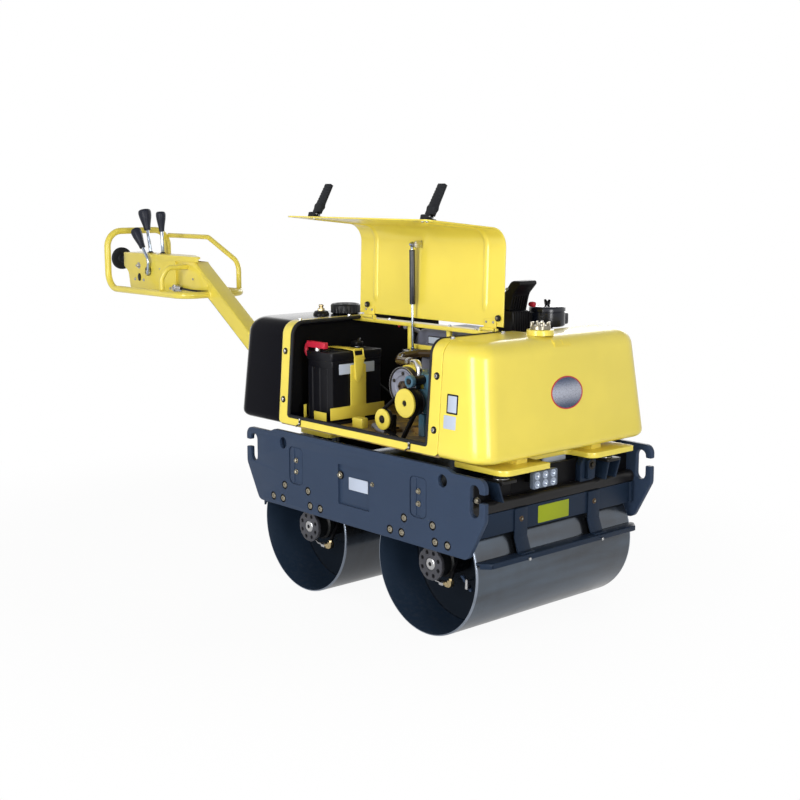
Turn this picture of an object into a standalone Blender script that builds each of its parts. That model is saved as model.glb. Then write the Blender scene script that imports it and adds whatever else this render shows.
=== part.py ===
"""Double drum walk-behind roller with its side hood open.

Metres, +Z up, +X forward, +Y to the machine's left.  Every shape is written in machine
coordinates, whose X starts half way between the two drums and whose Z starts at the ground.
The whole machine hangs on one empty that moves this frame so that the origin lies at the
bottom centre of the machine's box.
"""

import math

import bmesh
import bpy
from mathutils import Matrix, Vector

# ---------------------------------------------------------------- clearances
TOUCH = 0.0003          # between two pieces that touch
RUNNING = 0.005         # between a moving piece and its surroundings
PIN_FIT = 0.0004        # between a pin and its bore

# ---------------------------------------------------------------- drums
DRUM_RADIUS = 0.200
DRUM_WIDTH = 0.650
DRUM_SHELL = 0.012
WHEELBASE = 0.550
DRUM_WEB_INSET = 0.145  # from the drum's end to its web
DRUM_WEB = 0.012
DRUM_STEPS = 48

# ---------------------------------------------------------------- lower frame
FRAME_WIDTH = 0.710
PLATE_THICK = 0.015
PLATE_REACH = 0.531    # from mid wheelbase to the plate's end
PLATE_BOTTOM = 0.260
PLATE_TOP = 0.4975
PLATE_END_TOP = 0.487
SLANT_TOP = 0.375
SLANT_FOOT = 0.468
SHOULDER = 0.41         # where the top edge steps down
HOOK_OUT = 0.510        # tie-down hook: outer and inner side of its slot
HOOK_IN = 0.475
HOOK_LOW = 0.381
HOOK_HIGH = 0.469
HOOK_MOUTH = (0.424, 0.447)
LIFT_HOLE_X = (-0.340, 0.371)
LIFT_HOLE_Z = 0.460
LIFT_HOLE_RADIUS = 0.0175

CROSS_PLATE_X = 0.468    # front face of the cross plate
CROSS_PLATE_THICK = 0.012
CROSS_PLATE_BOTTOM = 0.309
CROSS_PLATE_TOP = 0.3715
BEAM_BACK = 0.400
BEAM_FACE = CROSS_PLATE_X        # front face of the beam over the cross plate
BEAM_TOP = 0.403
WALL_BACK = 0.425
WALL_FACE = 0.440        # wall that rises from the beam between the mounts
WALL_TOP = 0.468
LAMP_WALL_HALF = 0.160
REAR_WALL_HALF = 0.060
RIB_THICK = 0.006
RIB_TOP_Y = (0.184, 0.243)     # a mount's two slanted ribs, at the seat
RIB_LOW_Y = (0.168, 0.222)     # and at the beam
SEAT_TOP = 0.460        # top of the seats under the rubber mounts
SEAT_THICK = 0.008
SEAT_Y = (0.176, 0.262)
MOUNT_Y = 0.216
MOUNT_RADIUS = 0.024
# end: its sign, the seat's inner and outer X, the ribs' inner and outer X, the mount's X
MOUNT_ROWS = {
    "front": (1, 0.415, 0.492, 0.436, 0.484, 0.455),
    "rear": (-1, 0.300, 0.432, 0.402, 0.430, 0.332),
}

SCRAPER_THICK = 0.006
SCRAPER_Z = 0.243       # underside of the scraper bar
SCRAPER_OUT = 0.510
SCRAPER_CHAMFER = 0.025
SCRAPER_LIP = 0.008      # depth of the bar's folded front edge
HANGER_Y = (-0.153, 0.153)
HANGER_WIDTH = 0.050
HANGER_THICK = 0.005
HANGER_TOP = 0.3715
HANGER_BEND = 0.290      # below it the strap leans out past the drum
HANGER_STEP = 0.014

# ---------------------------------------------------------------- drum carriers
CARRIER_FLANGE = 0.018
CARRIER_FLANGE_HALF = 0.130
CARRIER_LOW = 0.268
CARRIER_HIGH = 0.345
ARM_HALF = 0.055
ARM_LOW = 0.232
MOTOR_RADIUS = 0.046
MOTOR_FACE_Y = 0.310    # outer face of the hub cap
MOTOR_CAP = 0.012
SHAFT_RADIUS = 0.026
DRUM_BORE = SHAFT_RADIUS + PIN_FIT

# ---------------------------------------------------------------- upper frame
FOOT_LOW = SEAT_TOP + 0.020
FOOT_THICK = 0.016
FOOT_FRONT = 0.520
FOOT_BACK = 0.329
FOOT_Y = (0.088, 0.271)  # inner and outer edge of a front foot plate
FOOT_CORNER = 0.030
CROSS_FRONT = 0.420
REAR_FOOT_X = (-0.365, -0.215)
RAIL_Y = (-0.155, 0.155)
RAIL_WIDTH = 0.042
RAIL_ENDS = (-0.400, 0.475)

BODY_BOTTOM = 0.516
BODY_TOP = 0.833
BODY_HALF = 0.350       # half width at the bottom
BODY_LEAN = 0.075       # the sides come in by this for each metre of height
BODY_CORNER = 0.045     # round between a side and the top
BAY_REAR = -0.366
BAY_FRONT = 0.345
TRAY_THICK = 0.010
SHEET = 0.004
STRIP = 0.042           # width of the door frame's strips
SILL_TOP = 0.548
SILL_LOW = 0.5216

TANK_FRONT_LOW = 0.520
TANK_FRONT_HIGH = 0.480
TANK_REAR_LOW = 0.598
TANK_REAR_HIGH = 0.576
TANK_CORNER = 0.060
TANK_FOOT_ROUND = 0.022

LEFT_PANEL_TOP = 0.735

# ---------------------------------------------------------------- hood
HINGE_Y = -0.052
HINGE_Z = 0.835
HINGE_PIN = 0.003
KNUCKLE = 0.0055
KNUCKLE_X = (-0.288, 0.243)
KNUCKLE_LENGTH = 0.050
LUG_GAP = 0.003
HOOD_REAR = -0.336
HOOD_FRONT = 0.292
HOOD_STAND = 0.009      # from the body's skin to the hood's inner face
HOOD_LOW = 0.543        # lower edge of the closed hood
HOOD_EDGE = 0.009        # from the hinge line to the shell's upper edge
HOOD_OPEN = math.radians(91.6)
LATCH_X = (-0.252, 0.240)
LATCH_WIDTH = 0.032

RAIL_TOP = BODY_TOP - SHEET - TOUCH
RAIL_DEPTH = 0.012
HINGE_RAIL_Y = (-0.0525, -0.014)
POST_X = (-0.100, 0.065)
POST_SIZE = 0.023
POST_BAR = (0.745, 0.765)
FRONT_POST_FOOT = 0.700

STRUT_X = -0.068
STRUT_TOP = (-0.065, 1.067)
STRUT_FOOT = (-0.062, 0.742)
STRUT_TUBE_RADIUS = 0.009
STRUT_ROD_RADIUS = 0.004
STRUT_TUBE_SPAN = (0.016, 0.180)   # along the strut from its upper joint
STRUT_EYE = 0.008
STRUT_EYE_THICK = 0.010

# ---------------------------------------------------------------- engine bay
ENGINE_LOW = (-0.120, 0.000, 0.552)
ENGINE_HIGH = (0.250, 0.250, 0.720)
ENGINE_FEET = 0.050
SHROUD_LOW = (-0.130, -0.012)
SHROUD_HIGH = (0.185, 0.190)
SHROUD_TOP = 0.800
MUFFLER_LOW = (0.085, 0.088)
MUFFLER_HIGH = (0.205, 0.165)
MUFFLER_TOP = 0.876
GUARD_TOP = 0.964
CLEANER_X = 0.216
CLEANER_Y = 0.225
CLEANER_RADIUS = 0.055
CLEANER_LOW = 0.823
CLEANER_TOP = 0.888
CLEANER_NECK = 0.018
BATTERY_LOW = (-0.310, -0.280)
BATTERY_HIGH = (-0.190, -0.084)
BATTERY_TOP = 0.745
BATTERY_SEAT = 0.008
STRAP_THICK = 0.003
PUMP_LOW = (0.105, -0.225)
PUMP_HIGH = (0.195, -0.100)
PUMP_BOTTOM = 0.585
PUMP_TOP = 0.715
PULLEY_FACE = -0.280    # outer face of the pulleys
PULLEY_THICK = 0.022
CLUTCH = (0.135, 0.633, 0.0415)    # centre X, centre Z, radius
IDLER = (0.0375, 0.574, 0.031)
FLYWHEEL = (0.075, 0.672, 0.056)

# ---------------------------------------------------------------- caps and lamp
FILLER_X = 0.425
FILLER_Y = -0.035
REAR_CAP = (-0.432, -0.036)
BREATHER = (-0.430, -0.128)
LAMP_Y = -0.086
LAMP_HALF = 0.0495
LAMP_HEIGHT = 0.048
LAMP_Z = 0.447
LAMP_THICK = 0.018
LAMP_BACK = 0.482

# ---------------------------------------------------------------- tiller
PIVOT_X = -0.650
PIVOT_Z = 0.468
PIVOT_PIN = 0.012
BRACKET_TOP = 0.440
STOP_RADIUS = 0.006
TILLER_ANGLE = math.radians(34.6)
TILLER_SIZE = 0.060
TILLER_LENGTH = 0.823   # from the pivot to the upper end
TILLER_TAIL = 0.030
CHEEK_THICK = 0.008
LOOP_HALF = 0.137
LOOP_TUBE = 0.0125
LOOP_REAR = -1.763
LOOP_FRONT = -1.220
LOOP_LOW = 0.845
LOOP_HIGH = 1.066
LOOP_BEND = 0.062
CHEEK_WALL = 0.006
CONSOLE_REAR = -1.815
CONSOLE_FRONT = -1.312
CONSOLE_FOOT = -1.245
CONSOLE_LOW = 0.840
CONSOLE_TOP = 0.980
PAD_RADIUS = 0.044
PAD_REACH = -1.905
GUARD_HIGH = 1.044
GUARD_TUBE = 0.0095

# ---------------------------------------------------------------- overall frame
MID_X = (-PAD_REACH - PLATE_REACH) / 2    # mid wheelbase, seen from the machine's origin

PLATE_OUT = FRAME_WIDTH / 2
PLATE_IN = PLATE_OUT - PLATE_THICK
AXLE_X = WHEELBASE / 2
AXLE_Z = DRUM_RADIUS

COLOURS = {
    "yellow": ((0.90, 0.76, 0.13), 0.35, 0.0),
    "frame_blue": ((0.060, 0.085, 0.125), 0.45, 0.0),
    "black": ((0.012, 0.012, 0.016), 0.40, 0.0),
    "drum_steel": ((0.11, 0.105, 0.105), 0.38, 0.9),
    "rubber": ((0.015, 0.015, 0.017), 0.80, 0.0),
    "zinc": ((0.60, 0.60, 0.58), 0.30, 1.0),
    "grey": ((0.22, 0.23, 0.25), 0.50, 0.2),
    "pump_blue": ((0.10, 0.22, 0.34), 0.45, 0.1),
    "lens": ((0.75, 0.78, 0.82), 0.15, 0.0),
}


# ================================================================ tools
def clear_scene():
    """Remove every object that the file holds."""
    for thing in list(bpy.data.objects):
        bpy.data.objects.remove(thing, do_unlink=True)


def finish_material(name):
    """Return the Principled material of this name from COLOURS."""
    if name in bpy.data.materials:
        return bpy.data.materials[name]
    colour, roughness, metallic = COLOURS[name]
    made = bpy.data.materials.new(name)
    made.use_nodes = True
    shader = made.node_tree.nodes["Principled BSDF"]
    shader.inputs["Base Color"].default_value = (*colour, 1.0)
    shader.inputs["Roughness"].default_value = roughness
    shader.inputs["Metallic"].default_value = metallic
    return made


def put(name, data):
    """Make an object of this data in the scene's own collection."""
    thing = bpy.data.objects.new(name, data)
    bpy.context.scene.collection.objects.link(thing)
    return thing


def from_bmesh(name, shape):
    """Turn a bmesh into an object."""
    bmesh.ops.recalc_face_normals(shape, faces=shape.faces)
    data = bpy.data.meshes.new(name)
    shape.to_mesh(data)
    shape.free()
    return put(name, data)


def as_mesh(thing):
    """Replace a curve, or an object with modifiers, by its evaluated mesh, welded."""
    bpy.context.view_layer.update()
    seen = thing.evaluated_get(bpy.context.evaluated_depsgraph_get())
    data = bpy.data.meshes.new_from_object(seen)
    shape = bmesh.new()
    shape.from_mesh(data)
    bmesh.ops.remove_doubles(shape, verts=shape.verts, dist=1e-6)
    shape.to_mesh(data)
    shape.free()
    name = thing.name
    made = put(name + "_mesh", data)
    made.matrix_world = thing.matrix_world.copy()
    bpy.data.objects.remove(thing, do_unlink=True)
    made.name = name
    return made


def combine(base, others, operation):
    """Join others to base, or cut them from it, and drop the others."""
    for other in others:
        step = base.modifiers.new(operation.lower(), "BOOLEAN")
        step.operation = operation
        step.solver = "EXACT"
        step.object = other
    made = as_mesh(base)
    for other in others:
        bpy.data.objects.remove(other, do_unlink=True)
    return made


def fuse(name, pieces):
    """Join pieces that overlap into one solid of this name."""
    made = combine(pieces[0], pieces[1:], "UNION")
    made.name = name
    return made


def box(name, low, high):
    """A box between two corners."""
    shape = bmesh.new()
    bmesh.ops.create_cube(shape, size=1.0)
    size = [high[i] - low[i] for i in range(3)]
    middle = [(high[i] + low[i]) / 2 for i in range(3)]
    bmesh.ops.transform(
        shape, matrix=Matrix.Translation(middle) @ Matrix.Diagonal((*size, 1.0)), verts=shape.verts)
    return from_bmesh(name, shape)


def cylinder(name, start, end, radius, steps=24, radius_end=None):
    """A round bar, or a cone, between two points."""
    start, end = Vector(start), Vector(end)
    shape = bmesh.new()
    bmesh.ops.create_cone(
        shape, cap_ends=True, segments=steps, radius1=radius,
        radius2=radius if radius_end is None else radius_end, depth=(end - start).length)
    turn = Vector((0, 0, 1)).rotation_difference(end - start).to_matrix().to_4x4()
    bmesh.ops.transform(
        shape, matrix=Matrix.Translation((start + end) / 2) @ turn, verts=shape.verts)
    return from_bmesh(name, shape)


def rounded(corners, steps=4):
    """Outline points from corners (u, v) or (u, v, radius); a radius becomes an arc."""
    points = []
    count = len(corners)
    for i, corner in enumerate(corners):
        here = Vector(corner[:2])
        if len(corner) < 3 or corner[2] <= 0:
            points.append(tuple(here))
            continue
        before = (Vector(corners[i - 1][:2]) - here).normalized()
        after = (Vector(corners[(i + 1) % count][:2]) - here).normalized()
        half = before.angle(after) / 2
        reach = corner[2] / math.tan(half)
        centre = here + (before + after).normalized() * (corner[2] / math.sin(half))
        first = here + before * reach - centre
        turn = first.angle_signed(here + after * reach - centre)
        for k in range(steps + 1):
            arm = first.copy()
            arm.rotate(Matrix.Rotation(-turn * k / steps, 2))
            points.append(tuple(centre + arm))
    return points


def circle(u, v, radius, steps=20):
    """Points of a circle."""
    return [(u + radius * math.cos(2 * math.pi * k / steps),
             v + radius * math.sin(2 * math.pi * k / steps)) for k in range(steps)]


PLANES = {      # how an outline's u, v and its thickness lie in the machine
    "xy": Matrix(((1, 0, 0), (0, 1, 0), (0, 0, 1))),
    "xz": Matrix(((1, 0, 0), (0, 0, -1), (0, 1, 0))),
    "yz": Matrix(((0, 0, 1), (1, 0, 0), (0, 1, 0))),
}


def plate(name, plane, outlines, low, high):
    """A flat outline, with holes, that reaches from low to high across its plane."""
    data = bpy.data.curves.new(name, "CURVE")
    data.dimensions = "2D"
    data.fill_mode = "BOTH"
    data.extrude = (high - low) / 2
    for outline in outlines:
        spline = data.splines.new("POLY")
        spline.points.add(len(outline) - 1)
        for point, (u, v) in zip(spline.points, outline):
            point.co = (u, v, 0.0, 1.0)
        spline.use_cyclic_u = True
    made = put(name, data)
    turn = PLANES[plane]
    middle = (high + low) / 2
    offset = turn @ Vector((0, 0, -middle if plane == "xz" else middle))
    made.matrix_world = Matrix.Translation(offset) @ turn.to_4x4()
    return as_mesh(made)


def turned(name, profile, centre, axis, steps=24):
    """A profile of (radius, height) pairs, turned about the axis through centre."""
    data = bpy.data.meshes.new(name)
    points = [(radius, 0.0, height) for radius, height in profile]
    data.from_pydata(points, [(i, i + 1) for i in range(len(points) - 1)], [])
    made = put(name, data)
    screw = made.modifiers.new("turn", "SCREW")
    screw.steps = steps
    screw.render_steps = steps
    screw.use_merge_vertices = True
    screw.merge_threshold = 0.00005
    turn = Vector((0, 0, 1)).rotation_difference(Vector(axis)).to_matrix().to_4x4()
    made.matrix_world = Matrix.Translation(centre) @ turn
    return as_mesh(made)


def bent(points, radius, steps=5):
    """A path through 3-D points whose corners are rounded to this radius."""
    corners = [Vector(point) for point in points]
    path = [corners[0]]
    for before, here, after in zip(corners, corners[1:], corners[2:]):
        back = (before - here).normalized()
        on = (after - here).normalized()
        half = back.angle(on) / 2
        reach = radius / math.tan(half)
        centre = here + (back + on).normalized() * (radius / math.sin(half))
        first = here + back * reach - centre
        last = here + on * reach - centre
        for k in range(steps + 1):
            path.append(centre + first.slerp(last, k / steps).normalized() * first.length)
    path.append(corners[-1])
    return path


def tube(name, path, radius, resolution=2):
    """A round tube along a path."""
    data = bpy.data.curves.new(name, "CURVE")
    data.dimensions = "3D"
    data.bevel_depth = radius
    data.bevel_resolution = resolution
    data.use_fill_caps = True
    spline = data.splines.new("POLY")
    spline.points.add(len(path) - 1)
    for point, place in zip(spline.points, path):
        point.co = (*place, 1.0)
    return as_mesh(put(name, data))


def dress(thing, finish, parent, smooth=None):
    """Give a finished node its material and its parent, keeping its place."""
    thing.data.materials.clear()
    thing.data.materials.append(finish_material(finish))
    if smooth is not None:
        thing.data.shade_smooth()
        thing.data.set_sharp_from_angle(angle=math.radians(smooth))
    thing.matrix_world = Matrix.Translation(-parent["axis"]) @ thing.matrix_world
    thing.parent = parent["empty"]
    for collection in list(thing.users_collection):
        collection.objects.unlink(thing)
    parent["collection"].objects.link(thing)
    return thing


def carrier(name, place, above, turn=0.0):
    """An empty on a joint's axis; turn is its angle about X at rest."""
    empty = bpy.data.objects.new(name, None)
    above["collection"].objects.link(empty)
    empty.empty_display_size = 0.05
    empty.parent = above["empty"]
    empty.location = Vector(place) - above["axis"]
    empty.rotation_euler = (turn, 0.0, 0.0)
    return {"empty": empty, "axis": Vector(place), "collection": above["collection"]}


# ================================================================ body section
def side_y(z, outward=0.0):
    """Distance of the body's side from the middle plane at height z."""
    return BODY_HALF - BODY_LEAN * (z - BODY_BOTTOM) + outward


def skin(low, end, outward, steps=5):
    """The right half of the body's section: up the side, over the round, along the top.

    The points are (y, z), from height low to the place y = end, moved outward from the skin.
    """
    top = BODY_TOP + outward
    lean = math.atan(BODY_LEAN)
    out = outward / math.cos(lean)
    corner = BODY_CORNER + outward
    middle_z = top - corner
    middle_y = -(side_y(middle_z, out) - corner / math.cos(lean))
    points = [(-side_y(low, out), low)]
    for k in range(steps + 1):
        angle = math.pi - lean + (math.pi / 2 - math.pi + lean) * k / steps
        points.append((middle_y + corner * math.cos(angle), middle_z + corner * math.sin(angle)))
    points.append((end, top))
    return points


def skin_band(low, end, inner, outer):
    """Closed outline between two copies of the body's section."""
    return skin(low, end, outer) + list(reversed(skin(low, end, inner)))


# ================================================================ lower frame
def plate_outline():
    """Outline of a side plate with a hook slot at each end."""
    slot = 0.0174
    half = [
        (SLANT_FOOT, PLATE_BOTTOM, 0.025), (PLATE_REACH, SLANT_TOP, 0.030),
        (PLATE_REACH, HOOK_MOUTH[0], 0.004), (HOOK_OUT, HOOK_MOUTH[0], 0.004),
        (HOOK_OUT, HOOK_LOW, slot), (HOOK_IN, HOOK_LOW, slot),
        (HOOK_IN, HOOK_HIGH, slot), (HOOK_OUT, HOOK_HIGH, slot),
        (HOOK_OUT, HOOK_MOUTH[1], 0.004), (PLATE_REACH, HOOK_MOUTH[1], 0.004),
        (PLATE_REACH, PLATE_END_TOP, 0.025), (SHOULDER, PLATE_END_TOP, 0.030),
        (SHOULDER - 0.025, PLATE_TOP, 0.030),
    ]
    other = [(-corner[0], *corner[1:]) for corner in reversed(half)]
    return rounded(half + other, steps=3)


def side_plates(machine):
    """The two outer plates that carry the drums."""
    holes = [circle(x, LIFT_HOLE_Z, LIFT_HOLE_RADIUS) for x in LIFT_HOLE_X]
    for name, low in (("side_plate_right", -PLATE_OUT), ("side_plate_left", PLATE_IN)):
        made = plate(name, "xz", [plate_outline()] + holes, low, low + PLATE_THICK)
        dress(made, "frame_blue", machine)


def cross_members(machine):
    """Cross plate and black beam at each end, with the seats of the rubber mounts."""
    inner = PLATE_IN - TOUCH
    for end, (sign, seat_in, seat_out, rib_in, rib_out, _) in MOUNT_ROWS.items():
        def span(near, far):
            return sorted((sign * near, sign * far))
        xs = span(CROSS_PLATE_X - CROSS_PLATE_THICK, CROSS_PLATE_X)
        made = box(end + "_cross_plate", (xs[0], -inner, CROSS_PLATE_BOTTOM),
                   (xs[1], inner, CROSS_PLATE_TOP))
        dress(made, "frame_blue", machine)
        nose = rounded([(sign * BEAM_BACK, CROSS_PLATE_TOP + TOUCH), (sign * BEAM_FACE, CROSS_PLATE_TOP + TOUCH),
                        (sign * BEAM_FACE, BEAM_TOP, 0.012), (sign * BEAM_BACK, BEAM_TOP)])
        pieces = [plate("beam", "xz", [nose], -inner, inner)]
        xs = span(WALL_BACK, WALL_FACE)
        wall = LAMP_WALL_HALF if end == "front" else REAR_WALL_HALF
        pieces.append(box("wall", (xs[0], -wall, BEAM_TOP - 0.010), (xs[1], wall, WALL_TOP)))
        for side in (-1, 1):
            for top_y, low_y in zip(RIB_TOP_Y, RIB_LOW_Y):
                rib = [(side * top_y, SEAT_TOP - SEAT_THICK / 2), (side * (top_y + RIB_THICK), SEAT_TOP - SEAT_THICK / 2),
                       (side * (low_y + RIB_THICK), BEAM_TOP - 0.006), (side * low_y, BEAM_TOP - 0.006)]
                pieces.append(plate("rib", "yz", [rib], *span(rib_in, rib_out)))
            xs = span(seat_in, seat_out)
            ys = sorted((side * SEAT_Y[0], side * SEAT_Y[1]))
            pieces.append(box("seat", (xs[0], ys[0], SEAT_TOP - SEAT_THICK), (xs[1], ys[1], SEAT_TOP)))
        dress(fuse(end + "_beam", pieces), "black", machine)


def rubber_mounts(machine):
    """Four round rubber mounts between the lower and the upper frame."""
    for end, (sign, *_, place) in MOUNT_ROWS.items():
        for side, y in (("right", -MOUNT_Y), ("left", MOUNT_Y)):
            low = (sign * place, y, SEAT_TOP + TOUCH)
            high = (sign * place, y, FOOT_LOW - TOUCH)
            made = cylinder(f"rubber_mount_{end}_{side}", low, high, MOUNT_RADIUS, steps=20)
            dress(made, "rubber", machine, smooth=40)


def scrapers(machine):
    """A scraper bar on two bent straps at each drum."""
    drop = SCRAPER_Z - AXLE_Z
    back = AXLE_X + math.sqrt((DRUM_RADIUS + RUNNING + 0.0005) ** 2 - drop ** 2)
    half = DRUM_WIDTH / 2
    top = SCRAPER_Z + SCRAPER_THICK
    for end, sign in (("front", 1), ("rear", -1)):
        bar = [(sign * back, -half), (sign * (SCRAPER_OUT - SCRAPER_CHAMFER), -half),
               (sign * SCRAPER_OUT, -half + SCRAPER_CHAMFER), (sign * SCRAPER_OUT, half - SCRAPER_CHAMFER),
               (sign * (SCRAPER_OUT - SCRAPER_CHAMFER), half), (sign * back, half)]
        pieces = [plate("bar", "xy", [bar], SCRAPER_Z, top)]
        xs = sorted((sign * (SCRAPER_OUT - SCRAPER_THICK), sign * SCRAPER_OUT))
        lip = half - SCRAPER_CHAMFER
        pieces.append(box("lip", (xs[0], -lip, SCRAPER_Z - SCRAPER_LIP), (xs[1], lip, top - 0.001)))
        near = CROSS_PLATE_X + TOUCH
        low = top - 0.001
        toe = near + HANGER_STEP
        tip = SCRAPER_OUT - SCRAPER_THICK - 0.001
        strap = [(near, HANGER_TOP), (near, HANGER_BEND, 0.01), (toe, low), (tip, low),
                 (tip, low + HANGER_THICK), (toe + HANGER_THICK, low + HANGER_THICK, 0.004),
                 (near + HANGER_THICK, HANGER_BEND, 0.01), (near + HANGER_THICK, HANGER_TOP)]
        strap = [(sign * corner[0], *corner[1:]) for corner in strap]
        for y in HANGER_Y:
            pieces.append(plate("strap", "xz", [rounded(strap)], y - HANGER_WIDTH / 2, y + HANGER_WIDTH / 2))
        dress(fuse("scraper_" + end, pieces), "frame_blue", machine)


def drums(machine):
    """The two steel drums, each a shell with two webs and open ends."""
    web_out = DRUM_WIDTH / 2 - DRUM_WEB_INSET
    web_in = web_out - DRUM_WEB
    half = DRUM_WIDTH / 2
    inner = DRUM_RADIUS - DRUM_SHELL
    loop = [(DRUM_RADIUS, half), (DRUM_RADIUS, -half), (inner, -half), (inner, -web_out),
            (DRUM_BORE, -web_out), (DRUM_BORE, -web_in), (inner, -web_in), (inner, web_in),
            (DRUM_BORE, web_in), (DRUM_BORE, web_out), (inner, web_out), (inner, half),
            (DRUM_RADIUS, half)]
    for name, x in (("front_drum", AXLE_X), ("rear_drum", -AXLE_X)):
        axis = carrier(name + "_axis", (x, 0.0, AXLE_Z), machine)
        made = turned(name, loop, (x, 0.0, AXLE_Z), (0, 1, 0), DRUM_STEPS)
        dress(made, "drum_steel", axis, smooth=30)


def drum_carriers(machine):
    """The four bolted brackets that reach into the drums and hold motors and bearings."""
    web = DRUM_WIDTH / 2 - DRUM_WEB_INSET
    inner = PLATE_IN - TOUCH
    for end, x in (("front", AXLE_X), ("rear", -AXLE_X)):
        for side, sign in (("right", -1), ("left", 1)):
            def span(near, far):
                return sorted((sign * near, sign * far))
            flange = rounded([
                (x - CARRIER_FLANGE_HALF, CARRIER_LOW), (x + CARRIER_FLANGE_HALF, CARRIER_LOW),
                (x + CARRIER_FLANGE_HALF, CARRIER_LOW + 0.035), (x + 0.085, CARRIER_HIGH, 0.01),
                (x - 0.085, CARRIER_HIGH, 0.01), (x - CARRIER_FLANGE_HALF, CARRIER_LOW + 0.035)], steps=2)
            ys = span(inner - CARRIER_FLANGE, inner)
            pieces = [plate("flange", "xz", [flange], *ys)]
            ys = span(web + 0.012, inner - CARRIER_FLANGE + 0.002)
            pieces.append(box("arm", (x - ARM_HALF, ys[0], CARRIER_LOW + 0.008),
                              (x + ARM_HALF, ys[1], CARRIER_HIGH - 0.02)))
            ys = span(web + 0.012, MOTOR_FACE_Y - MOTOR_CAP - 0.012)
            pieces.append(box("neck", (x - 0.035, ys[0], ARM_LOW), (x + 0.035, ys[1], CARRIER_LOW + 0.012)))
            ys = span(web + 0.010, MOTOR_FACE_Y - MOTOR_CAP + 0.002)
            pieces.append(cylinder("motor", (x, ys[0], AXLE_Z), (x, ys[1], AXLE_Z), MOTOR_RADIUS - 0.003))
            ys = span(web - DRUM_WEB - 0.010, web + 0.012)
            pieces.append(cylinder("shaft", (x, ys[0], AXLE_Z), (x, ys[1], AXLE_Z), SHAFT_RADIUS, steps=20))
            ys = span(MOTOR_FACE_Y - MOTOR_CAP, MOTOR_FACE_Y)
            pieces.append(cylinder("cap", (x, ys[0], AXLE_Z), (x, ys[1], AXLE_Z), MOTOR_RADIUS))
            dress(fuse(f"drum_carrier_{end}_{side}", pieces), "black", machine)


# ================================================================ upper body
def upper_frame(machine):
    """Plates over the rubber mounts and the two rails that carry tanks and tray."""
    top = FOOT_LOW + FOOT_THICK
    near, far = FOOT_Y
    front = rounded([
        (FOOT_BACK, -far), (FOOT_FRONT, -far, FOOT_CORNER),
        (FOOT_FRONT, -near, 0.006), (CROSS_FRONT, -near),
        (CROSS_FRONT, near), (FOOT_FRONT, near, FOOT_CORNER),
        (FOOT_FRONT, far, 0.006), (FOOT_BACK, far)])
    pieces = [plate("front_feet", "xy", [front], FOOT_LOW, top)]
    pieces.append(box("rear_feet", (REAR_FOOT_X[0], -far, FOOT_LOW), (REAR_FOOT_X[1], far, top)))
    for y in RAIL_Y:
        pieces.append(box("rail", (RAIL_ENDS[0], y - RAIL_WIDTH / 2, FOOT_LOW + 0.002),
                          (RAIL_ENDS[1], y + RAIL_WIDTH / 2, BODY_BOTTOM - TOUCH)))
    dress(fuse("upper_frame", pieces), "yellow", machine)
    half = side_y(BODY_BOTTOM) - SHEET - TOUCH - 0.004
    tray = box("floor_tray", (BAY_REAR + TOUCH, -half, BODY_BOTTOM), (BAY_FRONT - TOUCH, half, BODY_BOTTOM + TRAY_THICK))
    dress(tray, "yellow", machine)


def tank(name, near, low_far, high_far, machine, finish):
    """A tapered tank with large rounds, from the bay at X near to its far end."""
    shape = bmesh.new()
    bmesh.ops.create_cube(shape, size=2.0)
    sign = 1 if near > 0 else -1
    for vert in shape.verts:
        z = BODY_TOP if vert.co.z > 0 else BODY_BOTTOM
        far = high_far if vert.co.z > 0 else low_far
        y = side_y(z) * (1 if vert.co.y > 0 else -1)
        x = sign * far if vert.co.x > 0 else near + sign * TOUCH
        vert.co = (x, y, z)
    bmesh.ops.recalc_face_normals(shape, faces=shape.faces)

    def at_far(vert):
        return abs(vert.co.x) > abs(near) + 0.02

    def bevel(test, width, steps):
        edges = [edge for edge in shape.edges if test(*edge.verts)]
        bmesh.ops.bevel(shape, geom=edges, offset=width, offset_type="OFFSET", segments=steps,
                        profile=0.5, affect="EDGES", clamp_overlap=False)
        shape.normal_update()

    bevel(lambda a, b: at_far(a) and at_far(b) and abs(a.co.z - b.co.z) > 0.1, TANK_CORNER, 5)
    top = BODY_TOP - 0.001
    round_reach = BODY_CORNER / math.tan((math.pi / 2 + math.atan(BODY_LEAN)) / 2)
    bevel(lambda a, b: a.co.z > top and b.co.z > top and (at_far(a) or at_far(b)), round_reach, 5)
    low = BODY_BOTTOM + 0.001
    bevel(lambda a, b: a.co.z < low and b.co.z < low and (at_far(a) or at_far(b)), TANK_FOOT_ROUND, 2)
    dress(from_bmesh(name, shape), finish, machine, smooth=35)


def door_frame(machine):
    """The flanged frame round the hood's opening: two arches and a sill."""
    pieces = []
    rail_end = HINGE_RAIL_Y[1]
    for low, high in ((BAY_REAR + TOUCH, BAY_REAR + STRIP), (BAY_FRONT - STRIP, BAY_FRONT - TOUCH)):
        pieces.append(plate("arch", "yz", [skin_band(SILL_LOW, rail_end, -SHEET, 0.0)], low, high))
    sill = [(-side_y(SILL_LOW), SILL_LOW), (-side_y(SILL_TOP), SILL_TOP),
            (-side_y(SILL_TOP) + SHEET, SILL_TOP), (-side_y(SILL_LOW) + SHEET, SILL_LOW)]
    pieces.append(plate("sill", "yz", [sill], BAY_REAR + 0.01, BAY_FRONT - 0.01))
    dress(fuse("door_frame", pieces), "yellow", machine)


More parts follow.
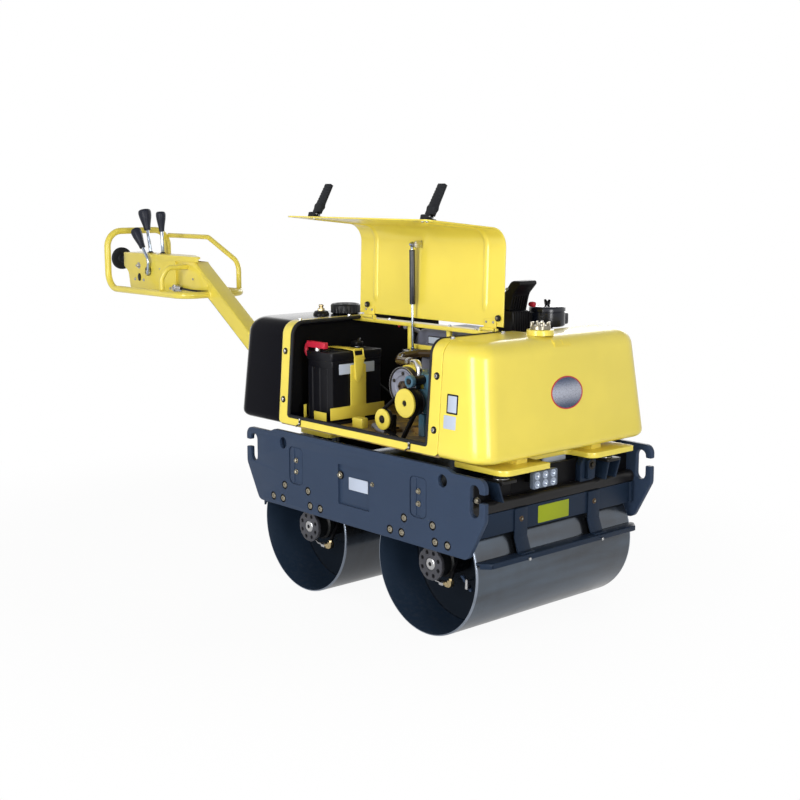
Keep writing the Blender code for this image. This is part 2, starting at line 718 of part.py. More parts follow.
def left_panel(machine):
    """The fixed panel on the machine's left, with a folded top edge."""
    def mirrored(z, inward):
        return (side_y(z) - inward, z)
    fold = 0.022
    section = [mirrored(SILL_LOW, 0.0), mirrored(LEFT_PANEL_TOP, 0.0), mirrored(LEFT_PANEL_TOP, fold),
               mirrored(LEFT_PANEL_TOP - SHEET, fold), mirrored(LEFT_PANEL_TOP - SHEET, SHEET),
               mirrored(SILL_LOW, SHEET)]
    made = plate("left_panel", "yz", [section], BAY_REAR + TOUCH, BAY_FRONT - TOUCH)
    dress(made, "yellow", machine)


def hinge_frame(machine):
    """Rail on two posts with a cross bar; its lugs hold the hood's hinge pin."""
    low, high = HINGE_RAIL_Y
    middle = (low + high) / 2
    floor = BODY_BOTTOM + TRAY_THICK + TOUCH
    pieces = [box("rail", (BAY_REAR + TOUCH, low, RAIL_TOP - RAIL_DEPTH), (BAY_FRONT - TOUCH, high, RAIL_TOP))]
    half = POST_SIZE / 2
    for x, low in zip(POST_X, (floor, FRONT_POST_FOOT)):
        pieces.append(box("post", (x - half, middle - half, low), (x + half, middle + half, RAIL_TOP - 0.002)))
    x = POST_X[1]
    pieces.append(box("foot", (x - half, middle, FRONT_POST_FOOT), (x + half, ENGINE_LOW[1] - TOUCH, FRONT_POST_FOOT + 0.015)))
    pieces.append(box("bar", (POST_X[0], middle - 0.006, POST_BAR[0]), (POST_X[1], middle + 0.006, POST_BAR[1])))
    lug = rounded([(HINGE_Y - 0.005, RAIL_TOP - 0.004), (HINGE_Y + 0.005, RAIL_TOP - 0.004),
                   (HINGE_Y + 0.005, HINGE_Z + 0.005, 0.0048), (HINGE_Y - 0.005, HINGE_Z + 0.005, 0.0048)], 3)
    beside = KNUCKLE_LENGTH / 2 + LUG_GAP
    for x in KNUCKLE_X:
        for start in (x - beside - 0.006, x + beside):
            pieces.append(plate("lug", "yz", [lug], start, start + 0.006))
        pieces.append(cylinder("pin", (x - beside - 0.005, HINGE_Y, HINGE_Z),
                               (x + beside + 0.005, HINGE_Y, HINGE_Z), HINGE_PIN, steps=12))
    stud_x = STRUT_X - STRUT_EYE_THICK / 2 - 0.001
    y, z = STRUT_FOOT
    pieces.append(cylinder("stud", (POST_X[0], y, z), (stud_x, y, z), 0.006, steps=12))
    pieces.append(box("stud_plate", (POST_X[0] - half, y - 0.010, z - 0.012), (POST_X[0] + half + 0.004, middle, z + 0.012)))
    dress(fuse("hinge_frame", pieces), "yellow", machine)


# ================================================================ hood
def hood(machine):
    """The L-shaped hood, built closed and turned open by its empty."""
    axis = carrier("hood_axis", (0.0, HINGE_Y, HINGE_Z), machine, -HOOD_OPEN)
    start = HINGE_Y - HOOD_EDGE
    inner, outer = HOOD_STAND, HOOD_STAND + SHEET
    pieces = [plate("shell", "yz", [skin_band(HOOD_LOW, start, inner, outer)], HOOD_REAR, HOOD_FRONT)]
    face = BODY_TOP + HOOD_STAND
    for x in KNUCKLE_X:
        ends = (x - KNUCKLE_LENGTH / 2, x + KNUCKLE_LENGTH / 2)
        ring = [circle(HINGE_Y, HINGE_Z, KNUCKLE, 16), circle(HINGE_Y, HINGE_Z, HINGE_PIN + PIN_FIT, 16)]
        pieces.append(plate("ring", "yz", ring, *ends))
        pieces.append(box("leaf", (ends[0], HINGE_Y - 0.030, HINGE_Z + HINGE_PIN + 0.001), (ends[1], HINGE_Y, face + 0.0005)))
    y, z = hood_point(*STRUT_TOP)
    stud = (STRUT_X + STRUT_EYE_THICK / 2 + TOUCH, STRUT_X + 0.022)
    pieces.append(cylinder("stud", (stud[0], y, z), (stud[1], y, z), 0.005, steps=12))
    pieces.append(box("stud_plate", (stud[1] - 0.004, y - 0.012, z - 0.008), (stud[1], y + 0.012, face + 0.0005)))
    dress(fuse("hood", pieces), "yellow", axis)

    low, high = (-side_y(z, (HOOD_STAND + SHEET) / math.cos(math.atan(BODY_LEAN))) - TOUCH for z in (0.572, 0.612))
    section = rounded([
        (low, 0.572), (high, 0.612), (high - 0.012, 0.612), (high - 0.060, 0.632, 0.004),
        (high - 0.086, 0.642, 0.004), (high - 0.092, 0.622, 0.004), (high - 0.045, 0.604, 0.006),
        (low - 0.020, 0.590), (low - 0.012, 0.572)], 3)
    for side, x in zip(("rear", "front"), LATCH_X):
        made = plate("hood_latch_" + side, "yz", [section], x - LATCH_WIDTH / 2, x + LATCH_WIDTH / 2)
        dress(made, "rubber", axis)
    return axis


def hood_point(y, z):
    """Where a point given at the open hood lies when the hood is closed."""
    arm = Vector((y - HINGE_Y, z - HINGE_Z))
    turned_arm = (arm.x * math.cos(HOOD_OPEN) - arm.y * math.sin(HOOD_OPEN),
                  arm.x * math.sin(HOOD_OPEN) + arm.y * math.cos(HOOD_OPEN))
    return HINGE_Y + turned_arm[0], HINGE_Z + turned_arm[1]


def strut(machine):
    """The gas strut: its tube hangs on the hood and its rod slides in the tube."""
    top = Vector((STRUT_X, *STRUT_TOP))
    foot = Vector((STRUT_X, *STRUT_FOOT))
    along = (foot - top).normalized()
    axis = carrier("strut_tube_axis", top, machine)
    start, end = (top + along * reach for reach in STRUT_TUBE_SPAN)
    half = STRUT_EYE_THICK / 2
    body = cylinder("strut_tube", start, end, STRUT_TUBE_RADIUS, steps=20)
    bore = cylinder("bore", start + along * 0.012, end + along * 0.01, STRUT_ROD_RADIUS + PIN_FIT, steps=16)
    body = combine(body, [bore], "DIFFERENCE")
    eye = cylinder("eye", top - Vector((half, 0, 0)), top + Vector((half, 0, 0)), STRUT_EYE, steps=16)
    shank = cylinder("shank", top, start + along * 0.004, 0.005, steps=12)
    made = fuse("strut_tube", [body, eye, shank])
    dress(made, "black", axis, smooth=40)
    axis = carrier("strut_rod_axis", foot, machine)
    rod = cylinder("strut_rod", end - along * 0.030, foot, STRUT_ROD_RADIUS, steps=16)
    eye = cylinder("eye", foot - Vector((half, 0, 0)), foot + Vector((half, 0, 0)), STRUT_EYE, steps=16)
    dress(fuse("strut_rod", [rod, eye]), "zinc", axis, smooth=40)


# ================================================================ engine bay
def engine(machine):
    """Engine block on its feet, fan shroud, muffler with its guard, and air cleaner."""
    floor = BODY_BOTTOM + TRAY_THICK + TOUCH
    x0, y0, z0 = ENGINE_LOW
    x1, y1, z1 = ENGINE_HIGH
    pieces = [box("block", ENGINE_LOW, ENGINE_HIGH)]
    for y in (y0 + 0.02, y1 - 0.02 - ENGINE_FEET):
        pieces.append(box("foot", (x0, y, floor), (x1, y + ENGINE_FEET, z0 + 0.01)))
    dress(fuse("engine_block", pieces), "grey", machine)

    low, high = SHROUD_LOW, SHROUD_HIGH
    outline = rounded([(low[0], z1 + TOUCH), (high[0], z1 + TOUCH), (high[0], SHROUD_TOP, 0.03),
                       (low[0], SHROUD_TOP, 0.05)])
    dress(plate("engine_shroud", "xz", [outline], low[1], high[1]), "grey", machine)

    low, high = MUFFLER_LOW, MUFFLER_HIGH
    pieces = [box("muffler", (*low, SHROUD_TOP + TOUCH), (*high, MUFFLER_TOP))]
    foot = MUFFLER_TOP - 0.002
    front = high[0] - 0.015
    guard = rounded([
        (front - 0.075, foot), (front, foot), (front + 0.007, foot + 0.030, 0.03), (front + 0.013, foot + 0.051, 0.03),
        (front + 0.041, GUARD_TOP - 0.010, 0.004), (front + 0.039, GUARD_TOP, 0.004),
        (front + 0.004, GUARD_TOP, 0.020), (front - 0.022, GUARD_TOP - 0.034, 0.03), (front - 0.055, foot + 0.020, 0.02)], 3)
    pieces.append(plate("guard", "xz", [guard], low[1] + 0.002, high[1] - 0.002))
    dress(fuse("muffler_guard", pieces), "black", machine)

    x, y = CLEANER_X, CLEANER_Y
    neck = z1 + TOUCH
    profile = [(0.0, 0.016), (0.006, 0.016), (0.006, 0.004), (0.030, 0.0), (CLEANER_RADIUS - 0.004, -0.004),
               (CLEANER_RADIUS, -0.010), (CLEANER_RADIUS, CLEANER_LOW - CLEANER_TOP),
               (CLEANER_NECK, CLEANER_LOW - CLEANER_TOP), (CLEANER_NECK, neck - CLEANER_TOP),
               (0.0, neck - CLEANER_TOP)]
    made = turned("air_cleaner", profile, (x, y, CLEANER_TOP), (0, 0, 1), 28)
    dress(made, "black", machine, smooth=40)


def battery(machine):
    """Battery in its holder, with the strap over it."""
    floor = BODY_BOTTOM + TRAY_THICK + TOUCH
    low, high = BATTERY_LOW, BATTERY_HIGH
    seat = floor + BATTERY_SEAT
    pieces = [box("case", (*low, seat + TOUCH), (*high, BATTERY_TOP - 0.025))]
    pieces.append(box("lid", (low[0] - 0.002, low[1] - 0.002, BATTERY_TOP - 0.027),
                      (high[0] + 0.002, high[1] + 0.002, BATTERY_TOP)))
    for y in (low[1] + 0.035, high[1] - 0.035):
        x = low[0] + 0.025
        pieces.append(cylinder("post", (x, y, BATTERY_TOP - 0.002), (x, y, BATTERY_TOP + 0.018), 0.009, steps=12))
    dress(fuse("battery", pieces), "black", machine)

    middle = (low[1] + high[1]) / 2
    out = high[0] + 0.002 + TOUCH
    top = BATTERY_TOP + TOUCH
    holder = [(low[0] - 0.012, floor), (out + 0.030, floor), (out + 0.030, floor + 0.004),
              (out + STRAP_THICK, floor + 0.004), (out + STRAP_THICK, top + STRAP_THICK, 0.002),
              (low[0] - 0.002 - TOUCH - STRAP_THICK, top + STRAP_THICK, 0.002),
              (low[0] - 0.002 - TOUCH - STRAP_THICK, floor + 0.004), (low[0] - 0.012, floor + 0.004)]
    inner = [(low[0] - 0.002 - TOUCH, seat), (out, seat), (out, top), (low[0] - 0.002 - TOUCH, top)]
    strap = plate("strap", "xz", [rounded(holder, 2), inner], middle - 0.022, middle + 0.022)
    base = box("base", (low[0] - 0.012, low[1] - 0.010, floor), (high[0] + 0.012, high[1] + 0.010, seat))
    dress(fuse("battery_holder", [base, strap]), "yellow", machine)


def belt_drive(machine):
    """Pump case, pulleys, flywheel and the belt that joins them."""
    floor = BODY_BOTTOM + TRAY_THICK + TOUCH
    low, high = PUMP_LOW, PUMP_HIGH
    case = rounded([(low[0], PUMP_BOTTOM, 0.01), (high[0], PUMP_BOTTOM, 0.01),
                    (high[0], PUMP_TOP, 0.03), (low[0], PUMP_TOP, 0.03)])
    pieces = [plate("case", "xz", [case], low[1], high[1])]
    for x in (low[0] + 0.010, high[0] - 0.030):
        pieces.append(box("foot", (x, low[1] + 0.02, floor), (x + 0.020, high[1] - 0.02, PUMP_BOTTOM + 0.01)))
    x, z, _ = CLUTCH
    pieces.append(cylinder("shaft", (x, PULLEY_FACE + PULLEY_THICK / 2, z), (x, low[1] + 0.005, z), 0.012, 16))
    dress(fuse("pump", pieces), "pump_blue", machine)

    back = PULLEY_FACE + PULLEY_THICK
    rows = [("clutch_pulley", CLUTCH, "yellow", PULLEY_FACE + PULLEY_THICK / 2 - 0.001),
            ("idler_pulley", IDLER, "yellow", None), ("flywheel", FLYWHEEL, "grey", None)]
    for name, (x, z, radius), finish, bored in rows:
        face = PULLEY_FACE if finish == "yellow" else back + 0.006
        disc = cylinder(name, (x, face, z), (x, face + PULLEY_THICK, z), radius, steps=28)
        if bored is not None:
            bore = cylinder("bore", (x, bored, z), (x, back + 0.01, z), 0.012 + TOUCH, steps=16)
            disc = combine(disc, [bore], "DIFFERENCE")
        elif name == "idler_pulley":
            arm = cylinder("arm", (x, back - 0.004, z), (x, back + 0.030, z), 0.010, steps=16)
            leg = box("leg", (x - 0.010, back + 0.018, floor), (x + 0.010, back + 0.030, z))
            disc = fuse(name, [disc, arm, leg])
        else:
            hub = cylinder("hub", (x, face + PULLEY_THICK - 0.004, z), (x, ENGINE_LOW[1] - TOUCH, z), 0.014, steps=20)
            disc = fuse(name, [disc, hub])
        dress(disc, finish, machine, smooth=40)


# ================================================================ caps and lamp
def caps_and_lamp(machine):
    """Filler and cap on the front tank, cap and breather on the rear one, and the work lamp."""
    collar = [(0.0, 0.036), (0.024, 0.036), (0.029, 0.031), (0.029, 0.018), (0.0355, 0.018), (0.038, 0.014),
              (0.038, 0.0), (0.0, 0.0)]
    made = turned("filler_cap", collar, (FILLER_X, FILLER_Y, BODY_TOP + TOUCH), (0, 0, 1), 24)
    dress(made, "yellow", machine, smooth=40)
    round_cap = [(0.0, 0.032), (0.040, 0.032), (0.048, 0.028), (0.048, 0.004), (0.040, 0.0), (0.0, 0.0)]
    made = turned("rear_tank_cap", round_cap, (*REAR_CAP, BODY_TOP + TOUCH), (0, 0, 1), 24)
    dress(made, "black", machine, smooth=40)
    valve = [(0.0, 0.034), (0.008, 0.032), (0.010, 0.016), (0.024, 0.014), (0.026, 0.0), (0.0, 0.0)]
    made = turned("rear_tank_breather", valve, (*BREATHER, BODY_TOP + TOUCH), (0, 0, 1), 16)
    dress(made, "black", machine, smooth=40)

    z0, z1 = LAMP_Z - LAMP_HEIGHT / 2, LAMP_Z + LAMP_HEIGHT / 2
    pieces = [box("lamp", (LAMP_BACK, LAMP_Y - LAMP_HALF, z0), (LAMP_BACK + LAMP_THICK, LAMP_Y + LAMP_HALF, z1))]
    pieces.append(box("bracket", (WALL_FACE + TOUCH, LAMP_Y - 0.02, z0 + 0.006), (LAMP_BACK + 0.004, LAMP_Y + 0.02, z1 - 0.008)))
    dress(fuse("work_lamp", pieces), "lens", machine)


# ================================================================ tiller
def tiller_bracket(machine):
    """Two cheeks behind the rear cross plate and the pivot pin through them."""
    face = -CROSS_PLATE_X - TOUCH
    inner = TILLER_SIZE / 2 + 0.0015
    boss = 0.034
    outline = rounded([(face, CROSS_PLATE_BOTTOM + 0.005), (face, BRACKET_TOP + 0.010),
                       (face - 0.100, PIVOT_Z + boss), (PIVOT_X - boss, PIVOT_Z + boss, boss * 0.98),
                       (PIVOT_X - boss, PIVOT_Z - boss, boss * 0.98), (PIVOT_X, PIVOT_Z - boss)], 4)
    pieces = []
    for low in (-inner - CHEEK_THICK, inner):
        pieces.append(plate("cheek", "xz", [outline], low, low + CHEEK_THICK))
    reach = inner + CHEEK_THICK + 0.008
    pieces.append(cylinder("pin", (PIVOT_X, -reach, PIVOT_Z), (PIVOT_X, reach, PIVOT_Z), PIVOT_PIN, steps=20))
    pieces.append(box("back", (face - 0.010, -inner - 0.004, CROSS_PLATE_BOTTOM + 0.005),
                      (face, inner + 0.004, CROSS_PLATE_TOP - 0.004)))
    rise, over = tiller_lines()
    stop = Vector((PIVOT_X, 0.0, PIVOT_Z)) - rise * (TILLER_TAIL - 0.012)
    stop += over * (TILLER_SIZE / 2 + STOP_RADIUS + TOUCH)
    pieces.append(cylinder("stop", (stop.x, -inner - 0.004, stop.z), (stop.x, inner + 0.004, stop.z),
                           STOP_RADIUS, steps=16))
    dress(fuse("tiller_bracket", pieces), "frame_blue", machine)


def tiller_lines():
    """Direction up along the tiller, and the one out of its upper face."""
    rise = Vector((-math.cos(TILLER_ANGLE), 0.0, math.sin(TILLER_ANGLE)))
    over = Vector((math.sin(TILLER_ANGLE), 0.0, math.cos(TILLER_ANGLE)))
    return rise, over


def tiller(machine):
    """The folding tiller with its loop, console, levers and stop pad."""
    axis = carrier("tiller_axis", (PIVOT_X, 0.0, PIVOT_Z), machine)
    rise, over = tiller_lines()
    pivot = Vector((PIVOT_X, 0.0, PIVOT_Z))
    half = TILLER_SIZE / 2
    foot = pivot - rise * TILLER_TAIL
    head = pivot + rise * TILLER_LENGTH
    corners = [foot - over * half, foot + over * half, head + over * half, head - over * half]
    outline = [(corner.x, corner.z) for corner in corners]
    bar = plate("tiller_tube", "xz", [outline, circle(PIVOT_X, PIVOT_Z, PIVOT_PIN + PIN_FIT, 24)], -half, half)
    dress(bar, "yellow", axis)

    edge = half + TOUCH
    path = [(LOOP_FRONT, -edge, LOOP_LOW), (LOOP_FRONT, -LOOP_HALF, LOOP_LOW), (LOOP_REAR, -LOOP_HALF, LOOP_LOW),
            (LOOP_REAR, -LOOP_HALF, LOOP_HIGH), (LOOP_REAR, LOOP_HALF, LOOP_HIGH),
            (LOOP_REAR, LOOP_HALF, LOOP_LOW), (LOOP_FRONT, LOOP_HALF, LOOP_LOW), (LOOP_FRONT, edge, LOOP_LOW)]
    dress(tube("handle_loop", bent(path, LOOP_BEND, 5), LOOP_TUBE), "yellow", axis, smooth=40)

    foot_y = LOOP_HALF - 0.003
    on_top = LOOP_LOW + LOOP_TUBE + TOUCH
    path = [(LOOP_REAR + LOOP_TUBE + TOUCH, LOOP_HALF, GUARD_HIGH), (-1.468, LOOP_HALF, GUARD_HIGH),
            (-1.262, foot_y, 0.955), (-1.262, foot_y, on_top)]
    dress(tube("side_guard", bent(path, 0.030, 4), GUARD_TUBE), "yellow", axis, smooth=40)

    cheek = half + TOUCH
    wall = cheek + CHEEK_WALL
    path = [(-1.370, -LOOP_HALF, on_top), (-1.370, -LOOP_HALF, 0.900), (-1.354, -LOOP_HALF + 0.020, 0.941),
            (-1.354, -wall - TOUCH, 0.941)]
    dress(tube("loop_brace", bent(path, 0.030, 4), GUARD_TUBE), "yellow", axis, smooth=40)

    lid = CONSOLE_TOP - 0.008
    body = rounded([
        (CONSOLE_REAR, CONSOLE_TOP), (CONSOLE_REAR, CONSOLE_TOP - 0.055), (-1.782, 0.905, 0.03),
        (-1.770, CONSOLE_LOW, 0.012), (CONSOLE_FOOT, CONSOLE_LOW), (-1.330, 0.930), (CONSOLE_FRONT, lid),
        (CONSOLE_FRONT, CONSOLE_TOP)], 3)
    room = [(CONSOLE_REAR + CHEEK_WALL, lid), (CONSOLE_REAR + CHEEK_WALL, 0.935), (-1.770, 0.900),
            (-1.758, CONSOLE_LOW + CHEEK_WALL), (-1.300, CONSOLE_LOW + CHEEK_WALL), (-1.150, CONSOLE_LOW - 0.05),
            (-1.150, lid)]
    shell = plate("console", "xz", [body], -wall, wall)
    hollow = plate("room", "xz", [room], -cheek, cheek)
    shell = combine(shell, [hollow], "DIFFERENCE")
    dress(shell, "yellow", axis)

    nose = CONSOLE_REAR - TOUCH
    face = PAD_REACH + 0.020
    pad = [(0.0, 0.0), (PAD_RADIUS - 0.006, 0.0), (PAD_RADIUS, -0.006), (PAD_RADIUS, -0.020),
           (0.020, -0.020), (0.017, -(nose - PAD_REACH)), (0.0, -(nose - PAD_REACH))]
    made = turned("stop_pad", pad, (PAD_REACH, 0.0, 0.951), (-1, 0, 0), 28)
    dress(made, "black", axis, smooth=40)

    hub_y = -wall - TOUCH
    hub = cylinder("hub", (-1.622, hub_y - 0.022, 0.907), (-1.622, hub_y, 0.907), 0.018, steps=20)
    rod_y = hub_y - 0.014
    rod = tube("rod", bent([(-1.622, rod_y, 0.907), (-1.662, rod_y, 0.962), (-1.700, rod_y - 0.004, 1.005)], 0.03, 3), 0.005)
    grip = cylinder("grip", (-1.692, rod_y - 0.003, 0.995), (-1.716, rod_y - 0.008, 1.060), 0.009, 16, 0.015)
    dress(fuse("lever_right", [hub, rod, grip]), "black", axis, smooth=40)
    rows = [("lever_rear", -1.668, (-1.708, 1.149), 0.010, 0.0175), ("lever_front", -1.579, (-1.587, 1.143), 0.008, 0.013)]
    for name, x, (tip_x, tip_z), thin, thick in rows:
        start = CONSOLE_TOP + TOUCH
        boot = cylinder("boot", (x, 0.0, start), (x, 0.0, start + 0.012), 0.018, 20, 0.009)
        neck = Vector((x, 0.0, start + 0.008)).lerp(Vector((tip_x, 0.0, tip_z)), 0.60)
        rod = cylinder("rod", (x, 0.0, start + 0.004), neck, 0.005, 12)
        grip = cylinder("grip", neck.lerp(Vector((x, 0.0, start)), 0.06), (tip_x, 0.0, tip_z), thin, 16, thick)
        dress(fuse(name, [boot, rod, grip]), "black", axis, smooth=40)


def main():
    """Build the whole machine."""
    clear_scene()
    collection = bpy.data.collections.new("double_drum_roller")
    bpy.context.scene.collection.children.link(collection)
    origin = bpy.data.objects.new("double_drum_roller", None)
    collection.objects.link(origin)
    origin.location = (MID_X, 0.0, 0.0)
    machine = {"empty": origin, "axis": Vector((0.0, 0.0, 0.0)), "collection": collection}
    side_plates(machine)
    cross_members(machine)
    rubber_mounts(machine)
    scrapers(machine)
    drums(machine)
    drum_carriers(machine)
    upper_frame(machine)
    tank("front_tank", BAY_FRONT, TANK_FRONT_LOW, TANK_FRONT_HIGH, machine, "yellow")
    tank("rear_tank", BAY_REAR, TANK_REAR_LOW, TANK_REAR_HIGH, machine, "black")
    door_frame(machine)
    left_panel(machine)
    hinge_frame(machine)
    hood(machine)
    strut(machine)
    engine(machine)
    battery(machine)
    belt_drive(machine)
    caps_and_lamp(machine)
    tiller_bracket(machine)
    tiller(machine)
    bpy.context.view_layer.update()


main()
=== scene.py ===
"""Looks of the double drum roller: fine pieces, finishes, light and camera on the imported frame."""

from __future__ import annotations

import logging
import math
from dataclasses import dataclass, field
from enum import Enum
from typing import ClassVar, Sequence

import bmesh
import bpy
import numpy as np
from mathutils import Matrix, Vector
from mathutils.geometry import tessellate_polygon

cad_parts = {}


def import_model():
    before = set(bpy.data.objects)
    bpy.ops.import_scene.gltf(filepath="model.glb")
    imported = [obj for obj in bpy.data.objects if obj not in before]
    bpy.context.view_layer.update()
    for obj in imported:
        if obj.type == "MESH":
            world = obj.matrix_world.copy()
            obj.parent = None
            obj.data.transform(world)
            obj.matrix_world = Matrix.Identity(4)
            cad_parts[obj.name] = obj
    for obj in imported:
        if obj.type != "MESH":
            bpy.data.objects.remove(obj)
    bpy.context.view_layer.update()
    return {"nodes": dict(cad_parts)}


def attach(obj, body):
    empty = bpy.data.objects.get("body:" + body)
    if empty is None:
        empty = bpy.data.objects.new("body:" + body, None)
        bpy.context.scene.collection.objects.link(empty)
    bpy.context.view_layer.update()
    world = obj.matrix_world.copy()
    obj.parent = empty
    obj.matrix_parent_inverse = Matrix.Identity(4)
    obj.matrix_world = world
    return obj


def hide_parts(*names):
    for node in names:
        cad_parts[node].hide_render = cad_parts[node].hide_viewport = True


LOG = logging.getLogger("roller")
Array = np.ndarray
Shape = tuple[Array, list[Array]]
Place = Sequence[float]
Colour = tuple[float, float, float]
TAU = 2.0 * math.pi
MID_X = 0.687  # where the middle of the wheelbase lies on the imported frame's X
GAP = 0.0004  # room between faces that would lie in one another
MERGE, SLIVER = 2e-6, 1e-7  # points closer than the one are joined, sides shorter than the other go
BEVEL_FROM = math.radians(40.0)  # edges sharper than this take a live bevel
BAY_FLOOR = 0.5264  # what stands in the engine bay starts here
UP, DOWN = (0.0, 0.0, 1.0), (0.0, 0.0, -1.0)
LEFT, RIGHT = (0.0, 1.0, 0.0), (0.0, -1.0, 0.0)
AHEAD, BEHIND = (1.0, 0.0, 0.0), (-1.0, 0.0, 0.0)
PATH_HINT, AXIS_HINT = (0.31, 0.57, 0.76), (0.13, 0.29, 0.95)  # directions that few paths take


class Body(Enum):
    """The moving groups that a piece can ride on."""

    MACHINE = "machine"
    FRONT_DRUM = "front_drum"
    REAR_DRUM = "rear_drum"
    TILLER = "tiller"
    HOOD = "hood"
    STRUT_TUBE = "strut_tube"
    STRUT_ROD = "strut_rod"


class Plane(Enum):
    """How an outline's two numbers and its depth lie in the machine."""

    XY = ((1, 0, 0), (0, 1, 0), (0, 0, 1))
    XZ = ((1, 0, 0), (0, 0, 1), (0, 1, 0))
    YZ = ((0, 1, 0), (0, 0, 1), (1, 0, 0))

    def lay(self, flat: Array, depth: Array | float) -> Array:
        """Lift flat points to a depth.

        Args:
            flat: Points of two numbers.
            depth: Their third number.

        Returns:
            The points in the machine.
        """
        rows = np.array(self.value, dtype=float)
        whole = np.concatenate([flat, np.broadcast_to(depth, (*flat.shape[:-1], 1))], axis=-1)
        return whole @ rows


XY, XZ, YZ = Plane


# ---------------------------------------------------------------- shader maths
class Socket:
    """One output of a shader node, or a plain number, with the usual operators."""

    def __init__(self, graph: Graph, source: object) -> None:
        """Keep the graph it belongs to and the node socket or number it stands for."""
        self.graph = graph
        self.source = source

    def _math(self, operation: str, *others: object) -> Socket:
        """Add one Math node.

        Args:
            operation: Name of the Math node's operation.
            others: The other operands, sockets or numbers.

        Returns:
            The node's result.
        """
        return self.graph.math(operation, self, *others)

    def __add__(self, other: object) -> Socket:
        """Sum."""
        return self._math("ADD", other)

    def __radd__(self, other: object) -> Socket:
        """Sum with a number first."""
        return self.graph.math("ADD", other, self)

    def __sub__(self, other: object) -> Socket:
        """Difference."""
        return self._math("SUBTRACT", other)

    def __rsub__(self, other: object) -> Socket:
        """A number less this."""
        return self.graph.math("SUBTRACT", other, self)

    def __mul__(self, other: object) -> Socket:
        """Product."""
        return self._math("MULTIPLY", other)

    def __rmul__(self, other: object) -> Socket:
        """Product with a number first."""
        return self.graph.math("MULTIPLY", other, self)

    def __abs__(self) -> Socket:
        """Size without its sign."""
        return self._math("ABSOLUTE")

    def most(self, other: object) -> Socket:
        """The larger of two."""
        return self._math("MAXIMUM", other)

    def step(self, low: float, high: float) -> Socket:
        """A smooth rise from 0 at low to 1 at high.

        Args:
            low: Where the rise starts.
            high: Where it ends; it may be less than low for a fall.

        Returns:
            The risen value, between 0 and 1.
        """
        return self.graph.node("ShaderNodeMapRange", {"interpolation_type": "SMOOTHSTEP"},
            {"Value": self, "From Min": low, "From Max": high})["Result"]


def named(sockets: Sequence[bpy.types.NodeSocket], name: str) -> bpy.types.NodeSocket:
    """The enabled socket of this name."""
    return next(socket for socket in sockets if socket.name == name and socket.enabled)


class Node:
    """A shader node whose outputs are read by name."""

    def __init__(self, graph: Graph, made: bpy.types.Node) -> None:
        """Keep the graph and the node."""
        self.graph = graph
        self.made = made

    def __getitem__(self, name: str) -> Socket:
        """The enabled output of this name."""
        return Socket(self.graph, named(self.made.outputs, name))


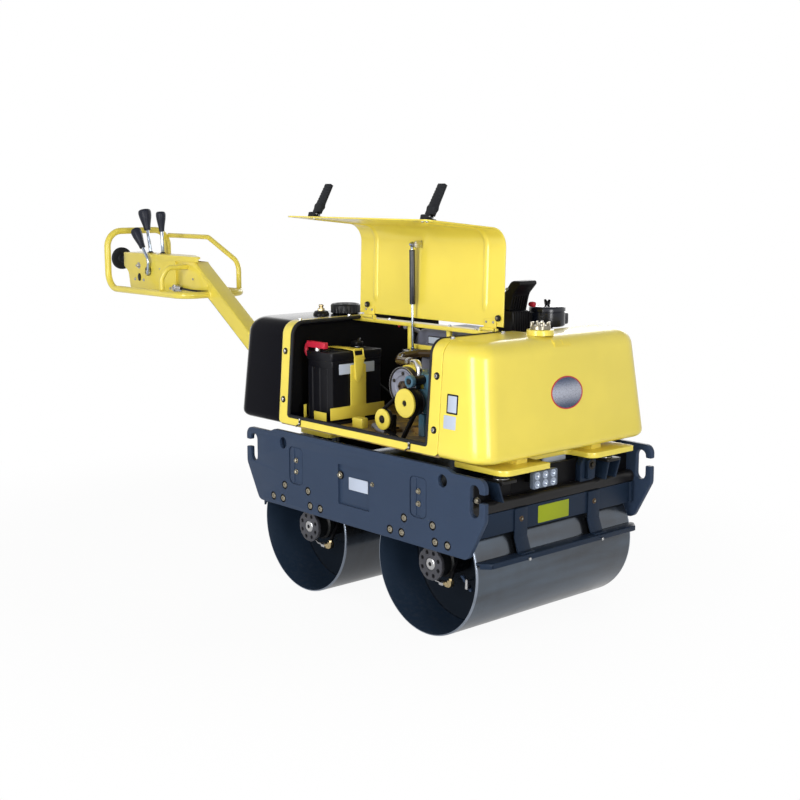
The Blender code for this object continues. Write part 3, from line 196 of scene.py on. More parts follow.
class Graph:
    """The node tree of a material or a world, written as expressions."""

    def __init__(self, name: str, world: bool = False) -> None:
        """Start a material or a world with its shader and output.

        Args:
            name: Its name.
            world: Whether it is a world.
        """
        self.owner = (bpy.data.worlds if world else bpy.data.materials).new(name)
        self.owner.use_nodes = True
        self.tree = self.owner.node_tree
        self.tree.nodes.clear()
        self.shader = self.tree.nodes.new("ShaderNodeBackground" if world else "ShaderNodeBsdfPrincipled")
        self.output = self.tree.nodes.new("ShaderNodeOutputWorld" if world else "ShaderNodeOutputMaterial")
        self.tree.links.new(self.shader.outputs[0], self.output.inputs["Surface"])
        self._place: Socket | None = None

    def feed(self, target: bpy.types.NodeSocket, value: object) -> None:
        """Link a socket to an input, or set the input's own value.

        Args:
            target: The input.
            value: A Socket, a number, or a tuple.
        """
        if isinstance(value, Socket) and isinstance(value.source, bpy.types.NodeSocket):
            self.tree.links.new(value.source, target)
            return
        plain = value.source if isinstance(value, Socket) else value
        if isinstance(plain, (tuple, list)) and len(plain) == 3 and target.type == "RGBA":
            plain = (*plain, 1.0)
        target.default_value = plain

    def node(self, kind: str, settings: dict[str, object] | None = None,
            inputs: dict[str, object] | None = None) -> Node:
        """Add any node.

        Args:
            kind: The node's type.
            settings: Its own settings.
            inputs: Values or links by input name.

        Returns:
            The node, whose outputs are read by name.
        """
        made = self.tree.nodes.new(kind)
        for key, value in (settings or {}).items():
            setattr(made, key, value)
        for key, value in (inputs or {}).items():
            self.feed(named(made.inputs, key), value)
        return Node(self, made)

    def math(self, operation: str, *values: object) -> Socket:
        """Add one Math node on one to three values.

        Args:
            operation: The node's operation.
            values: Sockets or numbers.

        Returns:
            The result.
        """
        made = self.tree.nodes.new("ShaderNodeMath")
        made.operation = operation
        for target, value in zip(made.inputs, values):
            self.feed(target, value)
        return Socket(self, made.outputs[0])

    def mix(self, amount: object, first: object, second: object) -> Socket:
        """Mix two colours by an amount from 0 to 1."""
        made = self.node("ShaderNodeMix", {"data_type": "RGBA"}, {"Factor": amount, "A": first, "B": second})
        return made["Result"]

    @property
    def place(self) -> Socket:
        """The piece's own object coordinates."""
        if self._place is None:
            self._place = self.node("ShaderNodeTexCoord")["Object"]
        return self._place

    def axis(self, name: str) -> Socket:
        """One of the object coordinates, X, Y or Z."""
        return self.node("ShaderNodeSeparateXYZ", None, {"Vector": self.place})[name]

    def noise(self, scale: float, detail: float = 3.0, rough: float = 0.5,
            stretch: tuple[float, float, float] = (1.0, 1.0, 1.0)) -> Socket:
        """A noise value on the object coordinates.

        Args:
            scale: Blobs per metre.
            detail: Octaves.
            rough: Weight of the finer octaves.
            stretch: Factor on each axis.

        Returns:
            The noise, about 0.5 on average.
        """
        place: Socket = self.place
        if stretch != (1.0, 1.0, 1.0):
            place = self.node("ShaderNodeMapping", None, {"Vector": place, "Scale": stretch})["Vector"]
        return self.node("ShaderNodeTexNoise", None, {"Vector": place, "Scale": scale, "Detail": detail,
            "Roughness": rough})["Fac"]

    def bump(self, height: Socket, strength: float, distance: float) -> Socket:
        """A Bump node on a height value."""
        return self.node("ShaderNodeBump", None, {"Height": height, "Strength": strength,
            "Distance": distance})["Normal"]

    def finish(self, **sockets: object) -> bpy.types.Material | bpy.types.World:
        """Feed the shader's sockets, written with _ for a space, and return the material or world.

        Args:
            sockets: Values or links.

        Returns:
            What the graph belongs to.
        """
        for key, value in sockets.items():
            self.feed(self.shader.inputs[key.replace("_", " ")], value)
        return self.owner


# ---------------------------------------------------------------- finishes
DUST: Colour = (0.42, 0.36, 0.28)
GRIME: Colour = (0.055, 0.032, 0.014)
TARNISH: Colour = (0.12, 0.11, 0.1)


@dataclass(frozen=True)
class Finish:
    """A named finish that makes its material once."""

    family: ClassVar[str] = ""
    made: ClassVar[dict[str, bpy.types.Material]] = {}
    label: str
    slot: str = field(default="", kw_only=True)

    def build(self, graph: Graph) -> bpy.types.Material:
        """Fill the graph and return its material."""
        raise NotImplementedError

    def material(self) -> bpy.types.Material:
        """The material, made when first asked for and named from the family and the label."""
        key = f"{self.family}_{self.label}"
        if key not in self.made:
            self.made[key] = self.build(Graph(key))
        return self.made[key]


@dataclass(frozen=True)
class Paint(Finish):
    """Sprayed paint: slight orange peel, faint dust on what faces up, and a coat of gloss."""

    family: ClassVar[str] = "paint"
    colour: Colour
    rough: float = 0.3
    dust: float = 0.1
    coat: float = 0.3
    peel: float = 0.05
    grime: float = 0.0
    shine: float = 0.3
    edge: float = 0.0

    def build(self, graph: Graph) -> bpy.types.Material:
        """Colour drifts with large noise, fine dust lies on what faces up, and grime lies in blots.

        The edge share of the coat rises where the surface is seen at a flat angle.

        Args:
            graph: The material's graph.

        Returns:
            The material.
        """
        drift = graph.noise(6.0, 2.0)
        tone = graph.mix(drift.step(0.35, 0.7), tuple(c * 0.95 for c in self.colour), self.colour)
        up = graph.node("ShaderNodeSeparateXYZ", None, {"Vector": graph.node("ShaderNodeNewGeometry")[
            "Normal"]})["Z"]
        speck = graph.noise(90.0, 4.0, 0.65)
        veil = up.step(0.2, 1.0) * speck.step(0.42, 0.75) * self.dust
        if self.grime:
            blot = graph.noise(16.0, 5.0, 0.62).step(0.4, 0.62) * self.grime
            tone = graph.mix(blot, tone, GRIME)
            veil = veil.most(blot * 0.2)
        colour = graph.mix(veil, tone, DUST)
        rough = self.rough + veil * 0.5 + (graph.noise(35.0, 2.0) - 0.5) * 0.06
        graph.feed(graph.shader.inputs["Coat Roughness"], 0.09)
        graph.feed(graph.shader.inputs["Specular IOR Level"], self.shine)
        coat = self.coat
        if self.edge:
            facing = graph.node("ShaderNodeLayerWeight", None, {"Blend": 0.5})["Facing"]
            coat = facing.step(0.62, 0.9) * self.edge + self.coat
        return graph.finish(Base_Color=colour, Roughness=rough, Coat_Weight=coat,
            Normal=graph.bump(graph.noise(420.0, 1.0), self.peel, 0.001))


@dataclass(frozen=True)
class Metal(Finish):
    """Bare or plated metal with fine brushing and a little tarnish."""

    family: ClassVar[str] = "metal"
    colour: Colour
    rough: float = 0.3
    amount: float = 0.25

    def build(self, graph: Graph) -> bpy.types.Material:
        """Medium noise tarnishes it in patches and fine noise roughens it.

        Args:
            graph: The material's graph.

        Returns:
            The material.
        """
        patch = graph.noise(60.0, 4.0, 0.6).step(0.45, 0.75) * self.amount
        fine = graph.noise(700.0, 2.0)
        return graph.finish(Base_Color=graph.mix(patch, self.colour, TARNISH), Metallic=1.0 - patch * 0.5,
            Roughness=self.rough + patch * 0.5 + (fine - 0.5) * 0.12, Normal=graph.bump(fine, 0.04, 0.0004))


@dataclass(frozen=True)
class Rolled(Finish):
    """A drum's rolled steel: streaks round it, a darker mottle and fine scratches."""

    family: ClassVar[str] = "rolled"
    colour: Colour
    dark: Colour
    rough: float = 0.34
    metallic: float = 0.85

    def build(self, graph: Graph) -> bpy.types.Material:
        """Noise stretched round the drum makes streaks, a broad one the mottle, a fine one the scratches.

        Args:
            graph: The material's graph.

        Returns:
            The material.
        """
        streak = graph.noise(34.0, 4.0, 0.62, (0.1, 1.0, 0.1))
        mottle = graph.noise(9.0, 4.0, 0.55, (1.0, 0.16, 1.0))
        scratch = graph.noise(520.0, 3.0, 0.7, (0.04, 1.0, 0.04))
        amount = streak.step(0.3, 0.72) * 0.14 + mottle.step(0.35, 0.68) * 0.86
        colour = graph.mix(amount, self.dark, self.colour)
        graph.feed(graph.shader.inputs["Metallic"], self.metallic)
        return graph.finish(Base_Color=colour, Roughness=self.rough + (streak - 0.5) * 0.25
            + (mottle - 0.5) * 0.15, Normal=graph.bump(scratch, 0.1, 0.0006))


@dataclass(frozen=True)
class Matt(Finish):
    """Rubber, plastic or casting: one colour with a fine grain."""

    family: ClassVar[str] = "matt"
    colour: Colour
    rough: float = 0.6
    grain: float = 0.15
    scale: float = 250.0
    metallic: float = 0.0
    coat: float = 0.0
    shine: float = 0.18

    def build(self, graph: Graph) -> bpy.types.Material:
        """A fine noise gives the grain, a large one a slow drift of tone.

        Args:
            graph: The material's graph.

        Returns:
            The material.
        """
        drift = graph.noise(14.0, 3.0).step(0.3, 0.75)
        colour = graph.mix(drift, tuple(c * 0.85 for c in self.colour),
            tuple(min(1.0, c * 1.1) for c in self.colour))
        fine = graph.noise(self.scale, 3.0)
        graph.feed(graph.shader.inputs["Metallic"], self.metallic)
        graph.feed(graph.shader.inputs["Coat Weight"], self.coat)
        graph.feed(graph.shader.inputs["Specular IOR Level"], self.shine)
        return graph.finish(Base_Color=colour, Roughness=self.rough + (fine - 0.5) * 0.15,
            Normal=graph.bump(fine, self.grain, 0.001))


@dataclass(frozen=True)
class BadgeFace(Finish):
    """A blank badge's satin face: dark at the top and the foot, pale across the middle."""

    family: ClassVar[str] = "badge"
    dark: Colour
    pale: Colour
    middle: float = 0.678
    half: float = 0.045

    def build(self, graph: Graph) -> bpy.types.Material:
        """The pale share falls off smoothly with the distance from the middle's height.

        Args:
            graph: The material's graph.

        Returns:
            The material.
        """
        away = abs(graph.axis("Z") - self.middle)
        share = away.step(self.half * 0.9, self.half * 0.05)
        fine = graph.noise(500.0, 2.0)
        return graph.finish(Base_Color=graph.mix(share, self.dark, self.pale),
            Metallic=0.5 + (fine - 0.5) * 0.2, Roughness=0.28 + (fine - 0.5) * 0.1)


YELLOW = Paint("yellow", (0.875, 0.715, 0.09), coat=0.45, peel=0.03, shine=0.4, slot="yellow")
YELLOW_INNER = Paint("yellow_inner", (0.84, 0.68, 0.085), rough=0.36, dust=0.15, slot="yellow")
OILY = Paint("oily_floor", (0.5, 0.32, 0.045), rough=0.36, dust=0.1, coat=0.2, grime=0.9, slot="yellow")
SLATE = Paint("slate", (0.031, 0.05, 0.092), rough=0.4, dust=0.04, coat=0.0, shine=0.14, edge=0.3,
    slot="frame_blue")
# A darker copy of the slate paint: painted shade for slate parts that face forward or sit under the body's
# overhang.
SLATE_SHADED = Paint("slate_deep", (0.0125, 0.0235, 0.046), rough=0.4, dust=0.03, coat=0.0, shine=0.14,
    edge=0.5, slot="frame_blue")
BLACK = Paint("satin_black", (0.0026, 0.0027, 0.0052), rough=0.3, dust=0.0, coat=0.0, shine=0.05, edge=1.0,
    slot="black")
# A darker black than the beam's: painted shade on the recessed wall behind the beam.
WALL_BLACK_SHADED = Paint("wall_black", (0.0045, 0.0045, 0.0055), rough=0.34, dust=0.02, coat=0.0, shine=0.08,
    edge=0.3)
BEAM_BLACK = Paint("beam_black", (0.011, 0.0105, 0.011), rough=0.3, dust=0.03, coat=0.0, shine=0.25, edge=0.4,
    slot="black")
CARRIER_BLACK = Paint("carrier_black", (0.008, 0.009, 0.01), rough=0.42, dust=0.03, coat=0.0, shine=0.2,
    slot="black")
PUMP = Paint("pump_blue", (0.07, 0.2, 0.3), rough=0.4, dust=0.15, coat=0.0, grime=0.35, slot="pump_blue")
RED = Paint("signal_red", (0.56, 0.022, 0.05), rough=0.38, dust=0.0, coat=0.1, slot="rubber")
LIME = Paint("lime_label", (0.34, 0.405, 0.017), rough=0.45, dust=0.05, coat=0.0, shine=0.2, slot="yellow")
LABEL = Paint("blank_label", (0.5, 0.56, 0.68), rough=0.45, dust=0.1, coat=0.0, shine=0.2, slot="zinc")
DRUM_STEEL = Rolled("drum_face", (0.125, 0.155, 0.195), (0.088, 0.092, 0.1), rough=0.2, metallic=0.93,
    slot="drum_steel")
DRUM_RIM = Rolled("drum_rim", (0.34, 0.38, 0.45), (0.2, 0.23, 0.28), rough=0.28, metallic=0.95)
DRUM_INSIDE = Paint("drum_inside", (0.0125, 0.0235, 0.043), rough=0.46, dust=0.03, coat=0.0, shine=0.16)
# A darker navy than the drum's inside: painted shade on the webs deep in the drum.
DRUM_WEB_SHADE = Paint("drum_web", (0.006, 0.01, 0.0165), rough=0.5, dust=0.03, coat=0.0, shine=0.1)
AMBER = Paint("oily_casting", (0.34, 0.19, 0.035), rough=0.3, dust=0.05, coat=0.4, grime=0.6)
RUBBER = Matt("rubber", (0.013, 0.014, 0.017), rough=0.55, slot="rubber")
FOAM = Matt("foam", (0.0045, 0.0045, 0.005), rough=0.9, grain=0.5, scale=320.0, shine=0.1, slot="rubber")
HOSE = Matt("hose", (0.006, 0.006, 0.007), rough=0.38, grain=0.1, slot="rubber")
HOSE_BROWN = Matt("hose_brown", (0.06, 0.038, 0.018), rough=0.25, grain=0.05, coat=0.6, slot="rubber")
BELT = Matt("belt", (0.008, 0.008, 0.009), rough=0.7, grain=0.3, scale=400.0, shine=0.1, slot="rubber")
GRIP = Matt("grip", (0.013, 0.016, 0.028), rough=0.4, grain=0.12, scale=500.0, shine=0.25, slot="black")
PLASTIC = Matt("black_plastic", (0.0058, 0.006, 0.0085), rough=0.34, grain=0.08, shine=0.2, slot="black")
GLOSS_BLACK = Paint("gloss_black", (0.006, 0.0085, 0.018), rough=0.22, dust=0.0, coat=0.25, peel=0.02,
    shine=0.4, edge=0.8, slot="black")
SOOT = Matt("black_steel", (0.007, 0.007, 0.009), rough=0.4, grain=0.15, slot="black")
CASTING = Matt("grey_casting", (0.27, 0.28, 0.34), rough=0.45, grain=0.35, metallic=0.4, slot="grey")
COWL = Matt("grey_cowl", (0.15, 0.16, 0.22), rough=0.4, grain=0.1, slot="grey")
GREASY = Matt("greasy_steel", (0.04, 0.036, 0.032), rough=0.32, grain=0.2, metallic=0.7, slot="zinc")
HUB_GREY = Matt("hub_grey", (0.075, 0.076, 0.088), rough=0.38, grain=0.3, metallic=0.45, slot="grey")
ZINC = Metal("zinc", (0.5, 0.5, 0.51), rough=0.26, slot="zinc")
ZINC_YELLOW = Metal("zinc_yellow", (0.34, 0.31, 0.24), rough=0.26, amount=0.4, slot="zinc")
BRONZE = Metal("bronze", (0.105, 0.07, 0.042), rough=0.3, amount=0.5, slot="zinc")
ALUMINIUM = Metal("aluminium", (0.72, 0.72, 0.72), rough=0.24, amount=0.2, slot="zinc")
CHROME = Metal("chrome", (0.42, 0.48, 0.58), rough=0.1, amount=0.05, slot="zinc")
BRASS = Metal("brass", (0.46, 0.37, 0.21), rough=0.28, amount=0.3)
LAMP_CASE = Matt("lamp_case", (0.11, 0.135, 0.18), rough=0.3, grain=0.0, coat=0.2, slot="lens")
BADGE = BadgeFace("face", (0.06, 0.085, 0.15), (0.42, 0.44, 0.52), slot="zinc")


# ---------------------------------------------------------------- shapes
def unit(rows: Array) -> Array:
    """Scale each row to length one; a row of nothing stays as it is."""
    return rows / np.maximum(np.linalg.norm(rows, axis=-1, keepdims=True), 1e-12)


def fillet(corners: Sequence[Place], radii: Sequence[float] | float = 0.0, steps: int = 5,
        closed: bool = True) -> Array:
    """Round the corners of a line in any number of dimensions.

    At each corner the two tangent points, radius / tan(half the angle) away, are joined by an arc
    that turns evenly about the centre on the angle's bisector.

    Args:
        corners: The sharp corners.
        radii: One radius, or one for each corner.
        steps: Sides of each arc.
        closed: Whether the last corner joins the first.

    Returns:
        The rounded line's points.
    """
    at = np.asarray(corners, dtype=float)
    size = np.broadcast_to(radii, len(at)).astype(float).copy()
    if not closed:
        size[[0, -1]] = 0.0
    back, onward = unit(np.roll(at, 1, 0) - at), unit(np.roll(at, -1, 0) - at)
    half = np.clip(np.arccos(np.clip((back * onward).sum(1), -1, 1)) / 2, 1e-4, math.pi / 2 - 1e-4)
    centre = at + unit(back + onward) * (size / np.sin(half))[:, None]
    reach = (size / np.tan(half))[:, None]
    first, last = at + back * reach - centre, at + onward * reach - centre
    part = np.linspace(0.0, 1.0, steps + 1)[None, :, None]
    turn = (math.pi - 2 * half)[:, None, None]
    arcs = (np.sin((1 - part) * turn) * first[:, None] + np.sin(part * turn) * last[:, None]) / np.sin(turn)
    found = (centre[:, None] + arcs).reshape(-1, at.shape[1])
    keep = np.linalg.norm(found - np.roll(found, 1, 0), axis=1) > 1e-6
    keep[0] = keep[0] or not closed
    return found[keep]


def ring(u: float, v: float, radius: float, steps: int = 24, tall: float = 1.0) -> Array:
    """A circle's points, or an ellipse's with a height factor."""
    turn = np.arange(steps) / steps * TAU
    return np.stack([u + radius * np.cos(turn), v + radius * tall * np.sin(turn)], 1)


def spread(centre: Place, radius: float, count: int, phase: float = 0.0) -> list[tuple[float, float]]:
    """Places spread evenly on a circle, the first one a share of a step on.

    Args:
        centre: The circle's centre.
        radius: Its radius.
        count: How many.
        phase: Share of a step that the first is turned by.

    Returns:
        The places.
    """
    turns = [TAU * (k + phase) / count for k in range(count)]
    return [(centre[0] + radius * math.cos(t), centre[1] + radius * math.sin(t)) for t in turns]


def pill(low: Place, high: Place, radius: float, steps: int = 6) -> Array:
    """A rectangle between two corners with rounded corners."""
    return fillet([(low[0], low[1]), (high[0], low[1]), (high[0], high[1]), (low[0], high[1])], radius, steps)


def grid(points: Array, around: bool = False, closed: bool = False, caps: bool = False) -> Shape:
    """Four-sided faces over an array of rows of points.

    Args:
        points: An array of rows by columns by three.
        around: Whether the last column joins the first.
        closed: Whether the last row joins the first.
        caps: Whether the first and the last row are filled.

    Returns:
        The shape.
    """
    rows, columns = points.shape[:2]
    index = np.arange(rows * columns).reshape(rows, columns)
    ends = [index[:1, ::-1], index[-1:]]
    if around:
        index = np.column_stack([index, index[:, :1]])
    if closed:
        index = np.vstack([index, index[:1]])
    quads = np.stack([index[:-1, :-1], index[:-1, 1:], index[1:, 1:], index[1:, :-1]], -1).reshape(-1, 4)
    return points.reshape(-1, 3), [quads] + (ends if caps else [])


def join(*shapes: Shape) -> Shape:
    """Put shapes into one, their faces' indices shifted past the points before them.

    Args:
        shapes: The shapes.

    Returns:
        One shape.
    """
    starts = np.cumsum([0] + [len(points) for points, _ in shapes])
    faces = [part + start for (_, parts), start in zip(shapes, starts) for part in parts]
    return np.concatenate([points for points, _ in shapes]), faces


def outward(shape: Shape) -> Shape:
    """Turn a closed shape's faces out, by the sign of the volume that its faces fan out to.

    Args:
        shape: A closed shape.

    Returns:
        The shape with its faces out.
    """
    points, faces = shape
    volume = 0.0
    for part in faces:
        corner = points[part]
        one, two = corner[:, 1:-1], corner[:, 2:]
        volume += float((corner[:, :1] * np.cross(one, two)).sum())
    return (points, [part[:, ::-1] for part in faces]) if volume < 0 else shape


def offset(loop: Array, inset: float) -> Array:
    """Move a loop to its left by a distance, along the bisector of each corner's two sides.

    Args:
        loop: The loop, seen with its inside to the left.
        inset: How far it moves.

    Returns:
        The moved loop.
    """
    side = unit(np.roll(loop, -1, 0) - loop)
    left = np.stack([-side[:, 1], side[:, 0]], 1)
    before = np.roll(left, 1, 0)
    share = 1.0 + np.clip((left * before).sum(1, keepdims=True), -0.6, 1.0)
    return loop + (left + before) / share * inset


def turning(loop: Array) -> float:
    """Twice the area of a loop, above zero if it runs anticlockwise."""
    after = np.roll(loop, -1, 0)
    return float((loop[:, 0] * after[:, 1] - loop[:, 1] * after[:, 0]).sum())


def cap(plane: Plane, loops: Sequence[Array], depth: float, flip: bool) -> Shape:
    """A flat face between loops at a depth: the first is the edge, the others are holes.

    Args:
        plane: How it lies.
        loops: The edge, then the holes.
        depth: Where it lies.
        flip: Whether it looks the other way.

    Returns:
        The face, as triangles.
    """
    flat = np.concatenate(loops)
    found = tessellate_polygon([[Vector((*row, 0.0)) for row in loop.tolist()] for loop in loops])
    corners = np.array(found, dtype=int)
    one, two = flat[corners[:, 1]] - flat[corners[:, 0]], flat[corners[:, 2]] - flat[corners[:, 0]]
    wrong = (one[:, 0] * two[:, 1] - one[:, 1] * two[:, 0] < 0) != flip
    corners[wrong] = corners[wrong][:, ::-1]
    return plane.lay(flat, depth), [corners]


def slab(plane: Plane, outlines: Sequence[Array], low: float, high: float, edge: float = 0.0,
        pockets: Sequence[tuple[Array, float]] = (), steps: int = 2) -> Shape:
    """A flat plate with holes, rounded edges and pockets.

    Each outline's wall is a stack of loops, moved inwards near both faces by a quarter circle. A
    pocket is an outline with its depth, sunk into the face at high.

    Args:
        plane: How it lies.
        outlines: The edge first, then the holes.
        low: Depth of the back face.
        high: Depth of the front face.
        edge: Radius of the rounded edges.
        pockets: Outlines with their depths.
        steps: Sides of a rounded edge.

    Returns:
        The closed shape.
    """
    toward = math.copysign(1.0, high - low)
    loops = [loop if (turning(loop) > 0) == (k == 0) else loop[::-1] for k, loop in enumerate(outlines)]
    turn = np.linspace(0.0, math.pi / 2, steps + 1) if edge else np.zeros(1)
    inset, rise = edge * (1 - np.sin(turn)), edge * (1 - np.cos(turn)) * toward
    levels = list(zip(inset, low + rise)) + list(zip(inset[::-1], high - rise[::-1]))
    pieces = [grid(np.stack([plane.lay(offset(loop, far), depth) for far, depth in levels]), around=True)
        for loop in loops]
    sunk = [loop if turning(loop) < 0 else loop[::-1] for loop, _ in pockets]
    inner = [offset(loop, edge) for loop in loops]
    flipped = np.linalg.det(np.array(plane.value, dtype=float)) * toward < 0
    pieces.append(cap(plane, inner, low, not flipped))
    pieces.append(cap(plane, inner + sunk, high, flipped))
    for loop, (_, depth) in zip(sunk, pockets):
        floor = high - toward * depth
        pieces.append(grid(np.stack([plane.lay(loop, floor), plane.lay(loop, high)]), around=True))
        pieces.append(cap(plane, [loop], floor, flipped))
    if flipped:
        walls = [k for k in range(len(pieces)) if pieces[k][1][0].shape[1] == 4]
        for k in walls:
            pieces[k] = (pieces[k][0], [part[:, ::-1] for part in pieces[k][1]])
    return join(*pieces)


def block(low: Place, high: Place, edge: float = 0.002, plane: Plane = XY) -> Shape:
    """A box with rounded edges, between two corners.

    Args:
        low: The corner with the lowest numbers.
        high: The corner across from it.
        edge: Radius of its edges.
        plane: The plane of its rounded outline.

    Returns:
        The closed shape.
    """
    order = {XY: (0, 1, 2), XZ: (0, 2, 1), YZ: (1, 2, 0)}[plane]
    a, b = [low[k] for k in order], [high[k] for k in order]
    return slab(plane, [pill(a, b, edge * 1.01, 3)], a[2], b[2], edge)


def sweep(profile: Array, path: Array, hint: Place = PATH_HINT, closed: bool = False) -> Shape:
    """Carry a closed profile along a path.

    At each point the tangent is the mean of the two sides' directions; the profile's first number
    lies along hint x tangent and its second along tangent x that.

    Args:
        profile: Points of two numbers.
        path: Points of three.
        hint: A direction that the path never takes.
        closed: Whether the path's end joins its start.

    Returns:
        The closed shape.
    """
    step = unit(np.roll(path, -1, 0) - path)
    before = np.roll(step, 1, 0)
    if not closed:
        step[-1], before[0] = before[-1], step[0]
    along = unit(step + before)
    side = unit(np.cross(np.array(hint, dtype=float), along))
    up = np.cross(along, side)
    flat = profile[None]
    points = path[:, None] + flat[..., :1] * side[:, None] + flat[..., 1:] * up[:, None]
    return outward(grid(points, around=True, closed=closed, caps=not closed))


def tube(path: Array, radius: float, steps: int = 12, closed: bool = False, hint: Place = PATH_HINT) -> Shape:
    """A round bar or tube along a path."""
    return sweep(ring(0.0, 0.0, radius, steps), path, hint, closed)


def basis(axis: Place, hint: Place = AXIS_HINT) -> Array:
    """Two directions square to an axis, and the axis.

    Args:
        axis: The axis.
        hint: Fixes where the first direction lies.

    Returns:
        Three rows: side, up and along.
    """
    along = unit(np.array(axis, dtype=float))
    if abs(float(along @ unit(np.array(hint, dtype=float)))) > 0.95:
        hint = AHEAD
    side = unit(np.cross(np.array(hint, dtype=float), along))
    return np.array([side, np.cross(along, side), along])


def lathe(profile: Sequence[Place], centre: Place = (0.0, 0.0, 0.0), axis: Place = UP, steps: int = 32,
        closed: bool = False, hint: Place = AXIS_HINT, phase: float = 0.0) -> Shape:
    """Turn a profile about an axis.

    Args:
        profile: Rows of radius and distance along the axis.
        centre: Where the distances start.
        axis: The axis.
        steps: Sides of a turn; 6 makes a hexagon.
        closed: Whether the profile is a loop.
        hint: Fixes where the first side lies.
        phase: Share of a side that the first point is turned by.

    Returns:
        The closed shape.
    """
    line = np.asarray(profile, dtype=float)
    turn = (np.arange(steps) + phase) / steps * TAU
    flat = np.stack([line[:, :1] * np.cos(turn), line[:, :1] * np.sin(turn),
        np.broadcast_to(line[:, 1:], (len(line), steps))], -1)
    points = flat @ basis(axis, hint) + np.array(centre, dtype=float)
    return outward(grid(points, around=True, closed=closed, caps=not closed))


def bar(start: Place, end: Place, radius: float, steps: int = 16, edge: float = 0.0008) -> Shape:
    """A round bar between two points, its ends rounded by a small quarter turn.

    Args:
        start: Middle of one end.
        end: Middle of the other.
        radius: Its radius.
        steps: Sides of a turn.
        edge: Radius of the ends' edges.

    Returns:
        The closed shape.
    """
    along = np.array(end, dtype=float) - np.array(start, dtype=float)
    length = float(np.linalg.norm(along))
    small = min(edge, radius * 0.4, length * 0.4)
    return lathe([(radius - small, 0.0), (radius - small * 0.3, small * 0.3), (radius, small),
        (radius, length - small), (radius - small * 0.3, length - small * 0.3), (radius - small, length)],
        start, along, steps)


def turned(shape: Shape, centre: Place, axis: Place, angle: float) -> Shape:
    """Turn a shape about an axis through a point, by the matrix of that rotation.

    Args:
        shape: The shape.
        centre: A point on the axis.
        axis: The axis.
        angle: The turn in radians.

    Returns:
        The turned shape.
    """
    matrix = np.array(Matrix.Rotation(angle, 3, Vector(axis)))
    middle = np.array(centre, dtype=float)
    return (shape[0] - middle) @ matrix.T + middle, shape[1]


def mirrored(shape: Shape) -> Shape:
    """The shape on the machine's other side, its faces turned to point out again."""
    return shape[0] * np.array([1.0, -1.0, 1.0]), [part[:, ::-1] for part in shape[1]]


def leaned(shape: Shape, axis: int, slope: float, level: float) -> Shape:
    """Shift a shape along an axis in proportion to its height above a level.

    Args:
        shape: The shape.
        axis: Number of the axis that it is shifted along.
        slope: Shift for each unit of height.
        level: Height that stays where it is.

    Returns:
        The leaning shape.
    """
    points = shape[0].copy()
    points[:, axis] += slope * (points[:, 2] - level)
    return points, shape[1]


@dataclass
class Piece:
    """One finished piece, gathered from shapes in the machine's own coordinates."""

    name: str
    finish: Finish
    body: Body = Body.MACHINE
    sharp: float = 35.0
    shapes: list[Shape] = field(default_factory=list)
    coats: list[Finish] = field(default_factory=list)

    def add(self, *shapes: Shape, finish: Finish | None = None) -> Piece:
        """Add shapes in one finish, the piece's own unless given, and return the piece.

        Args:
            shapes: The shapes.
            finish: Their finish.

        Returns:
            The piece.
        """
        for shape in shapes:
            self.shapes.append(shape)
            self.coats.append(finish or self.finish)
        return self

    def make(self, *nodes: str, slot: str = "", bevel: float = 0.0, wall: float = 0.0) -> bpy.types.Object:
        """Turn the shapes into the finished object and say what it rides on.

        Args:
            nodes: CAD nodes that it stands for.
            slot: Not used.
            bevel: Width of a live bevel on its sharp edges.
            wall: Thickness that an open sheet is given behind its face.

        Returns:
            The object.
        """
        points, faces = join(*self.shapes)
        kinds = list(dict.fromkeys(self.coats))
        sizes = [sum(len(part) for part in parts) for _, parts in self.shapes]
        data = bpy.data.meshes.new(self.name)
        data.from_pydata((points + np.array([MID_X, 0.0, 0.0])).tolist(), [],
            [face for part in faces for face in part.tolist()])
        for finish in kinds:
            data.materials.append(finish.material())
        slots = np.repeat([kinds.index(finish) for finish in self.coats], sizes)
        data.polygons.foreach_set("material_index", slots.astype(np.int32))
        merged = bmesh.new()
        merged.from_mesh(data)
        bmesh.ops.remove_doubles(merged, verts=merged.verts, dist=MERGE)
        bmesh.ops.dissolve_degenerate(merged, edges=merged.edges, dist=SLIVER)
        merged.to_mesh(data)
        merged.free()
        data.shade_smooth()
        data.set_sharp_from_angle(angle=math.radians(self.sharp))
        thing = bpy.data.objects.new(self.name, data)
        bpy.context.scene.collection.objects.link(thing)
        if wall:
            sheet = thing.modifiers.new("wall", "SOLIDIFY")
            sheet.thickness = wall
            sheet.offset = -1.0
            sheet.use_even_offset = True
        if bevel:
            round_off = thing.modifiers.new("edges", "BEVEL")
            round_off.width = bevel
            round_off.segments = 2
            round_off.limit_method = "ANGLE"
            round_off.angle_limit = BEVEL_FROM
            round_off.harden_normals = False
        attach(thing, self.body.value)
        if nodes:
            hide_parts(*nodes)
        LOG.info("%s: %d faces", self.name, len(data.polygons))
        return thing


def hex_bolt(place: Place, axis: Place, across: float = 0.013, high: float = 0.006,
        washer: float = 0.0) -> Shape:
    """A hexagon head with a chamfered top, on a washer if its radius is given.

    Args:
        place: Where it stands.
        axis: Where it points.
        across: Width across its flats.
        high: Height of the head.
        washer: Radius of the washer.

    Returns:
        The closed shape.
    """
    radius = across / math.sqrt(3.0)
    base = 0.0012 if washer else 0.0
    head = lathe([(radius, base), (radius, base + high * 0.75), (radius * 0.96, base + high * 0.86),
        (radius * 0.8, base + high)], place, axis, 6)
    if not washer:
        return head
    flat = lathe([(washer, 0.0), (washer, base * 0.7), (washer * 0.96, base)], place, axis, 20)
    return join(flat, head)


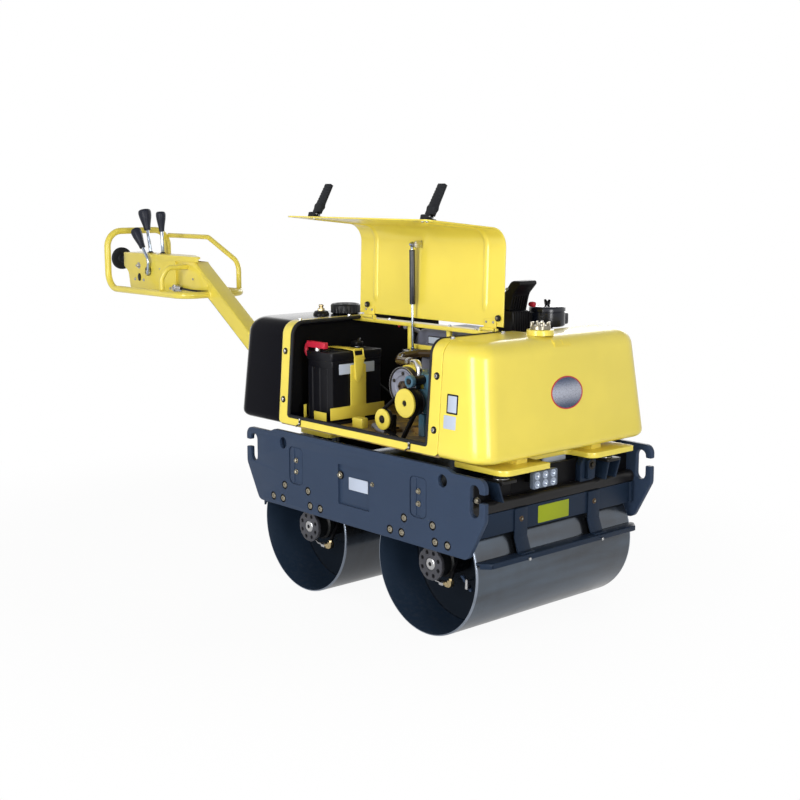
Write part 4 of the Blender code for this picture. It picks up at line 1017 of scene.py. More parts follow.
def socket_bolt(place: Place, axis: Place, radius: float = 0.006, high: float = 0.008) -> Shape:
    """A round head with a six-sided socket, made as one turned loop.

    Args:
        place: Where it stands.
        axis: Where it points.
        radius: Radius of the head.
        high: Its height.

    Returns:
        The closed shape.
    """
    bore = radius * 0.52
    profile = [(bore, high * 0.35), (bore, high), (radius * 0.9, high), (radius, high * 0.88), (radius, 0.0)]
    return lathe(profile, place, axis, 12)


# ---------------------------------------------------------------- upper body
@dataclass(frozen=True)
class Skin:
    """The body's cross section: sides that lean in, then a round into the flat top."""

    bottom: float = 0.516
    top: float = 0.833
    half: float = 0.35
    lean: float = 0.075
    corner: float = 0.045
    steps: int = 12

    def side(self, z: float, out: float = 0.0) -> float:
        """Half width at height z, moved out from the skin.

        Args:
            z: The height.
            out: Distance out from the skin.

        Returns:
            The half width.
        """
        return self.half - self.lean * (z - self.bottom) + out / math.cos(math.atan(self.lean))

    def line(self, low: float, end: float, out: float = 0.0, rows: int = 12) -> Array:
        """The right half of the section, moved out from the skin.

        A straight run up the side in even rows, an arc of the corner's radius, and a straight run
        along the top in even rows.

        Args:
            low: Height where it starts.
            end: Y where it ends on the top.
            out: Distance out from the skin.
            rows: Points of each straight run.

        Returns:
            Points (y, z).
        """
        lean, round_off = math.atan(self.lean), self.corner + out
        level = self.top + out - round_off
        middle = np.array([-(self.side(level, out) - round_off / math.cos(lean)), level])
        turn = np.linspace(math.pi - lean, math.pi / 2, self.steps + 1)
        arc = middle + round_off * np.stack([np.cos(turn), np.sin(turn)], 1)
        first, last = np.array([-self.side(low, out), low]), np.array([end, self.top + out])
        share = np.linspace(0.0, 1.0, rows, endpoint=False)[:, None]
        up, along = first + (arc[0] - first) * share, arc[-1] + (last - arc[-1]) * (share + 1.0 / rows)
        return np.concatenate([up, arc, along])

    def out_of(self) -> Array:
        """The direction out of the right side."""
        return unit(np.array([0.0, -1.0, self.lean]))

    def at(self, x: float, z: float, out: float = 0.0) -> Array:
        """A place on the right side.

        Args:
            x: Its X.
            z: Its height.
            out: Distance out from the skin.

        Returns:
            The point.
        """
        return np.array([x, -self.side(z, out), z])


SKIN = Skin()


@dataclass
class Tank:
    """A tapered tank with large rounds at its far end, one half of the body."""

    name: str
    near: float
    low_far: float
    high_far: float
    finish: Finish
    corner: float = 0.06
    foot: float = 0.022
    near_round: float = 0.0025
    skin: Skin = SKIN

    def far(self, z: float) -> float:
        """Reach of the leaning end face at height z, without its sign.

        Args:
            z: The height.

        Returns:
            The reach.
        """
        share = (z - self.skin.bottom) / (self.skin.top - self.skin.bottom)
        return self.low_far + (self.high_far - self.low_far) * share

    def loop(self, z: float, inset: float) -> Array:
        """The plan outline at height z: a rectangle with two large far corners, moved in.

        Args:
            z: The height.
            inset: How far it is moved in.

        Returns:
            Its points.
        """
        half, far, near = self.skin.side(z) - inset, self.far(z) - inset, abs(self.near) + GAP
        corner = max(self.corner - 0.6 * inset, 0.02)
        plan = fillet([(near, -half), (far, -half), (far, half), (near, half)],
            [self.near_round, corner, corner, self.near_round], 10)
        return np.column_stack([plan[:, 0] * math.copysign(1.0, self.near), plan[:, 1],
            np.full(len(plan), z)])

    def shell(self) -> None:
        """Build the shell: the plan outline stacked upwards.

        The foot and the top follow quarter circles: the inset is radius x (1 - sin a) and the
        height from the face is radius x (1 - cos a).
        """
        skin = self.skin
        foot, top = np.linspace(0.0, math.pi / 2, 6), np.linspace(math.pi / 2, 0.0, 13)
        rows = [(skin.bottom + self.foot * (1 - math.cos(a)), self.foot * (1 - math.sin(a))) for a in foot]
        rows += [(z, 0.0) for z in np.linspace(skin.bottom + self.foot, skin.top - skin.corner, 10)[1:-1]]
        rows += [(skin.top - skin.corner * (1 - math.cos(a)), skin.corner * (1 - math.sin(a))) for a in top]
        Piece(self.name + "_shell", self.finish, sharp=50.0).add(
            outward(grid(np.stack([self.loop(z, inset) for z, inset in rows]), around=True, caps=True))
        ).make(self.name)


@dataclass
class FrontTank(Tank):
    """The yellow front tank with its blank plates, badge disc, filler and cap."""

    badge: tuple[float, float, float, float] = (-0.005, 0.678, 0.0645, 0.7)
    plates: tuple[tuple[float, float, float, float], ...] = ((0.392, 0.6685, 0.042, 0.053),
        (0.3855, 0.619, 0.046, 0.036))
    filler: tuple[float, float] = (0.425, -0.035)
    sign: tuple[tuple[float, float], tuple[float, float]] = ((0.464, 0.8235), (0.481, 0.8045))

    def dress(self) -> None:
        """Build everything that the tank carries."""
        self.shell()
        self.badge_disc()
        self.side_plates()
        self.filler_neck()
        self.top_plate()

    def top_plate(self) -> None:
        """A small blank sign of two yellow panels on a plate, curved over the tank's upper bend."""
        piece = Piece("filler_sign", YELLOW_INNER, sharp=30.0)
        for y0, y1, start, stop, height in ((-0.036, 0.03, 0.0, 1.0, 0.001),
                (-0.0335, -0.0055, 0.12, 0.88, 0.0018), (-0.0015, 0.0275, 0.12, 0.88, 0.0018)):
            t = np.linspace(start, stop, 7)[:, None]
            (p, q), out = np.array(self.sign), np.array([0.745, 0.667])
            line = p + (q - p) * t + out * (0.0022 * 4 * t * (1 - t))
            piece.add(slab(XZ, [np.concatenate([line + out * height, (line - out * 0.003)[::-1]])], y0, y1,
                0.0))
        piece.make()

    def badge_disc(self) -> None:
        """A blank oval disc with a thin rim on the leaning front face."""
        y, z, wide, tall = self.badge
        lean = (self.high_far - self.low_far) / (self.skin.top - self.skin.bottom)
        at = self.far(z) - 0.0005
        rim = slab(YZ, [ring(y, z, wide, 64, tall), ring(y, z, wide - 0.0035, 64, tall * 0.985)], at,
            at + 0.0022, 0.0006)
        face = slab(YZ, [ring(y, z, wide - 0.003, 64, tall * 0.985)], at, at + 0.0016, 0.0005)
        Piece("badge_rim", RED).add(leaned(rim, 0, lean, z)).make(slot="yellow")
        Piece("badge_disc", BADGE).add(leaned(face, 0, lean, z)).make()

    def side_plates(self) -> None:
        """Two blank plates on the near side, the upper one with a dark border."""
        piece = Piece("tank_plates", LABEL)
        for k, (x, z, wide, tall) in enumerate(self.plates):
            at = -self.skin.side(z) + 0.0004
            if k == 0:
                rim = pill((x - wide / 2, z - tall / 2), (x + wide / 2, z + tall / 2), 0.003)
                piece.add(
                    leaned(slab(XZ, [rim], at, at - 0.0011, 0.0002), 1, self.skin.lean, z),
                    finish=PLASTIC
                )
                wide, tall, at = wide - 0.009, tall - 0.009, at - 0.0006
            face = pill((x - wide / 2, z - tall / 2), (x + wide / 2, z + tall / 2), 0.002)
            piece.add(leaned(slab(XZ, [face], at, at - 0.001, 0.0002), 1, self.skin.lean, z))
        piece.make()

    def filler_neck(self) -> None:
        """Yellow collar, a plated neck, and a cap with four ears and a low dome."""
        x, y = self.filler
        base = (x, y, self.skin.top + GAP)
        collar = lathe([(0.038, 0.0), (0.038, 0.0125), (0.0372, 0.0145), (0.0355, 0.0155), (0.031, 0.016),
            (0.029, 0.015), (0.029, 0.0)], base, UP, 48, closed=True)
        Piece("filler_collar", YELLOW, sharp=30.0).add(collar).make("filler_cap")
        metal = Piece("filler_cap_metal", ZINC_YELLOW, sharp=30.0)
        metal.add(lathe([(0.0285, 0.001), (0.0285, 0.0255), (0.0275, 0.027), (0.026, 0.0275), (0.021, 0.0275),
            (0.0195, 0.0262), (0.018, 0.0262), (0.014, 0.0275), (0.004, 0.029)], base, UP, 48))
        for k in range(4):
            turn = TAU * (k + 0.35) / 4
            at = (x + 0.0225 * math.cos(turn), y + 0.0225 * math.sin(turn))
            ear = fillet([(-0.0055, -0.0045), (0.0055, -0.0045), (0.0045, 0.0045), (-0.0045, 0.0045)], 0.0018,
                3)
            spin = np.array([[math.cos(turn), math.sin(turn)], [-math.sin(turn), math.cos(turn)]])
            metal.add(slab(XY, [ear @ spin + at], base[2] + 0.026, base[2] + 0.036, 0.0012))
            pin = (x + 0.0262 * math.cos(turn + 0.55), y + 0.0262 * math.sin(turn + 0.55), base[2] + 0.012)
            metal.add(bar(pin, (pin[0], pin[1], base[2] + 0.036), 0.0036, 14, 0.0006))
        metal.make()


@dataclass
class RearTank(Tank):
    """The black rear tank with its cap and breather."""

    cap_at: tuple[float, float] = (-0.42, -0.036)
    breather_at: tuple[float, float] = (-0.43, -0.128)

    def dress(self) -> None:
        """Build the tank, its cap and its breather."""
        self.shell()
        self.cap()
        self.breather()

    def cap(self) -> None:
        """A round ribbed cap: its rim's radius swells and shrinks with the angle."""
        base = (*self.cap_at, self.skin.top + GAP)
        turn = np.arange(96) / 96 * TAU
        rib = 0.0009 * np.cos(turn * 32)
        rows = [(0.04, 0.0, 0), (0.0468, 0.0035, 1), (0.0468, 0.026, 1), (0.0455, 0.0295, 0.4),
            (0.042, 0.0318, 0), (0.036, 0.0318, 0), (0.0345, 0.0298, 0), (0.012, 0.0298, 0),
            (0.01, 0.0315, 0)]
        points = np.stack([np.stack([(r + k * rib) * np.cos(turn), (r + k * rib) * np.sin(turn),
            np.full(96, h)], 1) for r, h, k in rows]) + np.array(base)
        knob = outward(grid(points, around=True, caps=True))
        Piece("rear_cap_moulded", PLASTIC, sharp=40.0).add(knob).make("rear_tank_cap")

    def breather(self) -> None:
        """A black foot with a brass hexagon and a small dome."""
        base = (*self.breather_at, self.skin.top + GAP)
        foot = [(0.0255, 0.0), (0.0255, 0.005), (0.023, 0.008), (0.021, 0.0125), (0.013, 0.0145)]
        piece = Piece("breather", PLASTIC, sharp=30.0).add(lathe(foot, base, UP, 32))
        piece.add(
            lathe([(0.0115, 0.013), (0.0115, 0.02), (0.01, 0.0215)], base, UP, 6),
            lathe([(0.0068, 0.02), (0.0068, 0.027), (0.0082, 0.029), (0.0078, 0.032), (0.005, 0.0335)], base,
                UP, 20),
            finish=BRASS
        )
        loop = fillet([(-0.01, 0.029), (-0.014, 0.0335), (0.014, 0.0335), (0.01, 0.029)], 0.003, 3)
        piece.add(
            tube(np.column_stack([loop[:, 0] + base[0], np.full(len(loop), base[1]),
                loop[:, 1] + base[2] - 0.001]), 0.0012, 8, closed=True, hint=LEFT),
            finish=BRASS
        )
        piece.make("rear_tank_breather")


@dataclass
class Bay:
    """The sheet metal round the engine bay: flanged door frame with seal, and side panel."""

    rear: float = -0.366
    front: float = 0.345
    strip: float = 0.042
    sheet: float = 0.004
    sill: tuple[float, float] = (0.5216, 0.548)
    rail_end: float = -0.014
    panel_top: float = 0.735
    round_off: float = 0.008
    skin: Skin = SKIN

    def dress(self) -> None:
        """Build the frame, its seal, bolts and keepers, and the left panel."""
        self.door_frame()
        self.seal()
        self.bolts()
        self.keepers()
        self.panel()

    def inner(self, along: Array) -> Array:
        """How far the opening's edge stands in from the strip, by distance along from the sill.

        Near the sill it follows a quarter circle: radius - sqrt(radius^2 - (radius - distance)^2).

        Args:
            along: Distances along from the sill.

        Returns:
            How far in, for each.
        """
        left = np.clip(self.round_off - along, 0.0, self.round_off)
        return self.round_off - np.sqrt(self.round_off ** 2 - left ** 2)

    def door_frame(self) -> None:
        """Two arches that follow the body's section, joined by the sill, as one sheet with a wall."""
        line = self.skin.line(self.sill[1], self.rail_end, 0.0, 30)
        low = np.array([[-self.skin.side(z), z] for z in np.linspace(*self.sill, 5)])
        run = np.concatenate([[0.0], np.cumsum(np.linalg.norm(np.diff(line, axis=0), axis=1))])
        edge = self.strip + self.inner(run)
        outer = 0.01 - np.sqrt(0.01 ** 2 - np.clip(0.01 - (low[:, 1] - self.sill[0]), 0, 0.01) ** 2)
        share = np.linspace(0.0, 1.0, 6)
        rear, front = self.rear + GAP, self.front - GAP
        shapes = []
        for start, way in ((rear, 1.0), (front, -1.0)):
            x = start + way * edge[:, None] * share[None]
            points = np.concatenate([x[..., None], np.broadcast_to(line[:, None], (*x.shape, 2))], -1)
            shapes.append(grid(points if way > 0 else points[:, ::-1]))
        first = rear + edge[0] * share
        last = front - edge[0] * share[::-1]
        across = np.concatenate([first, np.linspace(first[-1], last[0], 20)[1:-1], last])
        x = np.clip(across[None], rear + outer[:, None], front - outer[:, None])
        points = np.concatenate([x[..., None], np.broadcast_to(low[:, None], (*x.shape, 2))], -1)
        shapes.append(grid(points))
        Piece("door_flange", YELLOW, sharp=40.0).add(*shapes).make("door_frame", wall=self.sheet,
            bevel=0.0008)

    def seal(self) -> None:
        """A rubber bulb seal on the opening's inner edge."""
        line = self.skin.line(self.sill[1] - 0.002, -0.06, -0.003, 24)
        inset = self.strip + 0.0035
        corner = [(self.rear + inset, *line[-1])] + [(self.rear + inset, *row) for row in line[::-1]]
        corner += [(self.front - inset, *row) for row in line]
        path = np.array(corner[1:])
        place = fillet(path, [0.0] * (len(line) - 1) + [0.006, 0.006] + [0.0] * (len(line) - 1), 6,
            closed=False)
        Piece("door_seal", RUBBER, sharp=60.0).add(tube(place, 0.0058, 12, hint=(0.02, -0.7, 0.72))).make()

    def bolts(self) -> None:
        """Dark washers with bright hexagon heads on the side, and four bolts along the top."""
        piece = Piece("frame_bolts", ZINC, sharp=25.0)
        out = self.skin.out_of()
        for x, z in ((-0.3475, 0.742), (-0.3475, 0.594), (0.3265, 0.737), (0.3265, 0.591)):
            at = self.skin.at(x, z)
            piece.add(
                lathe([(0.0102, -0.0005), (0.0102, 0.0012), (0.0094, 0.002)], at, out, 28),
                finish=PLASTIC
            )
            piece.add(hex_bolt(at + out * 0.0018, out, 0.0098, 0.0042), finish=ZINC)
            piece.add(lathe([(0.0022, 0.0), (0.0022, 0.0003)], at + out * 0.006, out, 12), finish=PLASTIC)
        for x, y in ((0.3265, -0.275), (0.3265, -0.08), (-0.3475, -0.275), (-0.3475, -0.08)):
            piece.add(hex_bolt((x, y, self.skin.top - 0.0002), UP, 0.0095, 0.0048, 0.008))
        piece.make()

    def keepers(self) -> None:
        """Dark hook brackets on the sill for the hood's draw latches."""
        out = self.skin.out_of()
        piece = Piece("latch_keepers", GREASY, sharp=30.0)
        for x in (-0.26, 0.233):
            at = self.skin.at(x, 0.534, 0.0002)
            piece.add(leaned(slab(XZ, [pill((x - 0.005, 0.524), (x + 0.005, 0.5468), 0.002, 3)], at[1],
                at[1] - 0.0018, 0.0004), 1, self.skin.lean, at[2]))
            hook = fillet([(x - 0.005, at[1] - 0.001, 0.5262), (x - 0.0085, at[1] - 0.0075, 0.5235),
                (x - 0.005, at[1] - 0.0115, 0.5215), (x - 0.001, at[1] - 0.0085, 0.5265)], 0.002, 4, False)
            piece.add(tube(hook, 0.002, 10))
            piece.add(
                hex_bolt(self.skin.at(x, 0.542, 0.0018), out, 0.0066, 0.0028),
                hex_bolt(self.skin.at(x - 0.001, 0.53, 0.0018), out, 0.0056, 0.0022),
                finish=ZINC
            )
        piece.make()

    def panel(self) -> None:
        """The fixed left panel: one sheet up the side with a folded top, dark foam inside, and bolts."""
        heights = np.linspace(self.sill[0], self.panel_top - 0.004, 14)
        side = np.array([[self.skin.side(z), z] for z in heights])
        edge = self.skin.side(self.panel_top)
        turn = np.linspace(0.0, math.pi / 2, 6)
        bend = np.stack([edge - 0.004 * (1 - np.cos(turn)), self.panel_top - 0.004 + 0.004 * np.sin(turn)], 1)
        line = np.concatenate([side, bend[1:], [[edge - 0.022, self.panel_top]]])
        x = np.linspace(self.rear + GAP, self.front - GAP, 24)
        points = np.concatenate([np.broadcast_to(x[None, :, None], (len(line), 24, 1)),
            np.broadcast_to(line[:, None], (len(line), 24, 2))], -1)
        Piece("side_panel", YELLOW, sharp=40.0).add(grid(points[:, ::-1])).make("left_panel", wall=self.sheet,
            bevel=0.0008)
        foam = Piece("bay_lining", FOAM)
        z = (self.sill[0] + 0.008, self.panel_top - 0.012)
        middle = sum(z) / 2
        at = self.skin.side(middle) - self.sheet - 0.0008
        foam.add(
            leaned(slab(XZ, [pill((self.rear + 0.006, z[0]), (self.front - 0.006, z[1]), 0.01)], at,
                at - 0.01, 0.003), 1, -self.skin.lean, middle),
            slab(YZ, [pill((-0.32, 0.545), (0.315, 0.812), 0.03)], self.rear + 0.0005, self.rear + 0.004,
                0.001),
            slab(YZ, [pill((-0.32, 0.545), (0.315, 0.812), 0.03)], self.front - 0.0005, self.front - 0.004,
                0.001)
        )
        foam.make()
        bolts = Piece("panel_bolts", ZINC, sharp=25.0)
        out = self.skin.out_of() * np.array([1, -1, 1])
        for x in (self.rear + 0.02, -0.12, 0.1, self.front - 0.02):
            for height in (0.545, 0.712):
                bolts.add(hex_bolt((x, self.skin.side(height), height), out, 0.0095, 0.0045, 0.0085))
        bolts.make()


@dataclass
class Hood:
    """The L-shaped hood with two pressed grooves, hinges, buffers and two draw latches."""

    ends: tuple[float, float] = (-0.336, 0.292)
    stand: float = 0.009
    sheet: float = 0.004
    low: float = 0.543
    hinge: tuple[float, float] = (-0.052, 0.835)
    edge: float = 0.009
    open_angle: float = math.radians(91.6)
    creases: tuple[float, float] = (-0.262, 0.218)
    crease_soft: float = 0.0075
    stamp: float = 0.0036
    latch_x: tuple[float, float] = (-0.252, 0.24)
    knuckles: tuple[float, float] = (-0.288, 0.243)
    knuckle: float = 0.0055
    leaf: float = 0.05
    skin: Skin = SKIN

    def opened(self, *shapes: Shape) -> list[Shape]:
        """Turn shapes from the closed hood's place to the open one's."""
        centre = (0.0, *self.hinge)
        return [turned(shape, centre, AHEAD, -self.open_angle) for shape in shapes]

    def dress(self) -> None:
        """Build the shell, its fittings and the latches."""
        self.shell()
        self.fittings()
        for k, x in enumerate(self.latch_x):
            self.latch(("rear", "front")[k], x)

    def shell(self) -> None:
        """A sheet over the closed hood's section.

        The section is carried along X; two narrow pressed grooves step in by the stamp's depth as
        exp(-(distance / half width)^4), and fade by a smooth rise 3t^2 - 2t^3 near the hinge and
        the lower edge. The lower corners follow a quarter circle.
        """
        out = self.stand + self.sheet
        line = self.skin.line(self.low, self.hinge[0] - self.edge, out, 40)
        inner = self.skin.line(self.low, self.hinge[0] - self.edge, out - self.stamp, 40)
        run = np.concatenate([[0.0], np.cumsum(np.linalg.norm(np.diff(line, axis=0), axis=1))])
        corner = 0.02
        left = np.clip(corner - run, 0.0, corner)
        inset = corner - np.sqrt(corner ** 2 - left ** 2)
        share = np.linspace(0.0, 1.0, 241)
        x = (self.ends[0] + inset)[:, None] * (1 - share) + (self.ends[1] - inset)[:, None] * share

        def rise(value: Array, start: float, end: float) -> Array:
            """Smooth rise from 0 to 1."""
            t = np.clip((value - start) / (end - start), 0.0, 1.0)
            return t * t * (3 - 2 * t)

        soft = self.crease_soft
        groove = sum(np.exp(-((x - middle) / soft) ** 4) for middle in self.creases)
        ends = rise(run, 0.012, 0.05) * (1 - rise(run, run[-1] - 0.06, run[-1] - 0.035))
        flat = line[:, None] + (inner - line)[:, None] * (groove * ends[:, None])[..., None]
        points = np.concatenate([x[..., None], flat], -1)
        Piece("hood_shell", YELLOW, Body.HOOD, sharp=45.0).add(*self.opened(grid(points))).make("hood",
            wall=self.sheet, bevel=0.0009)

    def fittings(self) -> None:
        """Hinge leaves and rolled knuckles, buffers and small bolts."""
        y, z = self.hinge
        face = self.skin.top + self.stand
        iron = Piece("hood_hinges", YELLOW, Body.HOOD)
        bolts = Piece("hood_bolts", ZINC, Body.HOOD, sharp=25.0)
        for x in self.knuckles:
            ends = (x - self.leaf / 2, x + self.leaf / 2)
            iron.add(*self.opened(slab(YZ, [ring(y, z, self.knuckle, 24), ring(y, z, 0.0042, 24)], ends[0],
                ends[1], 0.0004), block((ends[0], y - 0.03, z + 0.0038), (ends[1], y - 0.0005, z + 0.0058),
                0.0006), block((ends[0], y - 0.03, z + 0.0045), (ends[1], y - 0.009,
                face - self.stamp + 0.0005), 0.0006)))
            for side in (-0.014, 0.014):
                bolts.add(*self.opened(hex_bolt((x + side, y - 0.021, z + 0.0045), DOWN, 0.007, 0.003)))
        iron.make()
        black = Piece("hood_buffers", RUBBER, Body.HOOD)
        under = face - self.stamp
        for x, t in ((-0.296, 0.036), (0.276, 0.034)):
            at = (x, y - t, under + 0.0005)
            black.add(*self.opened(lathe([(0.0092, 0.0), (0.0092, 0.003), (0.0082, 0.006), (0.0072, 0.0066)],
                at, DOWN, 28)))
            bolts.add(
                *self.opened(hex_bolt((x, y - t, under - 0.0058), DOWN, 0.0078, 0.003)),
                finish=ZINC_YELLOW
            )
        for x in self.latch_x:
            for side in (-0.009, 0.009):
                level = 0.58
                at = np.array([x + side, -self.skin.side(level, self.stand), level])
                bolts.add(*self.opened(lathe([(0.0048, -0.0005), (0.0048, 0.001), (0.0036, 0.0024),
                    (0.0015, 0.003)], at, -self.skin.out_of(), 16)))
        black.make()
        bolts.make()

    def latch(self, side: str, x: float) -> None:
        """A rubber draw latch: foot with a wire staple, and a ribbed handle that tapers to its tip.

        The handle's outline runs along a straight centre line; its half thickness carries a small
        sine for the ribs.

        Args:
            side: Part of its piece's name.
            x: Its middle.
        """
        out = self.skin.out_of()[1:]
        up = np.array([-out[1], out[0]]) * -1.0
        base = np.array([-self.skin.side(0.59, self.stand + self.sheet), 0.59]) + out * GAP
        run = np.linspace(0.0, 1.0, 60)
        start, tip = base + out * 0.014 + up * 0.007, base + out * 0.101 + up * 0.046
        middle = start + (tip - start) * run[:, None]
        along = unit(tip - start)
        across = np.array([-along[1], along[0]])
        half = 0.0072 - 0.0022 * run + 0.003 * np.exp(-((run - 0.22) / 0.07) ** 2)
        ribbed = half + 0.0006 * np.sin(run * TAU * 11) * ((run > 0.35) & (run < 0.95))
        outline = np.concatenate([middle + across * ribbed[:, None], (middle - across * half[:, None])[::-1]])
        piece = Piece("latch_handle_" + side, RUBBER, Body.HOOD, sharp=45.0)
        piece.add(*self.opened(slab(YZ, [outline], x - 0.0155, x + 0.0155, 0.0022)))
        foot = [base - up * 0.016, base + up * 0.019, base + up * 0.019 + out * 0.004,
            base + up * 0.004 + out * 0.0045, base - up * 0.006 + out * 0.016,
            base - up * 0.014 + out * 0.014]
        piece.add(*self.opened(slab(YZ, [fillet(foot, 0.0015, 3)], x - 0.0145, x + 0.0145, 0.0008)))
        at = base + out * 0.0045 + up * 0.012
        loop = fillet([(x - 0.01, *(at - up * 0.004)), (x - 0.01, *(at + out * 0.005)),
            (x + 0.01, *(at + out * 0.005)), (x + 0.01, *(at - up * 0.004))], 0.003, 4, closed=False)
        piece.add(
            *self.opened(tube(loop, 0.0016, 10)),
            *self.opened(bar((x - 0.015, *(base + out * 0.01 - up * 0.006)),
                (x + 0.015, *(base + out * 0.01 - up * 0.006)), 0.0022, 12)),
            finish=ZINC
        )
        piece.make("hood_latch_" + side)


@dataclass
class Strut:
    """The gas strut: black tube with bright end fittings and a polished rod."""

    x: float = -0.068
    top: tuple[float, float] = (-0.065, 1.067)
    foot: tuple[float, float] = (-0.062, 0.742)
    tube_span: tuple[float, float] = (0.016, 0.18)
    radius: float = 0.009
    rod: float = 0.0038

    def dress(self) -> None:
        """Build the two halves, each on its own body, and their brackets."""
        top, foot = np.array([self.x, *self.top]), np.array([self.x, *self.foot])
        along = unit(foot - top)
        r, (a, b) = self.radius, self.tube_span
        Piece("strut_cylinder", GLOSS_BLACK, Body.STRUT_TUBE).add(
            lathe([(0.0045, a), (r - 0.0015, a), (r - 0.0003, a + 0.0012), (r, a + 0.003), (r, b - 0.003),
                (r - 0.0003, b - 0.0012), (r - 0.0015, b), (0.0042, b), (0.0042, b - 0.012)], top, along, 32)
        ).add(
            lathe([(0.0036, 0.004), (0.0036, a + 0.001)], top, along, 16),
            lathe([(0.0058, 0.007), (0.0058, 0.0125), (0.0052, 0.0135)], top, along, 6),
            self.eye(top),
            finish=CHROME
        ).make("strut_tube")
        lower = Piece("strut_piston_rod", CHROME, Body.STRUT_ROD)
        length = float(np.linalg.norm(foot - top))
        lower.add(
            bar(top + along * (b - 0.028), foot - along * 0.004, self.rod, 24),
            lathe([(0.0058, length - 0.0145), (0.0058, length - 0.008), (0.0052, length - 0.007)], top, along,
                6),
            self.eye(foot)
        )
        lower.make("strut_rod")
        self.bracket(top)

    def eye(self, at: Array) -> Shape:
        """A rounded eye with a bore across X."""
        return lathe([(0.003, -0.0045), (0.0062, -0.0045), (0.0078, -0.003), (0.008, 0.0), (0.0078, 0.003),
            (0.0062, 0.0045), (0.003, 0.0045)], at, AHEAD, 24, closed=True)

    def bracket(self, top: Array) -> None:
        """The stud and the folded plate that hold the strut's upper end.

        Args:
            top: Middle of the upper eye.
        """
        Piece("strut_bracket", ZINC, Body.HOOD).add(
            bar(top + np.array([-0.0046, 0, 0]), top + np.array([0.0225, 0, 0]), 0.0028, 16),
            lathe([(0.006, 0.0), (0.006, 0.0028), (0.0052, 0.0036)], top + np.array([-0.0048, 0, 0]), BEHIND,
                6),
            lathe([(0.0062, 0.0), (0.0062, 0.0045)], top + np.array([0.0062, 0, 0]), AHEAD, 6),
            slab(YZ, [fillet([(top[1] - 0.008, top[2] - 0.011), (top[1] + 0.022, top[2] - 0.011),
                (top[1] + 0.022, top[2] + 0.011), (top[1] - 0.008, top[2] + 0.011)], [0.008, 0.0, 0.0, 0.008],
                5)], top[0] + 0.018, top[0] + 0.0215, 0.0006)
        ).make()


